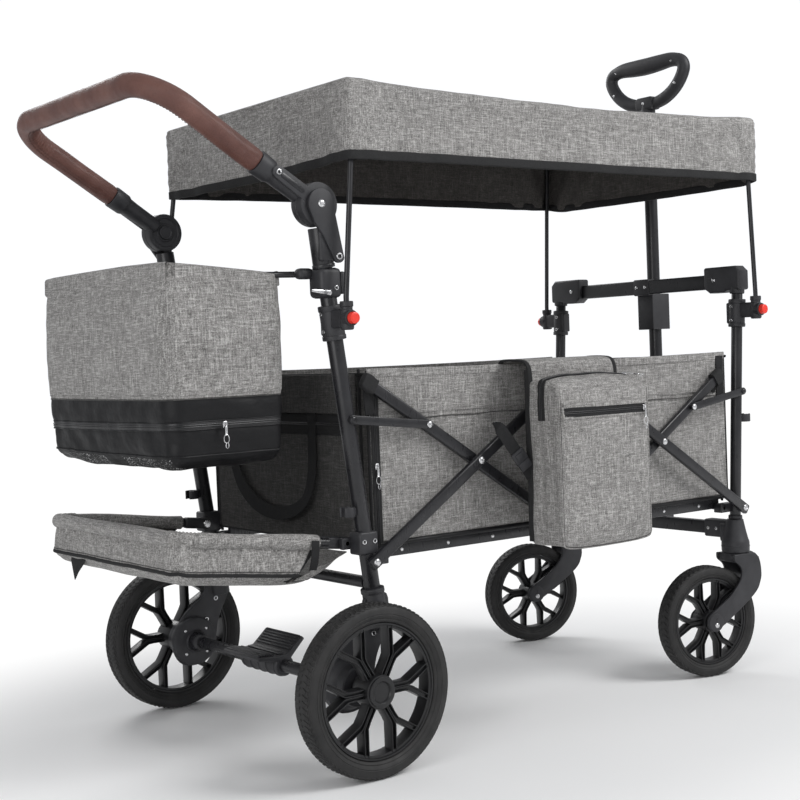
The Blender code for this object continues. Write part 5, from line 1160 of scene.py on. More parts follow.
def strap_link(side, post_end, bar_end):
    """A flat steel strap with round ends; a spacer holds it on the inner bar."""
    start, end = vec(post_end[0], 0, post_end[1]), vec(bar_end.x, 0, bar_end.z)
    run = (end - start).length
    slope = atan2(end.z - start.z, end.x - start.x)
    loop = arc((0, 0), 0.0072, pi / 2, 3 * pi / 2, 10) + arc((run, 0), 0.0072, -pi / 2, pi / 2, 10)
    stand = at((start.x, side * (OUTER_LANE + LINK_DEPTH / 2), start.z)) @ spun(-slope, "Y") @ FACING_Y
    parts = [plate(loop, LINK_DEPTH - 0.0006, stand, 0.001, 2)]
    parts += [
        spindle(end.x, end.z, side, INNER_LANE + BAR_DEPTH + RIVET_LIFT, OUTER_LANE + 0.002, 0.0055),
        (rivet((end.x, side * (OUTER_LANE + LINK_DEPTH), end.z), (0, side, 0), 0.006, 0.0022, 0.0008), 2)]
    return parts


for hand, side in SIDES.items():
    make_piece(
        f"post_strap_rear_{hand}", strap_link(side, (rear_x(LINK_Z), LINK_Z), crossings["rear"] + down * 0.125),
        PAINTED, f"link_rear_{hand}", f"rear_link_{hand}")
    make_piece(
        f"post_strap_front_{hand}",
        strap_link(side, (front_x(LINK_Z), LINK_Z), crossings["front"] + up * 0.113), PAINTED,
        f"link_front_{hand}", f"front_link_{hand}")
print("bars rise to", round(TOP_Z, 3))

# %% [markdown]
# The floor is two boards in steel side rails. Each half hinges on the posts and stands up as the
# wagon folds. A rail is an open channel on the real one; here a closed bar with soft edges and two
# board rivets a side reads the same and stays clean when the half turns.

# %% Floor halves
FLOOR_SPANS = {
    "rear": (REAR_FOOT_X + 0.034, MIDDLE_X - 0.032), "front": (FRONT_FOOT_X - 0.034, MIDDLE_X + 0.032)}
for end, (hinge, tip) in FLOOR_SPANS.items():
    away = 1 if tip > hinge else -1
    low, high = sorted((hinge + away * 0.014, tip))
    parts = [(block((low, -RAIL_Y - 0.001, 0.342), (high, RAIL_Y + 0.001, 0.348), 0.0012), 1)]
    for side in (-1, 1):
        spans = sorted((hinge - away * 0.009, tip))
        parts.append(lug(side, RAIL_Y, RAIL_Y + 0.01, spans, (0.331, 0.351), 0.0022))
        for k in range(4):
            x = low + (high - low) * (0.1 + 0.8 * k / 3)
            parts.append((rivet((x, side * (RAIL_Y + 0.0098), 0.341), (0, side, 0), 0.0036, 0.0014), 2))
    for k in range(3):
        x = low + (high - low) * (0.12 + 0.38 * k)
        parts.append(block((x - 0.009, -RAIL_Y, 0.333), (x + 0.009, RAIL_Y, 0.3425), 0.0015))
    make_piece(
        f"floor_half_{end}", parts, [BLACK_PAINT, GREY_BOARD, STEEL], f"floor_{end}_half",
        f"floor_{end}")
print("floor hinges at x", [round(span[0], 3) for span in FLOOR_SPANS.values()])

# %% [markdown]
# The front frame is two round posts, a flat top bar in two moulded corner brackets, and a low beam
# that ends in the caster housings. The brackets are boxes with large radii and a lower edge that
# steps down round the post.

# %% Front posts, top bar and lower beam
for hand, side in SIDES.items():
    parts = [
        on_post(front_x, side, 0.3095, 0.7815, FRONT_TUBE),
        (on_post(front_x, side, 0.3095, 0.3165, 0.0142, 0.0136), 1)]
    foot_y, hinge_x = side * POST_Y, FRONT_FOOT_X - 0.034
    parts += [
        lug(side, RAIL_Y + 0.0105, POST_Y, (hinge_x - 0.009, FRONT_FOOT_X), (FOOT_Z - 0.009, FOOT_Z + 0.009)),
        rod((hinge_x, foot_y, FOOT_Z), (hinge_x, side * (RAIL_Y - 0.002), FOOT_Z), 0.004)]
    parts += pin_of(FRONT_FOOT_X, FOOT_Z, side, POST_Y, bar_face)
    parts.append(rod(
        (FRONT_FOOT_X, foot_y, FOOT_Z), (FRONT_FOOT_X, side * (OUTER_LANE - 0.0004), FOOT_Z), 0.0085))
    link_x, link_face = front_x(LINK_Z), OUTER_LANE + LINK_DEPTH + RIVET_LIFT
    parts += [
        rod((link_x, foot_y, LINK_Z), (link_x, side * (OUTER_LANE - 0.0004), LINK_Z), 0.0064),
        rod((link_x, foot_y, LINK_Z), (link_x, side * link_face, LINK_Z), 0.0038)]
    parts.append(rivet((link_x, side * link_face, LINK_Z), (0, side, 0), 0.0058, 0.0022, 0.0012))
    parts += c_clip(front_x(0.512) + 0.01, 0.512, side, 1)
    make_piece(f"front_upright_{hand}", parts, PAINTED, "front_frame", f"front_post_{hand}")

top_x, PULL_X, PULL_Z = front_x(0.79), 0.612, 0.3
parts = [block((top_x - 0.006, -0.236, 0.776), (top_x + 0.006, 0.236, 0.806), 0.0028, 3)]
for side in (-1, 1):
    bracket = mm("182 820.5, 262 820.5, 273.5 810, 273.5 771.5, 240.5 771.5, 234.5 767.5, 196 767.5, 182 777")
    outline = [(side * p, q) for p, q in bracket]
    if side < 0:
        outline.reverse()
    stand = at((top_x + 0.0005, 0, 0)) @ FACING_X
    parts += [
        (plate(outline, 0.032, stand, 0.0045, 4), 1),
        (on_post(front_x, side, 0.764, 0.786, 0.0146, 0.015, 0.0014), 1)]
    for away in (-1, 1):
        parts.append((rivet(
            (top_x + 0.0005 + away * 0.0158, side * 0.208, 0.794), (away, 0, 0), 0.0046, 0.0018, 0.0014), 2))
keeper = mm("4 22, 4 -22, 56 -22, 60 -18.5, 60 -14, 47.5 -14")
keeper += arc((PULL_X - top_x, 0), 0.0141, radians(-90), radians(-270), 20)
keeper += mm("47.5 14, 60 14, 60 18.5, 56 22")
parts += [
    (plate(keeper, 0.077, at((top_x, 0, 0.7385)), 0.0016, 3), 1),
    (block((top_x - 0.0085, -0.022, 0.7735), (top_x + 0.013, 0.022, 0.8085), 0.003, 3), 1)]
for y in (-0.0125, 0.0125):
    parts.append((rivet((top_x - 0.0086, y, 0.791), (-1, 0, 0), 0.004, 0.0016, 0.0012), 2))
make_piece("front_top_rail", parts, PAINTED, "front_frame", "front_top_bar")

parts = [block((SWIVEL_X - 0.009, -0.235, 0.275), (SWIVEL_X + 0.009, 0.235, 0.301), 0.003, 3)]
for side in (-1, 1):
    housing = mm(
        "0 308.7, 15 308.7, 17.2 307.6, 18.6 300, 22.2 283, 25.8 268.5, 27.2 265.5, 28 261.5, 28 246.5, "
        "27.2 243, 26.2 242.5, 8.6 242.5, 8.6 274.5, 0 274.5")
    parts += [
        (lathe(housing, at((SWIVEL_X, side * POST_Y, 0)), 56), 1),
        (lathe(
            mm("27.6 256, 28.6 255.4, 28.6 253.4, 27.6 252.8"), at((SWIVEL_X, side * POST_Y, 0)), 56, True), 1),
        (lug(side, 0.186, 0.246, (SWIVEL_X - 0.0125, SWIVEL_X + 0.0125), (0.2695, 0.3055), 0.004), 1),
        (lug(side, 0.228, 0.252, (SWIVEL_X - 0.0155, SWIVEL_X + 0.0155), (0.262, 0.3), 0.005), 1)]
    for y in (0.197, 0.218):
        for away in (-1, 1):
            parts.append((rivet(
                (SWIVEL_X + away * 0.0124, side * y, 0.2875), (away, 0, 0), 0.0034, 0.001, 0.0012), 2))
    parts += [
        (lug(side, 0.0195, 0.0255, (SWIVEL_X, 0.625), (0.287, 0.313), 0.0025), 1),
        (rivet((PULL_X, side * 0.0255, PULL_Z), (0, side, 0), 0.0062, 0.0022, 0.0008), 2)]
parts.append(rod((PULL_X, -0.0225, PULL_Z), (PULL_X, 0.0225, PULL_Z), 0.005))
make_piece("front_beam", parts, PAINTED, "front_frame", "front_lower_beam")
print("front frame at x", round(top_x, 3))

# %% [markdown]
# # Roof poles
# A thin pole bends over the wagon at each end. Its feet stand in cups that are clamped to the posts,
# and a red button in each clamp lets the pole go. The clamp has two halves with screws, and a short
# barrel that the button sits in.

# %% Pole hoops, clamps and buttons
CANOPY_REAR, CANOPY_FRONT, CANOPY_TOP, CANOPY_LOW, CANOPY_Y = -0.41, 0.6, 1.114, 0.984, 0.303
POLE, POLE_FOOT_Y, POLE_TOP_Y, CUP_TOP, BUTTON_Z = 0.0045, 0.304, 0.289, 0.757, 0.73
ROOF_POLES = {
    "rear": (rear_x, REAR_TUBE, CANOPY_REAR + 0.024, "rear_frame"),
    "front": (front_x, FRONT_TUBE, CANOPY_FRONT - 0.022, "front_frame")}
pole_z = CANOPY_TOP - 0.003 - 0.0003 - POLE
for end, (post_x, post_radius, top, carrier) in ROOF_POLES.items():
    foot = post_x(0.751)
    bend = 0.022
    half = [
        vec(foot, -POLE_FOOT_Y, 0.722), vec(foot, -POLE_FOOT_Y, 0.764), vec(top, -POLE_TOP_Y, pole_z - bend)]
    half += [
        vec(top, -POLE_TOP_Y + bend * (1 - cos(a)), pole_z - bend + bend * sin(a))
        for a in [k * pi / 16 for k in range(1, 9)]]
    route = half + [vec(p.x, -p.y, p.z) for p in reversed(half)]
    make_piece(
        f"roof_pole_{end}", [tube(route, POLE, 20, (1, 0, 0))], [BLACK_PAINT], f"canopy_{end}",
        f"canopy_hoop_{end}")
    for hand, side in SIDES.items():
        y = side * POLE_FOOT_Y
        parts = [
            on_post(post_x, side, 0.698, 0.751, post_radius + 0.005, soft=0.0014),
            on_post(post_x, side, 0.7435, 0.7525, post_radius + 0.0062, soft=0.0012),
            on_post(post_x, side, 0.697, 0.7045, post_radius + 0.006, soft=0.0012)]
        parts.append(lug(
            side, POST_Y + 0.004, POLE_FOOT_Y - 0.002, (foot - 0.0085, foot + 0.0085), (0.715, 0.745), 0.0035))
        cup = [
            (0.0052, CUP_TOP), (0.0098, CUP_TOP), (0.0108, CUP_TOP - 0.001), (0.0108, 0.749), (0.0096, 0.7478),
            (0.0094, 0.744), (0.0106, 0.7425), (0.0108, 0.715), (0.01, 0.7125), (0.008, 0.7115), (0, 0.7115),
            (0, 0.721), (0.0052, 0.7215)]
        parts.append(lathe(cup, at((foot, y, 0)), 32))
        look = at((foot, y, BUTTON_Z)) @ spun(FACE_OUT[side], "X")
        barrel = mm("10 14.6, 11.8 14.6, 12.6 13.8, 12.8 4, 12 0, 0 0, 0 7.6, 10 7.6")
        parts.append(lathe(barrel, look, 40))
        for z in (0.71, 0.738):
            spot = vec(post_x(z) - post_radius - 0.0042, side * (POST_Y - 0.002), z)
            parts += screw(spot, (-1, 0, 0), 0.0036)
        ear = sorted((side * (POST_Y - 0.02), side * (POST_Y - 0.01)))
        parts.append(block(
            (post_x(0.725) - 0.01, ear[0], 0.704), (post_x(0.725) + 0.01, ear[1], 0.746), 0.003, 3))
        make_piece(
            f"pole_clamp_{end}_{hand}", parts, [BLACK_PLASTIC, STEEL], carrier,
            f"canopy_socket_{end}_{hand}")
        push = at((foot, side * (POLE_FOOT_Y + 0.0115), BUTTON_Z)) @ spun(FACE_OUT[side], "X")
        cap = mm("0 2.6, 9.4 2.6, 9.4 9.5, 8.8 11.2, 7.4 11.9, 5 12, 0 11.7")
        make_piece(
            f"red_button_{end}_{hand}", [lathe(cap, push, 40)], [RED_PLASTIC], f"release_{end}_{hand}",
            f"canopy_button_{end}_{hand}")
print("poles meet the roof at z", round(pole_z, 3))

# %% [markdown]
# # Pull handle
# A steel tube is hinged on the beam, and a rod with a loop grip slides in it. The loop is one closed
# path. Its section swells along the top, where the hand goes, and it is pinched where the two
# moulded halves meet at the stem, so the section gets a size at each point.

# %% Pull tube and loop grip
shaft = mm("13.5 1112, 13.5 346, 10.5 346, 10.5 1112")
parts = [
    lathe(shaft, at((PULL_X, 0, 0)), 40, True),
    (lathe(
        mm("10.5 1109.5, 13.5 1109.5, 14.1 1108.5, 14.1 1094, 13.5 1092.5, 13.2 1092.5, 13.2 1100, 10.5 1100"),
        at((PULL_X, 0, 0)), 40, True), 1)]
parts += [
    (rod((PULL_X, -0.0185, PULL_Z), (PULL_X, 0.0185, PULL_Z), 0.0128, soft=0.0015), 1),
    (rod((PULL_X, 0, 0.302), (PULL_X, 0, 0.356), 0.0128, 0.0142, 40, 0.0015), 1)]
make_piece("pull_shaft_tube", parts, PAINTED, "pull_shaft", "pull_tube")

half_loop = mm(
    "0 1188, -30 1189.5, -58 1198.5, -82 1214.5, -99 1235, -105 1253, -96.5 1266.5, -70 1272.5, -35 1271.5, "
    "0 1270.5")
shape_points = [vec(PULL_X, y, z) for y, z in half_loop] + [
    vec(PULL_X, -y, z) for y, z in reversed(half_loop[1:-1])]
route = smooth_path(shape_points, 7, True)
sizes = []
for p in route:
    top_share = max(0.0, min(1.0, (p.z - 1.258) / 0.01)) * max(0.0, 1 - (abs(p.y) / 0.085) ** 2)
    sizes.append(1.04 + 0.32 * top_share - 0.12 * max(0.0, 1 - abs(p.y) / 0.05) * (p.z < 1.22))
loop = sweep(route, [(a * 0.0125, b * 0.0132) for a, b in circle(1, 32)], (1, 0, 0), sizes, True)
parts = [loop]
rim = [(a * 0.0005, b * 0.0136) for a, b in circle(1, 24)]
parts += [
    sweep(route, rim, (1, 0, 0), sizes, True),
    rod((PULL_X, 0, 1.1135), (PULL_X, 0, 1.186), 0.015, 0.0158, 40, 0.002)]
collar = mm("-21.5 1176, 21.5 1176, 24.5 1184, 23.5 1198, 18 1203, -18 1203, -23.5 1198, -24.5 1184")
stand = at((PULL_X, 0, 0)) @ FACING_X
parts.append(plate(collar, 0.0305, stand, 0.004, 3))
for y, z in ((-0.088, 1.22), (-0.08, 1.269), (0.08, 1.269), (0.088, 1.22), (0.0, 1.189)):
    for away in (-1, 1):
        depth = 0.0153 if y == 0 else 0.012
        parts.append((rivet((PULL_X + away * depth, y, z), (away, 0, 0), 0.0036, 0.0012, 0.0014), 1))
parts.append((rod((PULL_X, 0, 0.7), (PULL_X, 0, 1.114), 0.01), 2))
make_piece("pull_loop", parts, [BLACK_PLASTIC, STEEL, BLACK_PAINT], "pull_slide", "pull_grip")

# %% [markdown]
# # Cloth
# The roof, the bags and the tray are sewn shells. Each starts as a box of fine squares with some
# sides left open. Its corners are rounded, and then every point is moved as the cloth hangs: it sags
# between what holds it, pulls in along free edges and creases. A simulation could hang it too, but
# these shells are held all round by poles and hems, so their shape is known, and a formula keeps the
# free edges where the bindings are sewn.

# %% Helpers for sewn shells
def cloth_box(counts, opened):
    """A unit box of fine squares, from -1 to 1, without its open sides."""
    shape = bmesh.new()
    bmesh.ops.create_cube(shape, size=2)
    gone = [face for face in shape.faces if any(face.normal.dot(Vector(side)) > 0.9 for side in opened)]
    bmesh.ops.delete(shape, geom=gone, context="FACES_ONLY")
    for axis, count in enumerate(counts):
        along = [edge for edge in shape.edges if abs((edge.verts[0].co - edge.verts[1].co)[axis]) > 0.5]
        bmesh.ops.subdivide_edges(shape, edges=along, cuts=count - 1, use_grid_fill=True)
    return shape


def eased(t):
    """Squares grow finer towards the edges of the box."""
    return t * (1.22 - 0.22 * t * t)


def rounded_place(unit, low, high, radius, opened):
    """The place of a unit point on the box with round edges, and the way out of the cloth there."""
    centre, half = (low + high) / 2, (high - low) / 2
    place = Vector(centre[k] + half[k] * eased(unit[k]) for k in range(3))
    inner = Vector(min(max(place[k], low[k] + radius), high[k] - radius) for k in range(3))
    for side in opened:
        for k in range(3):
            if side[k] and (place[k] - centre[k]) * side[k] > 0:
                inner[k] = place[k]
    out = place - inner
    if out.length < 1e-7:
        return place, vec(0, 0, 1)
    out.normalize()
    return inner + out * radius, out


def crease(place, size, depth, seed=0.0):
    """A soft random swell, size metres long."""
    return depth * noise.noise(place / size + vec(seed, seed * 0.7, 3.1))


def walk_of(point_of, units, stand_off, spacing):
    """A line that stands off from a shell at unit points, with the way out of the cloth at each."""
    walked, outs = [], []
    for unit in units:
        place, out = point_of(unit)
        spot = place + out * stand_off
        if not walked or (spot - walked[-1]).length >= spacing:
            walked.append(spot)
            outs.append(out.copy())
    return walked, outs


def cloth_area(shape):
    return sum(face.calc_area() for face in shape.faces)


def thick_cloth(shape, thickness, lining=0, edge=0):
    """Give a sheet its thickness inwards; lining and edge are steps on from the outer finish."""
    mesh = bpy.data.meshes.new("sheet")
    shape.to_mesh(mesh)
    shape.free()
    while len(mesh.materials) < 4:
        mesh.materials.append(None)
    stand = bpy.data.objects.new("sheet", mesh)
    scene.collection.objects.link(stand)
    solid = stand.modifiers.new("thickness", "SOLIDIFY")
    solid.thickness = thickness
    solid.offset = -1
    solid.use_even_offset = False
    solid.material_offset = lining
    solid.material_offset_rim = edge
    made = bpy.data.meshes.new_from_object(stand.evaluated_get(bpy.context.evaluated_depsgraph_get()))
    thick = bmesh.new()
    thick.from_mesh(made)
    bpy.data.objects.remove(stand)
    return thick, None


def fold_flat(piece):
    """Give the piece its own copy of its mesh."""
    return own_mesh(piece)


print("the last tenth of a shell's squares covers", round(eased(1) - eased(0.9), 3))

# %% [markdown]
# # Roof
# The roof is one continuous sheet, stretched over the two poles, with skirts that hang 13 cm. Between
# the poles its long edges sag a few millimetres and its skirts pull in. A black binding is folded
# over the lower edge, and a dark lining faces down.

# %% The roof sheet
ROOF_LOW, ROOF_HIGH = vec(CANOPY_REAR, -CANOPY_Y, CANOPY_LOW), vec(CANOPY_FRONT, CANOPY_Y, CANOPY_TOP)
BELOW = [(0, 0, -1)]


def roof_place(unit):
    """Where a point of the unit box lies on the hung roof."""
    place, out = rounded_place(unit, ROOF_LOW, ROOF_HIGH, 0.013, BELOW)
    across, beside, drop = unit.x, unit.y, (1 - unit.z) / 2
    edge_x, edge_y = max(0.0, (abs(across) - 0.8) / 0.2), max(0.0, (abs(beside) - 0.8) / 0.2)
    held = max(0.0, 1 - (across / 0.86) ** 2)
    slack = min(1.0, 3.0 * drop)
    place.z -= (0.0075 + 0.0025 * beside * beside) * held * (1 - drop)
    place.y -= 0.0085 * (1 - across ** 2) * slack * edge_y * (1 if beside > 0 else -1)
    place.x -= 0.0095 * (1 - beside ** 2) * slack * edge_x * (1 if across > 0 else -1)
    place.z += (0.0045 * (1 - across ** 2) + 0.0065 * max(0.0, across) ** 2) * drop ** 2 * edge_y
    place.z -= 0.003 * (1 - beside ** 2) * drop ** 2 * edge_x
    free = held ** 0.5 if drop < 0.05 else 1.0
    swell = crease(place, 0.13, 0.006, 1) + crease(place, 0.045, 0.0018, 2)
    corner_gap = hypot((1 - abs(across)) * 0.5, (1 - abs(beside)) * 0.3)
    if drop > 0.02:
        drag = sin(2 * pi * (corner_gap * 0.75 + drop * 0.085 + 0.02 * noise.noise(place * 9)) / 0.062)
        swell += 0.0036 * drag * max(0.0, 1 - corner_gap / 0.32) * min(1, drop * 5) * min(1, corner_gap / 0.05)
        seam = max(0.0, 1 - corner_gap / 0.028)
        swell -= 0.0016 * seam * (0.5 + 0.5 * sin(2 * pi * (
            drop * 0.13 / 0.021 + 0.6 * noise.noise(place * 40))))
    else:
        swell = swell * 0.6 - 0.0012
    return place + out * (swell - 0.0006) * free


roof = cloth_box((112, 66, 15), BELOW)
for vert in roof.verts:
    vert.co = roof_place(vert.co.copy())
roof_area = cloth_area(roof)
roof_sheet = make_piece(
    "roof_cloth", [thick_cloth(roof, 0.0022, 1, 2)], [LINEN, LINING, BINDING], "canopy_rear",
    "canopy_roof", radians(60))
fold_flat(roof_sheet)
print("roof cloth", round(roof_area, 3), "square metres")


# %% Binding along the roof's lower edge
def edge_walk(count):
    """Unit points round the open lower edge."""
    steps = [-1 + 2 * k / count for k in range(count)]
    right, front = [vec(t, -1, -1) for t in steps], [vec(1, t, -1) for t in steps]
    return right + front + [vec(-t, 1, -1) for t in steps] + [vec(-1, -t, -1) for t in steps]


edge = [roof_place(unit) for unit in edge_walk(90)]
line = [p + vec(0, 0, 0.005) for k, p in enumerate(edge) if (p - edge[k - 1]).length > 0.0008]
SMOOTHING_ROUNDS = 8
for smoothing in range(SMOOTHING_ROUNDS):
    heights = [(line[k - 1].z + p.z * 2 + line[(k + 1) % len(line)].z) / 4 for k, p in enumerate(line)]
    line = [vec(p.x, p.y, height) for p, height in zip(line, heights)]
roof_edge = make_piece(
    "roof_binding", [sweep(line, rounded(0.015, 0.0064, 0.002, 3), (0, 0, 1), None, True)], [BINDING],
    "canopy_rear")
fold_flat(roof_edge)
print("roof binding has", len(line), "stops")

# %% [markdown]
# # Basket
# The basket's two side walls and its floor are one sheet, bent to a U. The stiff panels close its
# ends. The walls are stitched to the folding bars only near their tops, so they hang with shallow
# inward swells. Trim is kept apart: hems, a black band inside the rim, glossy piping above the rail,
# a seam with a charcoal line below it that is painted shadow, and a zip up each rear corner. The
# floor boards swing up through a slot at each end of the cloth when the wagon folds, and the loose
# mat stops short of both slots.

# %% The basket sheet
BASKET_REAR, BASKET_FRONT, BASKET_Y, BASKET_TOP, BASKET_FLOOR = -0.3541, 0.536, 0.252, 0.645, 0.3515
SLOT_Y, SLOT_REAR, SLOT_FRONT = 0.2395, 0.072, 0.073


def basket_section(s, drop):
    """The U of the basket at s from -1 to 1: place, and the way out."""
    wall, floor, bend = BASKET_TOP - drop - BASKET_FLOOR, BASKET_Y, 0.016
    run = (wall + floor) * abs(s)
    side = 1 if s > 0 else -1
    if run < floor - bend:
        return vec(0, side * run, BASKET_FLOOR), vec(0, 0, -1)
    turn = (run - floor + bend) / (2 * bend)
    if turn < 1:
        a = turn * pi / 2
        corner = vec(0, side * (floor - bend + bend * sin(a)), BASKET_FLOOR + bend * (1 - cos(a)))
        return corner, vec(0, side * sin(a), -cos(a))
    return vec(0, side * floor, BASKET_FLOOR + bend + (run - floor - bend)), vec(0, side, 0)


trough = bmesh.new()
bmesh.ops.create_grid(trough, x_segments=120, y_segments=150, size=1)
for vert in trough.verts:
    t, s = vert.co.x, vert.co.y
    place, out = basket_section(s, 0.0035 * (1 - t * t))
    place.x = (BASKET_REAR + BASKET_FRONT) / 2 + t * (BASKET_FRONT - BASKET_REAR) / 2
    wall_share = min(1.0, abs(out.y))
    high = max(0.0, (place.z - BASKET_FLOOR) / (BASKET_TOP - BASKET_FLOOR))
    free = max(0.0, 1 - t ** 8) * max(0.0, 1 - max(0.0, high - 0.86) / 0.14) * min(1.0, high * 6)
    swell = 0.0048 * (0.5 + noise.noise(place * 7 + vec(4, 0, 0))) + 0.0016 * (0.5 + noise.noise(place * 24))
    wave = sin(2 * pi * (place.x * 0.55 + place.z) / 0.048 + 2.5 * noise.noise(place * 5))
    pull = 0.0016 * (0.5 + 0.5 * wave) * max(0.0, 1 - high * 1.6)
    vert.co = place - out * (max(0.0, swell) + pull) * free * wall_share
slots = []
for face in trough.faces:
    spot = face.calc_center_median()
    on_floor = abs(spot.y) < SLOT_Y and spot.z < BASKET_FLOOR + 0.004
    if on_floor and not BASKET_REAR + SLOT_REAR < spot.x < BASKET_FRONT - SLOT_FRONT:
        slots.append(face)
bmesh.ops.delete(trough, geom=slots, context="FACES")
bmesh.ops.recalc_face_normals(trough, faces=trough.faces)
trough.faces.ensure_lookup_table()
wall_face = next(face for face in trough.faces if face.calc_center_median().y < -0.25)
if wall_face.normal.y > 0:
    bmesh.ops.reverse_faces(trough, faces=trough.faces)
basket_area = cloth_area(trough)
basket_sheet = make_piece(
    "basket_cloth", [thick_cloth(trough, 0.0034, 1, 2)], [LINEN, DARK_LINEN, BINDING], "rear_frame",
    "basket", radians(60))
fold_flat(basket_sheet)
print("basket cloth", round(basket_area, 3), "square metres")


# %% Zips and their pulls
def ring_of(centre, facing, radius, wire, stretch=1.0):
    """A small wire ring."""
    turn = looking(facing)
    path = [
        at(centre) @ turn @ vec(radius * cos(a), radius * stretch * sin(a), 0)
        for a in [k * pi / 12 for k in range(24)]]
    return tube(path, wire, 8, facing, True)


def zip_pull(place, out, drop=(0, 0, -1), finish=1):
    """A slider with a bail, a link and two rings that hang down."""
    place, out, drop = Vector(place), Vector(out).normalized(), Vector(drop).normalized()
    across = out.cross(drop)
    stand = at(place) @ axes(across, drop, out)
    slider = [moved(plate(mm("-3.5 -5, 3.5 -5, 4.4 0, 3.2 5.5, -3.2 5.5, -4.4 0"), 0.0024, soft=0.0008), stand)]
    slider.append(
        tube(
            [place + out * 0.001 - drop * 0.003, place + out * 0.0035, place + out * 0.001 + drop * 0.004],
            0.0008, 8, across))
    hang = place + out * 0.0034
    link = plate(rounded(0.0044, 0.015, 0.0018, 3), 0.0012, soft=0.0004)
    slider.append(moved(link, at(hang + drop * 0.01) @ axes(across, drop, out)))
    slider.append(ring_of(hang + drop * 0.0225, out, 0.0046, 0.0008, 1.45))
    slider.append(ring_of(
        hang + drop * 0.033 + across * 0.001, (out + across * 0.5).normalized(), 0.004, 0.0007, 1.1))
    return [(part, finish) for part in slider]


def zip_band(path, up, width, finishes=(0, 2)):
    """Black tape with the double ridge of the coil along its middle."""
    tape = ribbon(path, width, 0.0014, up)
    frames = stations([Vector(p) for p in path], up)
    tape_finish, coil_finish = finishes
    parts = [(tape, tape_finish)]
    for away in (-0.0014, 0.0014):
        parts.append((tube([f @ vec(0.001, away, 0) for f in frames], 0.0011, 10, up), coil_finish))
    for away in (-width * 0.36, width * 0.36):
        parts.append((tube([f @ vec(0.0007, away, 0) for f in frames], 0.0004, 6, up), tape_finish))
    return parts


def straight(start, end, steps=10):
    return [Vector(start).lerp(Vector(end), k / steps) for k in range(steps + 1)]


print("a straight zip line has", len(straight((0, 0, 0), (1, 0, 0))), "stops")

# %% Trim on the basket walls
TRIM = [BINDING, STEEL, ZIP_TEETH, LINEN, NYLON, DARK_LINEN, WEBBING]
trim = []
for side in (-1, 1):
    out = (0, side, 0)
    sag = [(BASKET_REAR + (BASKET_FRONT - BASKET_REAR) * k / 40) for k in range(41)]
    rim = [
        vec(x, side * 0.2502, BASKET_TOP - 0.0045 - 0.0035 * (1 - (2 * k / 40 - 1) ** 2))
        for k, x in enumerate(sag)]
    trim.append((sweep(rim, rounded(0.005, 0.015, 0.0022, 3), out), 3))
    inside = [p + vec(0, -side * 0.004, -0.018) for p in rim]
    trim += [
        (ribbon(inside, 0.022, 0.0016, out), 6),
        (tube([vec(x, side * 0.2505, 0.356) for x in sag], 0.0042, 16, out), 4)]
    # The upper line is the seam's linen ridge; the charcoal line 9.5 mm below it is painted shadow under the
    # seam.
    for z in (0.571, 0.5615):
        wave = [vec(x, side * (0.2524 - 0.0009), z + 0.0006 * sin(x * 60)) for x in sag]
        trim.append((tube(wave, 0.0009, 8, out), 3 if z > 0.57 else 5))
    zip_line = straight(
        (BASKET_REAR + 0.012, side * 0.2528, 0.618), (BASKET_REAR + 0.012, side * 0.2528, 0.352), 12)
    trim += zip_band(zip_line, out, 0.017)
    trim += zip_pull((BASKET_REAR + 0.012, side * 0.2545, 0.486), out)
    trim += [
        (ribbon(straight(
            (BASKET_REAR + 0.001, side * 0.25, 0.64), (BASKET_REAR + 0.001, side * 0.25, 0.352)),
            0.006, 0.0056, out), 0),
        (ribbon(straight(
            (BASKET_FRONT - 0.001, side * 0.25, 0.64), (BASKET_FRONT - 0.001, side * 0.25, 0.352)),
            0.006, 0.0056, out), 0),
        (ribbon(straight(
            (BASKET_FRONT - 0.016, side * 0.253, 0.64), (BASKET_FRONT - 0.016, side * 0.253, 0.56)),
            0.022, 0.0014, out), 6)]
basket_trim = make_piece("basket_trim", trim, TRIM, "rear_frame")
fold_flat(basket_trim)

mat_low, mat_high = vec(BASKET_REAR + SLOT_REAR, -0.24, 0.3555), vec(BASKET_FRONT - SLOT_FRONT, 0.24, 0.364)
mat = cloth_box((80, 44, 2), [])
for vert in mat.verts:
    unit = vert.co.copy()
    place, out = rounded_place(unit, mat_low, mat_high, 0.004, [])
    if unit.z > 0.5:
        channel = min(abs(unit.x - c) for c in (-0.5, 0.0, 0.5))
        place.z += 0.0035 * (1 - unit.x ** 6) * (1 - unit.y ** 6) * min(1.0, channel / 0.07) - 0.001
        place.z += crease(place, 0.05, 0.0007, 7)
    vert.co = place
floor_mat = make_piece("basket_mat", [mat], [DARK_LINEN], "rear_frame", smooth=radians(60))
fold_flat(floor_mat)
print("mat", round((mat_high - mat_low).x, 3), "m long")

# %% [markdown]
# The end panels are boards sewn into charcoal cloth. The rear one has an upper flap, a wide black zip
# band under it and a hanging webbing handle. A panel is a crowned slab: full in the middle, thin at
# its sewn edge, with piping round it.

# %% End panels
def panel_of(x, away, half_width, low_z, high_z):
    """A crowned panel whose cloth face looks out along X."""
    near, far = sorted((x, x + away * 0.005))
    low, high = vec(near, -half_width, low_z), vec(far, half_width, high_z)
    shape = cloth_box((2, 46, 30), [])
    for vert in shape.verts:
        unit = vert.co.copy()
        place, out = rounded_place(unit, low, high, 0.0022, [])
        crown = (1 - unit.y ** 8) * (1 - unit.z ** 8)
        if unit.x * away > 0.5:
            place.x += away * (0.0012 * crown + crease(place, 0.06, 0.0009, 5) * crown)
        vert.co = place
    outline = rounded(2 * half_width - 0.003, high_z - low_z - 0.003, 0.01, 4)
    border = [vec(x + away * 0.0025, y, up + (low_z + high_z) / 2) for y, up in outline]
    fine = smooth_path(border, 2, True)
    return [(shape, 5), (tube(fine, 0.0026, 12, (away, 0, 0), True), 0)]


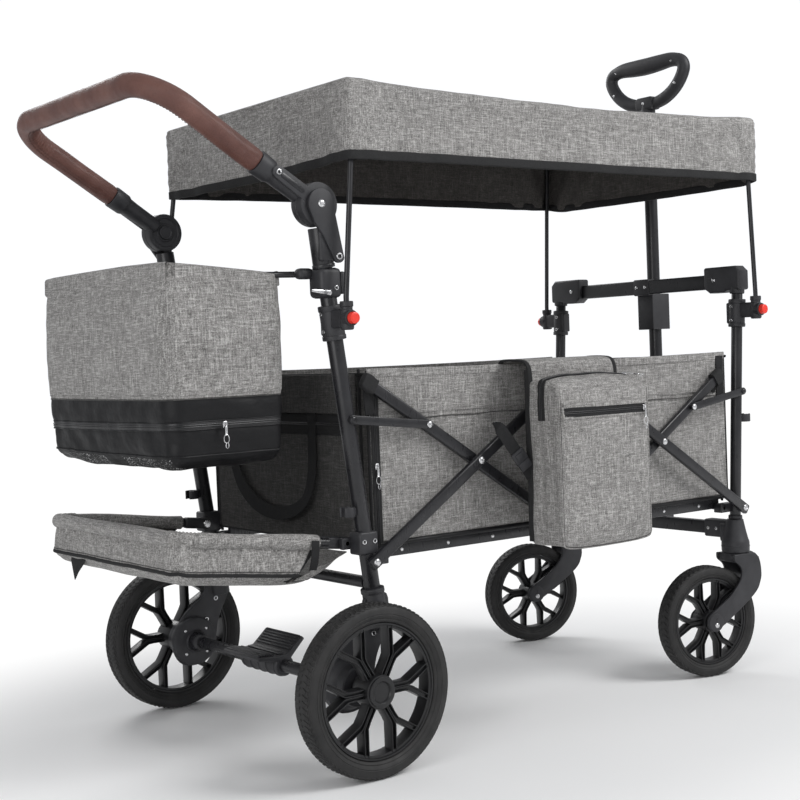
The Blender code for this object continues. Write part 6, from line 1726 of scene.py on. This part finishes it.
PANEL = (0.235, 0.3525, 0.6405)
rear_face = BASKET_REAR - 0.0005
parts = panel_of(rear_face, -1, *PANEL)
face_x = rear_face - 0.0066
flap = cloth_box((2, 40, 8), [])
for vert in flap.verts:
    unit = vert.co.copy()
    place, out = rounded_place(unit, vec(face_x - 0.0022, -0.231, 0.574), vec(face_x, 0.231, 0.6395), 0.001, [])
    if unit.x < 0:
        place.x -= 0.0012 * max(0.0, -unit.z) + 0.001 * (0.5 + noise.noise(place * 14)) * max(0.0, -unit.z)
    vert.co = place
parts.append((flap, 5))
parts += zip_band(straight(
    (face_x - 0.0004, 0.226, 0.556), (face_x - 0.0004, -0.226, 0.556), 12), (-1, 0, 0), 0.032)
parts += zip_pull((face_x - 0.002, 0.205, 0.556), (-1, 0, 0))
parts.append((ribbon(
    straight((face_x, 0.226, 0.5385), (face_x, -0.226, 0.5385)), 0.004, 0.0024, (-1, 0, 0)), 0))
handle = smooth_path([
    (face_x - 0.001, -0.098, 0.572), (face_x - 0.0035, -0.099, 0.53), (face_x - 0.01, -0.103, 0.47),
    (face_x - 0.015, -0.088, 0.425), (face_x - 0.018, -0.045, 0.402), (face_x - 0.018, 0.015, 0.397),
    (face_x - 0.016, 0.075, 0.41), (face_x - 0.012, 0.13, 0.444), (face_x - 0.006, 0.165, 0.5),
    (face_x - 0.001, 0.176, 0.56)], 8)
toward = [vec(-1, 0, 0.28).normalized()] * len(handle)
parts.append((ribbon(handle, 0.024, 0.0018, toward), 6))
for y in (-0.098, 0.176):
    parts.append((block((face_x - 0.0026, y - 0.0135, 0.556), (face_x - 0.0006, y + 0.0135, 0.578), 0.0008), 6))
make_piece("rear_panel", parts, TRIM, "rear_frame", "basket_rear_panel")

front_face = BASKET_FRONT + 0.0005
parts = panel_of(front_face, 1, *PANEL)
parts += zip_band(straight(
    (front_face + 0.0066, -0.226, 0.556), (front_face + 0.0066, 0.226, 0.556), 12), (1, 0, 0), 0.024)
parts.append((ribbon(
    straight((front_face + 0.0062, -0.228, 0.631), (front_face + 0.0062, 0.228, 0.631)), 0.014, 0.0016,
    (1, 0, 0)), 3))
make_piece("front_panel", parts, TRIM, "front_frame", "basket_front_panel")
print("end panels at x", round(rear_face, 3), "and", round(front_face, 3))

# %% Cloth pockets on the tops of the inner bars
for hand, side in SIDES.items():
    for end, tip, way in (("rear", rear_top, down), ("front", front_top, up)):
        lane = vec(0, side * (INNER_LANE + BAR_DEPTH / 2), 0)
        route = [tip + lane + way * d for d in (-0.014, -0.012, -0.006, 0.0, 0.008, 0.0125, 0.0145)]
        pocket = sweep(
            route, rounded(0.015, 0.027, 0.0045, 4), (0, side, 0), [1.06, 1.0, 1.02, 1.04, 1.0, 0.86, 0.5])
        for vert in pocket.verts:
            vert.co += (vert.co - tip - lane).normalized() * crease(vert.co, 0.012, 0.0012, 3)
        tab = ribbon(
            straight(
                tip + lane + vec(0, -side * 0.004, 0.004),
                tip + lane + vec(-way.x * 0.01, -side * 0.009, -0.052 if end == "rear" else -0.03), 6),
            0.02, 0.0016, (0, side, 0))
        make_piece(
            f"bar_pocket_{end}_{hand}", [(pocket, 0), (tab, 1)], [BINDING, WEBBING], f"bars_{end}_up_{hand}")
print("basket done,", len(trim), "trim parts")

# %% [markdown]
# # Rear bag
# The bag hangs from a wire hoop behind the posts. Its upper half is grey linen and its lower half
# black nylon, which creases sharply. A hem is sewn round the hoop, so the rim stays up while the
# walls belly out and the floor sags. A zip runs round it where the lower half opens.

# %% The bag's hoop and clamps
BAG_LOW, BAG_HIGH = vec(-0.6963, -0.217, 0.507), vec(-0.4945, 0.217, 0.803)
HOOP_Z = 0.8043
CLAMP_X = rear_x(0.787)


def hoop_line(start=-0.5005, steps=8):
    """The hoop's U, from the right side round the back to the left side."""
    corner_x, corner_y, bend = -0.6943, 0.215, 0.025
    half = [vec(start, -corner_y, HOOP_Z)]
    half += [
        vec(corner_x + bend * (1 - sin(a)), -corner_y + bend * (1 - cos(a)), HOOP_Z)
        for a in [k * pi / 2 / steps for k in range(steps + 1)]]
    return half + [vec(p.x, -p.y, p.z) for p in reversed(half)]


entry = [vec(CLAMP_X - 0.012, -0.243, HOOP_Z), vec(-0.4705, -0.221, HOOP_Z)]
line = entry + hoop_line() + [vec(p.x, -p.y, p.z) for p in reversed(entry)]
parts = [(tube(line, 0.005, 16), 0)]
for side in (-1, 1):
    parts += [
        (lug(side, 0.2355, 0.276, (CLAMP_X - 0.0215, CLAMP_X + 0.0195), (0.764, 0.8125), 0.0085), 1),
        (lug(side, 0.242, 0.2765, (CLAMP_X + 0.017, CLAMP_X + 0.025), (0.77, 0.806), 0.003), 1),
        (lug(side, 0.229, 0.25, (CLAMP_X - 0.045, CLAMP_X - 0.016), (0.7955, 0.813), 0.007), 1)]
    lever = mm("-20 -2, 16 -4.2, 19 0, 16 4.2, -20 2")
    stand = at((CLAMP_X - 0.022, side * 0.2768, 0.7735)) @ FACING_Y @ spun(radians(-6), "Z")
    parts.append((moved(plate(lever, 0.0016, soft=0.0005), stand), 2))
    parts += screw((CLAMP_X + 0.006, side * 0.2762, 0.78), (0, side, 0), 0.0042, finishes=(2, 1))
    parts.append((on_post(rear_x, side, 0.812, 0.8165, 0.0158, 0.015, 0.0012), 1))
make_piece("bag_hoop_wire", parts, PAINTED, "rear_frame", "bag_hoop")
print("bag hoop at z", HOOP_Z)

# %% The bag's shell
BAG_SEAM_Z = 0.614
ABOVE = [(0, 0, 1)]


def bag_point(unit):
    """Where a point of the unit box lies on the hung bag, and the way out of the cloth."""
    place, out = rounded_place(unit, BAG_LOW, BAG_HIGH, 0.021, ABOVE)
    u, v, w = unit
    fall = (1 - w) / 2
    lower = min(1.0, max(0.0, (BAG_SEAM_Z + 0.01 - place.z) / 0.05))
    wall = min(1.0, hypot(out.x, out.y))
    free = (1 - v * v) if abs(out.x) > abs(out.y) else (1 - u * u)
    belly = 0.0022 * sin(pi * min(1.0, fall * 1.02)) * free
    full = 0.0048 + 0.0085 * sin(pi * min(1.0, fall ** 0.7 * 1.02))
    flush = full * wall * (1 - fall ** 6) * (0.0 if out.x > 0.5 else 1.0)
    soft = min(1.0, fall * 9)
    swell = flush + belly * wall + crease(place, 0.11, 0.005, 11) * soft
    swell += lower * (
        crease(place + vec(place.z, 0, 0), 0.038, 0.003, 12)
        + 0.0014 * abs(noise.noise(vec(place.x + place.z, place.y - place.z * 0.8, place.z * 0.3) / 0.03)))
    swell += (1 - lower) * (crease(place, 0.042, 0.0014, 13) + crease(place, 0.02, 0.0007, 14)) * soft
    pinch = exp(-((place.z - BAG_SEAM_Z) / 0.006) ** 2) + exp(-((place.z - zip_height(place.y)) / 0.009) ** 2)
    swell -= 0.0022 * pinch * wall
    place += out * swell * 0.9
    place.z -= 0.0075 * (1 - u * u) * (1 - v * v) * fall ** 3
    place.z += 0.005 * max(0.0, v) * max(0.0, -u) * fall ** 3
    return place, out


def zip_height(y):
    """The zip dips a little towards the left side."""
    return 0.5705 - 0.002 * y / 0.217


shell = cloth_box((44, 84, 62), ABOVE)
for vert in shell.verts:
    vert.co = bag_point(vert.co.copy())[0]
NET_SPANS = ((0.012, 0.162), (-0.206, -0.045))
for face in shell.faces:
    middle = face.calc_center_median()
    netted = middle.x < -0.672 and middle.z < 0.5235 and any(low < middle.y < high for low, high in NET_SPANS)
    face.material_index = 4 if netted else (0 if middle.z > BAG_SEAM_Z else 1)
bag_area = cloth_area(shell)
bag_cloth = make_piece(
    "rear_bag_cloth", [thick_cloth(shell, 0.003, 2, 2)], [LINEN, NYLON, LINING, LINING, NET, NET, NET],
    "rear_frame", "rear_bag", radians(60))
print("rear bag cloth", round(bag_area, 3), "square metres")


# %% Hem, seams, zip and windows
def three_sides(start, sides, back, w):
    """Unit points at one level, along a box's right side, its back and its left side."""
    run = [start - (1 + start) * k / sides for k in range(sides + 1)]
    middle = [vec(-1, -1 + 2 * k / back, w) for k in range(back + 1)]
    return [vec(u, -1, w) for u in run] + middle + [vec(u, 1, w) for u in reversed(run)]


def level_point(unit):
    """A point of the bag, with the level way out of its cloth."""
    place, out = bag_point(unit)
    return place, vec(out.x, out.y, 0).normalized()


def round_the_bag(height, stand_off, front=False):
    """Points round the bag's walls at a height, with the way out of the cloth at each."""
    w = 0.0
    for step in range(24):
        w -= (bag_point(vec(-1, 0, w))[0].z - height) / 0.16
    units = three_sides(0.96, 30, 60, w)
    if front:
        units += [vec(1, 1 - 2 * k / 60, w) for k in range(1, 60)]
    return walk_of(level_point, units, stand_off, 0.0012)


BAG_TRIM = [LINEN, BINDING, STEEL, ZIP_TEETH, NYLON, DARK_LINEN]
trim = []
rim = smooth_path(hoop_line(-0.505, 10), 3)
raised = []
for p in rim:
    rear_share = max(0.0, min(1.0, (-0.5 - p.x) / 0.19))
    lift = rear_share * (0.0135 + 0.003 * cos(p.y * pi / 0.44)) - 0.003 * (1 - rear_share)
    raised.append(p + vec(0, 0, lift - 0.01 + 0.0014 * noise.noise(p * 26)))
hem = sweep(raised, rounded(0.0335, 0.0132, 0.0064, 6), (0, 0, 1))
for vert in hem.verts:
    vert.co += vec(
        noise.noise(vert.co * 45), noise.noise(vert.co * 45 + vec(7, 0, 0)),
        noise.noise(vert.co * 30 + vec(0, 5, 0))) * 0.0013
trim.append((hem, 0))
front_hem = [vec(-0.496, -0.215 + 0.43 * k / 24, 0.7985 - 0.0065 * (1 - (k / 12 - 1) ** 2)) for k in range(25)]
trim.append((sweep(front_hem, rounded(0.024, 0.007, 0.003, 4), (0, 0, 1)), 0))
for height, number, radius in ((BAG_SEAM_Z, 5, 0.0012), (BAG_SEAM_Z + 0.006, 0, 0.0006)):
    walked, outs = round_the_bag(height, 0.0004, True)
    trim.append((tube(walked, radius, 8, outs, True), number))
walked, outs = round_the_bag(zip_height(0), 0.001)
walked = [vec(p.x, p.y, p.z + zip_height(p.y) - zip_height(0)) for p in walked]
tape = sweep(walked, rounded(0.012, 0.0014, 0.0006, 2), (0, 0, 1))
trim.append((tape, 3))
for away in (-0.0014, 0.0014):
    trim.append((tube([p + out * 0.001 + vec(0, 0, away) for p, out in zip(walked, outs)], 0.001, 8, outs), 3))
for away in (-0.0062, 0.0062):
    trim.append((tube([
        p + out * 0.0006 + vec(0, 0, away) for p, out in zip(walked, outs)], 0.0011, 8, outs), 4))
trim += zip_pull((-0.614, -0.233, zip_height(-0.217)), (0, -1, 0), finish=2)
walked, outs = round_the_bag(0.5255, 0.0004, True)
trim.append((tube(walked, 0.0018, 8, outs, True), 4))
bag_trim = make_piece("rear_bag_trim", trim, BAG_TRIM, "rear_frame")
print(len(trim), "trim parts on the rear bag")

# %% [markdown]
# # Footrest tray
# A shallow cloth trough hangs in a U-shaped tube on two hinges. The top of its wall is gathered round
# the tube, so it ripples closely, while black piping holds the seam below. The open front is cut on
# a slant and bound in black.

# %% The tray's tube and hinges
TRAY_HINGE = vec(rear_x(0.364) - 0.027, 0, 0.364)
TRAY_TURN = at(TRAY_HINGE) @ spun(radians(7), "Y")
TRAY_LENGTH, TRAY_Y, TRAY_BEND = 0.3, 0.228, 0.045


def tray_line(start, steps=8):
    """The tray's U tube in its own plane, from the right hinge round to the left."""
    half = [vec(start, -TRAY_Y, 0)]
    bend = [k * pi / 2 / steps for k in range(steps + 1)]
    half += [vec(-TRAY_LENGTH + TRAY_BEND * (1 - sin(a)), -TRAY_Y + TRAY_BEND * (1 - cos(a)), 0) for a in bend]
    return half + [vec(p.x, -p.y, p.z) for p in reversed(half)]


parts = [(moved(tube(tray_line(-0.03), 0.009, 20, (0, 0, 1)), TRAY_TURN), 0)]
for side in (-1, 1):
    parts += [
        (moved(lug(side, 0.2155, 0.2325, (-0.044, 0.0098), (-0.0102, 0.0102), 0.0045), TRAY_TURN), 1),
        (moved(lathe(
            mm("0 0, 7.5 0, 7.5 1.2, 6.2 2.2, 0 2.4"), at((0, side * 0.215, 0)) @ spun(side * pi / 2, "X")),
            TRAY_TURN), 2)]
make_piece("tray_tube", parts, PAINTED, "tray", "tray_frame")
print("tray hinges at", [round(x, 3) for x in TRAY_HINGE])

# %% The tray's trough
TROUGH_LOW, TROUGH_HIGH = vec(-0.302, -0.23, -0.07), vec(-0.048, 0.23, -0.005)


def trough_point(unit):
    """Where a point of the unit box lies on the hung trough, in the tray's own plane."""
    place, out = rounded_place(unit, TROUGH_LOW, TROUGH_HIGH, 0.026, [(0, 0, 1), (1, 0, 0)])
    u, v, w = unit
    fall = (1 - w) / 2
    slant = max(0.0, (u - 0.45) / 0.55)
    along = place.x if abs(out.y) > abs(out.x) else place.y
    gather = 0.0021 * sin(2 * pi * along / 0.0135 + 3.0 * noise.noise(place * 16)) * max(0.0, 1 - fall * 1.5)
    gather += 0.0012 * sin(2 * pi * along / 0.031 + 4.0 * noise.noise(place * 9)) * max(0.0, 1 - fall)
    belly = 0.0045 * sin(pi * min(1.0, fall)) + crease(place, 0.07, 0.003, 21)
    wall = min(1.0, hypot(out.x, out.y))
    place += out * (gather + belly * 0.8) * (wall if fall < 0.95 else 0.6)
    cut = max(0.0, min(1.0, (abs(v) - 0.84) / 0.14))
    place.x -= 0.052 * slant * fall * cut * cut * (3 - 2 * cut)
    place.z += 0.01 * slant * slant * fall * (1 - cut)
    place.z -= 0.0035 * (1 - u * u) * (1 - v * v) * fall ** 2
    return place, out


trough = cloth_box((60, 116, 22), [(0, 0, 1), (1, 0, 0)])
for vert in trough.verts:
    vert.co = trough_point(vert.co.copy())[0]
trough_area = cloth_area(trough)
tray_cloth = make_piece(
    "tray_trough", [(moved(thick_cloth(trough, 0.0028, 1, 2)[0], TRAY_TURN), None)], [LINEN, LINING, BINDING],
    "tray", "tray_cloth", radians(60))
print("tray cloth", round(trough_area, 3), "square metres")

# %% Gathered sleeve, piping and binding
trim = []
sleeve_line = smooth_path(tray_line(-0.05, 10), 6)
ripples = [
    1 + 0.055 * sin(2 * pi * k / 5.1) + 0.05 * noise.noise(vec(k * 0.31, 0, 0))
    for k in range(len(sleeve_line))]
trim.append((moved(tube(sleeve_line, 0.0125, 20, (0, 0, 1), False, ripples), TRAY_TURN), 0))


def along_trough(w, stand_off):
    """Points round the trough's walls, from the right front end to the left front end."""
    return walk_of(trough_point, three_sides(1, 26, 44, w), stand_off, 0.0015)


walked, outs = along_trough(-0.38, 0.0006)
trim.append((moved(tube(walked, 0.003, 10, outs), TRAY_TURN), 1))
walked, outs = along_trough(-0.24, 0.0004)
trim.append((moved(tube(walked, 0.0008, 6, outs), TRAY_TURN), 2))
ends = [vec(1, -1, 1 - 2 * k / 12) for k in range(13)]
ends += [vec(1, -1 + 2 * k / 50, -1) for k in range(51)]
ends += [vec(1, 1, -1 + 2 * k / 12) for k in range(13)]
bound = []
for unit in ends:
    place, out = trough_point(unit)
    if not bound or (place - bound[-1]).length > 0.0015:
        bound.append(place - out * 0.0014 + vec(-0.0035, 0, 0))
trim.append((moved(sweep(bound, rounded(0.0056, 0.0046, 0.0016, 3), (1, 0, 0)), TRAY_TURN), 1))
for side in (-1, 1):
    strap = [
        vec(-0.062, side * 0.243, 0.004), vec(-0.062, side * 0.2446, -0.01), vec(-0.061, side * 0.242, -0.03),
        vec(-0.06, side * 0.237, -0.044)]
    trim.append((moved(ribbon(smooth_path(strap, 4), 0.015, 0.0014, (0, side, 0)), TRAY_TURN), 3))
tab = mm("-32 6, 28 6, 32 -8, 12 -40, 1 -26, -18 -10")
stand = TRAY_TURN @ at((-0.299, 0.12, -0.056)) @ FACING_X
trim.append((moved(plate(tab, 0.0018, soft=0.0006), stand), 3))
apron = bmesh.new()
bmesh.ops.create_grid(apron, x_segments=16, y_segments=60, size=1)
for vert in apron.verts:
    s, v = (vert.co.x + 1) / 2, vert.co.y
    start, out = trough_point(vec(1, v * 0.93, -1))
    goal = vec(0.027, v * 0.205, -0.016)
    place = start.lerp(goal, s) - vec(0, 0, 0.012 * sin(pi * s) * (1 - v ** 6))
    vert.co = place + vec(0, 0, 0.0018 * noise.noise(place * 22))
apron_sheet = make_piece(
    "tray_apron", [(moved(thick_cloth(apron, 0.002, 0, 0)[0], TRAY_TURN), 0)], [LINEN], "tray",
    smooth=radians(60))
tray_trim = make_piece("tray_trim", trim, [LINEN, BINDING, DARK_LINEN, WEBBING], "tray")
print(len(trim), "trim parts on the tray")

# %% [markdown]
# # Side bag
# A zipped pouch with a soft filling hangs outside the right wall. Its front is a panel set into a
# welted seam; the gussets fold softly. It is full enough to be padded, so its swell and dents are
# pushed into a closed shell of fine squares.

# %% The pouch
POUCH_LOW, POUCH_HIGH = vec(-0.061, -0.397, 0.331), vec(0.157, -0.315, 0.612)
POUCH_ROUND = 0.007


def pouch_point(unit):
    """Where a point of the unit box lies on the pouch, and the way out of the cloth."""
    place, out = rounded_place(unit, POUCH_LOW, POUCH_HIGH, POUCH_ROUND, [])
    u, v, w = unit
    fore = max(0.0, -out.y)
    gusset = max(abs(out.x), abs(out.z))
    crown = (1 - u ** 4) * (1 - w ** 4)
    gap = min(1 - abs(u), 1 - abs(w))
    settled = min(1.0, gap / 0.12)
    swell = fore * (0.006 * crown + crease(place, 0.085, 0.0048, 31) * settled)
    swell += fore * crease(place, 0.03, 0.0013, 32) * settled
    swell -= 0.0016 * exp(-((gap - 0.075) / 0.045) ** 2) * fore
    fold = sin(2 * pi * (place.y + 0.012 * noise.noise(place * 12)) / 0.031)
    swell += gusset * (1 - fore) * (0.0015 * fold * abs(out.x) * (1 - w ** 6) + crease(place, 0.05, 0.0026, 33))
    place += out * swell
    top, bottom = max(0.0, w) ** 5, max(0.0, -w) ** 3
    place.z += 0.009 * top * (1 - u ** 4) * (1 - v * v)
    place.z -= 0.012 * top * max(0.0, -v) ** 1.4
    place.z -= 0.006 * top * max(0.0, u) ** 4
    place.z -= 0.004 * bottom * (1 - u * u) * (0.4 + 0.6 * fore)
    place.z -= 0.0065 * bottom * fore * (1 - u ** 6)
    return place, out


pouch = cloth_box((60, 28, 76), [])
for vert in pouch.verts:
    vert.co = pouch_point(vert.co.copy())[0]
pouch_cloth = make_piece(
    "side_pouch_cloth", [pouch], [LINEN], "side_pouch", "side_bag", radians(70))


def along_pouch(units, stand_off, spacing=0.0012):
    """A line on the pouch through unit points, with the way out of the cloth at each."""
    return walk_of(pouch_point, units, stand_off, spacing)


def unit_at(x, z):
    """The unit point on the pouch's front whose x and z are given."""
    centre, half = (POUCH_LOW + POUCH_HIGH) / 2, (POUCH_HIGH - POUCH_LOW) / 2
    spots = []
    for want, k in ((x, 0), (z, 2)):
        share = (want - centre[k]) / half[k]
        t = share
        for step in range(8):
            t -= eased(t) - share
        spots.append(min(max(t, -1), 1))
    return vec(spots[0], -1, spots[1])


def on_front(x, z, stand_off=0.0006):
    """A point on the pouch's front at given x and z."""
    place, out = pouch_point(unit_at(x, z))
    return place + out * stand_off


print("pouch", round((POUCH_HIGH - POUCH_LOW).x, 3), "m wide")

# %% The pouch's seams, zips, yoke and strap
POUCH_TRIM = [LINEN, BINDING, STEEL, ZIP_TEETH, DARK_LINEN, WEBBING, BLACK_PLASTIC]
ZIP_REAR, ZIP_FRONT, ZIP_Z = POUCH_LOW.x + 0.008, POUCH_HIGH.x - 0.013, 0.5595
trim = []
down_left = [vec(-1, -1, 0.97 - 1.97 * k / 40) for k in range(41)]
along_foot = [vec(-1 + 2 * k / 34, -1, -1) for k in range(1, 34)]
up_right = [vec(1, -1, -1 + 1.97 * k / 40) for k in range(41)]
walked, outs = along_pouch(down_left + along_foot + up_right, 0.0002)
trim.append((tube(walked, 0.0016, 8, outs), 0))
# Two thin charcoal lines just inside the welt, down its left side and along its foot, are painted shade of the
# fold along the welt.
walked, outs = along_pouch([vec(-0.965, -1, 0.94 - 1.9 * k / 40) for k in range(41)], 0.0)
trim.append((tube(walked, 0.0009, 6, outs), 4))
walked, outs = along_pouch([vec(-0.95 + 1.9 * k / 40, -1, -0.955) for k in range(41)], 0.0)
trim.append((tube(walked, 0.0009, 6, outs), 4))
zip_run = [ZIP_REAR + (ZIP_FRONT - ZIP_REAR) * k / 28 for k in range(29)]
trim += zip_band([on_front(x, ZIP_Z, 0.0004) for x in zip_run], (0, -1, 0), 0.017, (1, 3))
for z, height, thick in ((ZIP_Z + 0.0118, 0.0075, 0.0022), (ZIP_Z - 0.0098, 0.0036, 0.0016)):
    lip = [on_front(x, z, 0.001) for x in zip_run]
    trim.append((sweep(lip, rounded(thick, height, 0.0007, 2), (0, -1, 0)), 0))
for x in (ZIP_REAR - 0.001, ZIP_FRONT + 0.0015):
    stop = [on_front(x, ZIP_Z + 0.0115 - 0.022 * k / 6, 0.0012) for k in range(7)]
    trim.append((sweep(stop, rounded(0.002, 0.005, 0.0008, 2), (0, -1, 0)), 0))
trim += zip_pull(on_front(ZIP_FRONT - 0.005, ZIP_Z, 0.003), (0, -1, 0), finish=2)
TRACK_V = 0.02
gusset_run = [vec(-1, TRACK_V, 0.45 + 0.55 * k / 16) for k in range(17)]
crown_run = [vec(-1 + 1.86 * k / 46, TRACK_V, 1) for k in range(1, 47)]
line, ups = along_pouch(gusset_run + crown_run, 0.0012, 0.002)
trim.append((ribbon(line, 0.0165, 0.0016, ups), 1))
for away in (-0.0016, 0.0016):
    trim.append((tube([p + up * 0.0011 + vec(0, away, 0) for p, up in zip(line, ups)], 0.0012, 8, ups), 3))
for lip_v in (TRACK_V - 0.27, TRACK_V + 0.27):
    lip_line, lip_ups = along_pouch([
        vec(unit.x, lip_v, unit.z) for unit in gusset_run + crown_run], 0.0006, 0.002)
    trim.append((sweep(lip_line, rounded(0.002, 0.005, 0.0008, 2), lip_ups), 0))
trim += zip_pull(line[-3] + ups[-3] * 0.002, ups[-3], (0.8, -0.6, -0.2), finish=2)
yoke_route = mm(
    "-245.2 608, -245.2 630, -245.6 643, -247.5 647.8, -254 650.2, -270 650.8, -288 650.2, -304 648.8, "
    "-313 645, -318 638, -320.5 629, -322 612")
yoke_path = smooth_path([(0.048, y, z) for y, z in yoke_route], 3)
yoke = sweep(yoke_path, rounded(0.212, 0.0026, 0.001, 2), (1, 0, 0))
trim.append((yoke, 0))
for x in (-0.056, 0.152):
    edge = [vec(x, p.y, p.z) for p in yoke_path]
    trim.append((sweep(edge, rounded(0.009, 0.0042, 0.0014, 2), (1, 0, 0)), 1))
for x, top in ((-0.06, 0.634), (0.1565, 0.606)):
    cord = [vec(x + 0.0006 * sin(k), -0.3185, top - (top - 0.336) * k / 12) for k in range(13)]
    trim.append((sweep(cord, rounded(0.006, 0.0125, 0.002, 3), (1 if x > 0 else -1, 0, 0)), 1))
strap_top, strap_foot = vec(-0.1235, -0.3165, 0.534), vec(-0.06, -0.3215, 0.45)
strap_up = vec(-0.25, -1, -0.1).normalized()
strap = [
    vec(-0.126, -0.305, 0.537), strap_top, strap_top.lerp(strap_foot, 0.35) + strap_up * 0.002,
    strap_top.lerp(strap_foot, 0.7) + strap_up * 0.001, strap_foot]
trim.append((ribbon(smooth_path(strap, 6), 0.022, 0.0016, strap_up), 5))
fall_line = (strap_foot - strap_top).normalized()
across = strap_up.cross(fall_line).normalized()
clasp = at(
    strap_top.lerp(strap_foot, 0.66) + strap_up * 0.0022) @ axes(across, fall_line, across.cross(fall_line))
facing = 1 if across.cross(fall_line).dot(strap_up) > 0 else -1
for low, high, thick in (
        ((-0.013, -0.021), (0.013, 0.002), 0.0036), ((-0.0115, 0.001), (0.0115, 0.017), 0.005),
        ((-0.007, -0.016), (0.007, -0.003), 0.0052)):
    span = sorted((0.0, facing * thick))
    trim.append((moved(block((*low, span[0]), (*high, span[1]), 0.0012), clasp), 6))
make_piece("side_pouch_trim", trim, POUCH_TRIM, "side_pouch")
print("rear bag, tray and side bag done")
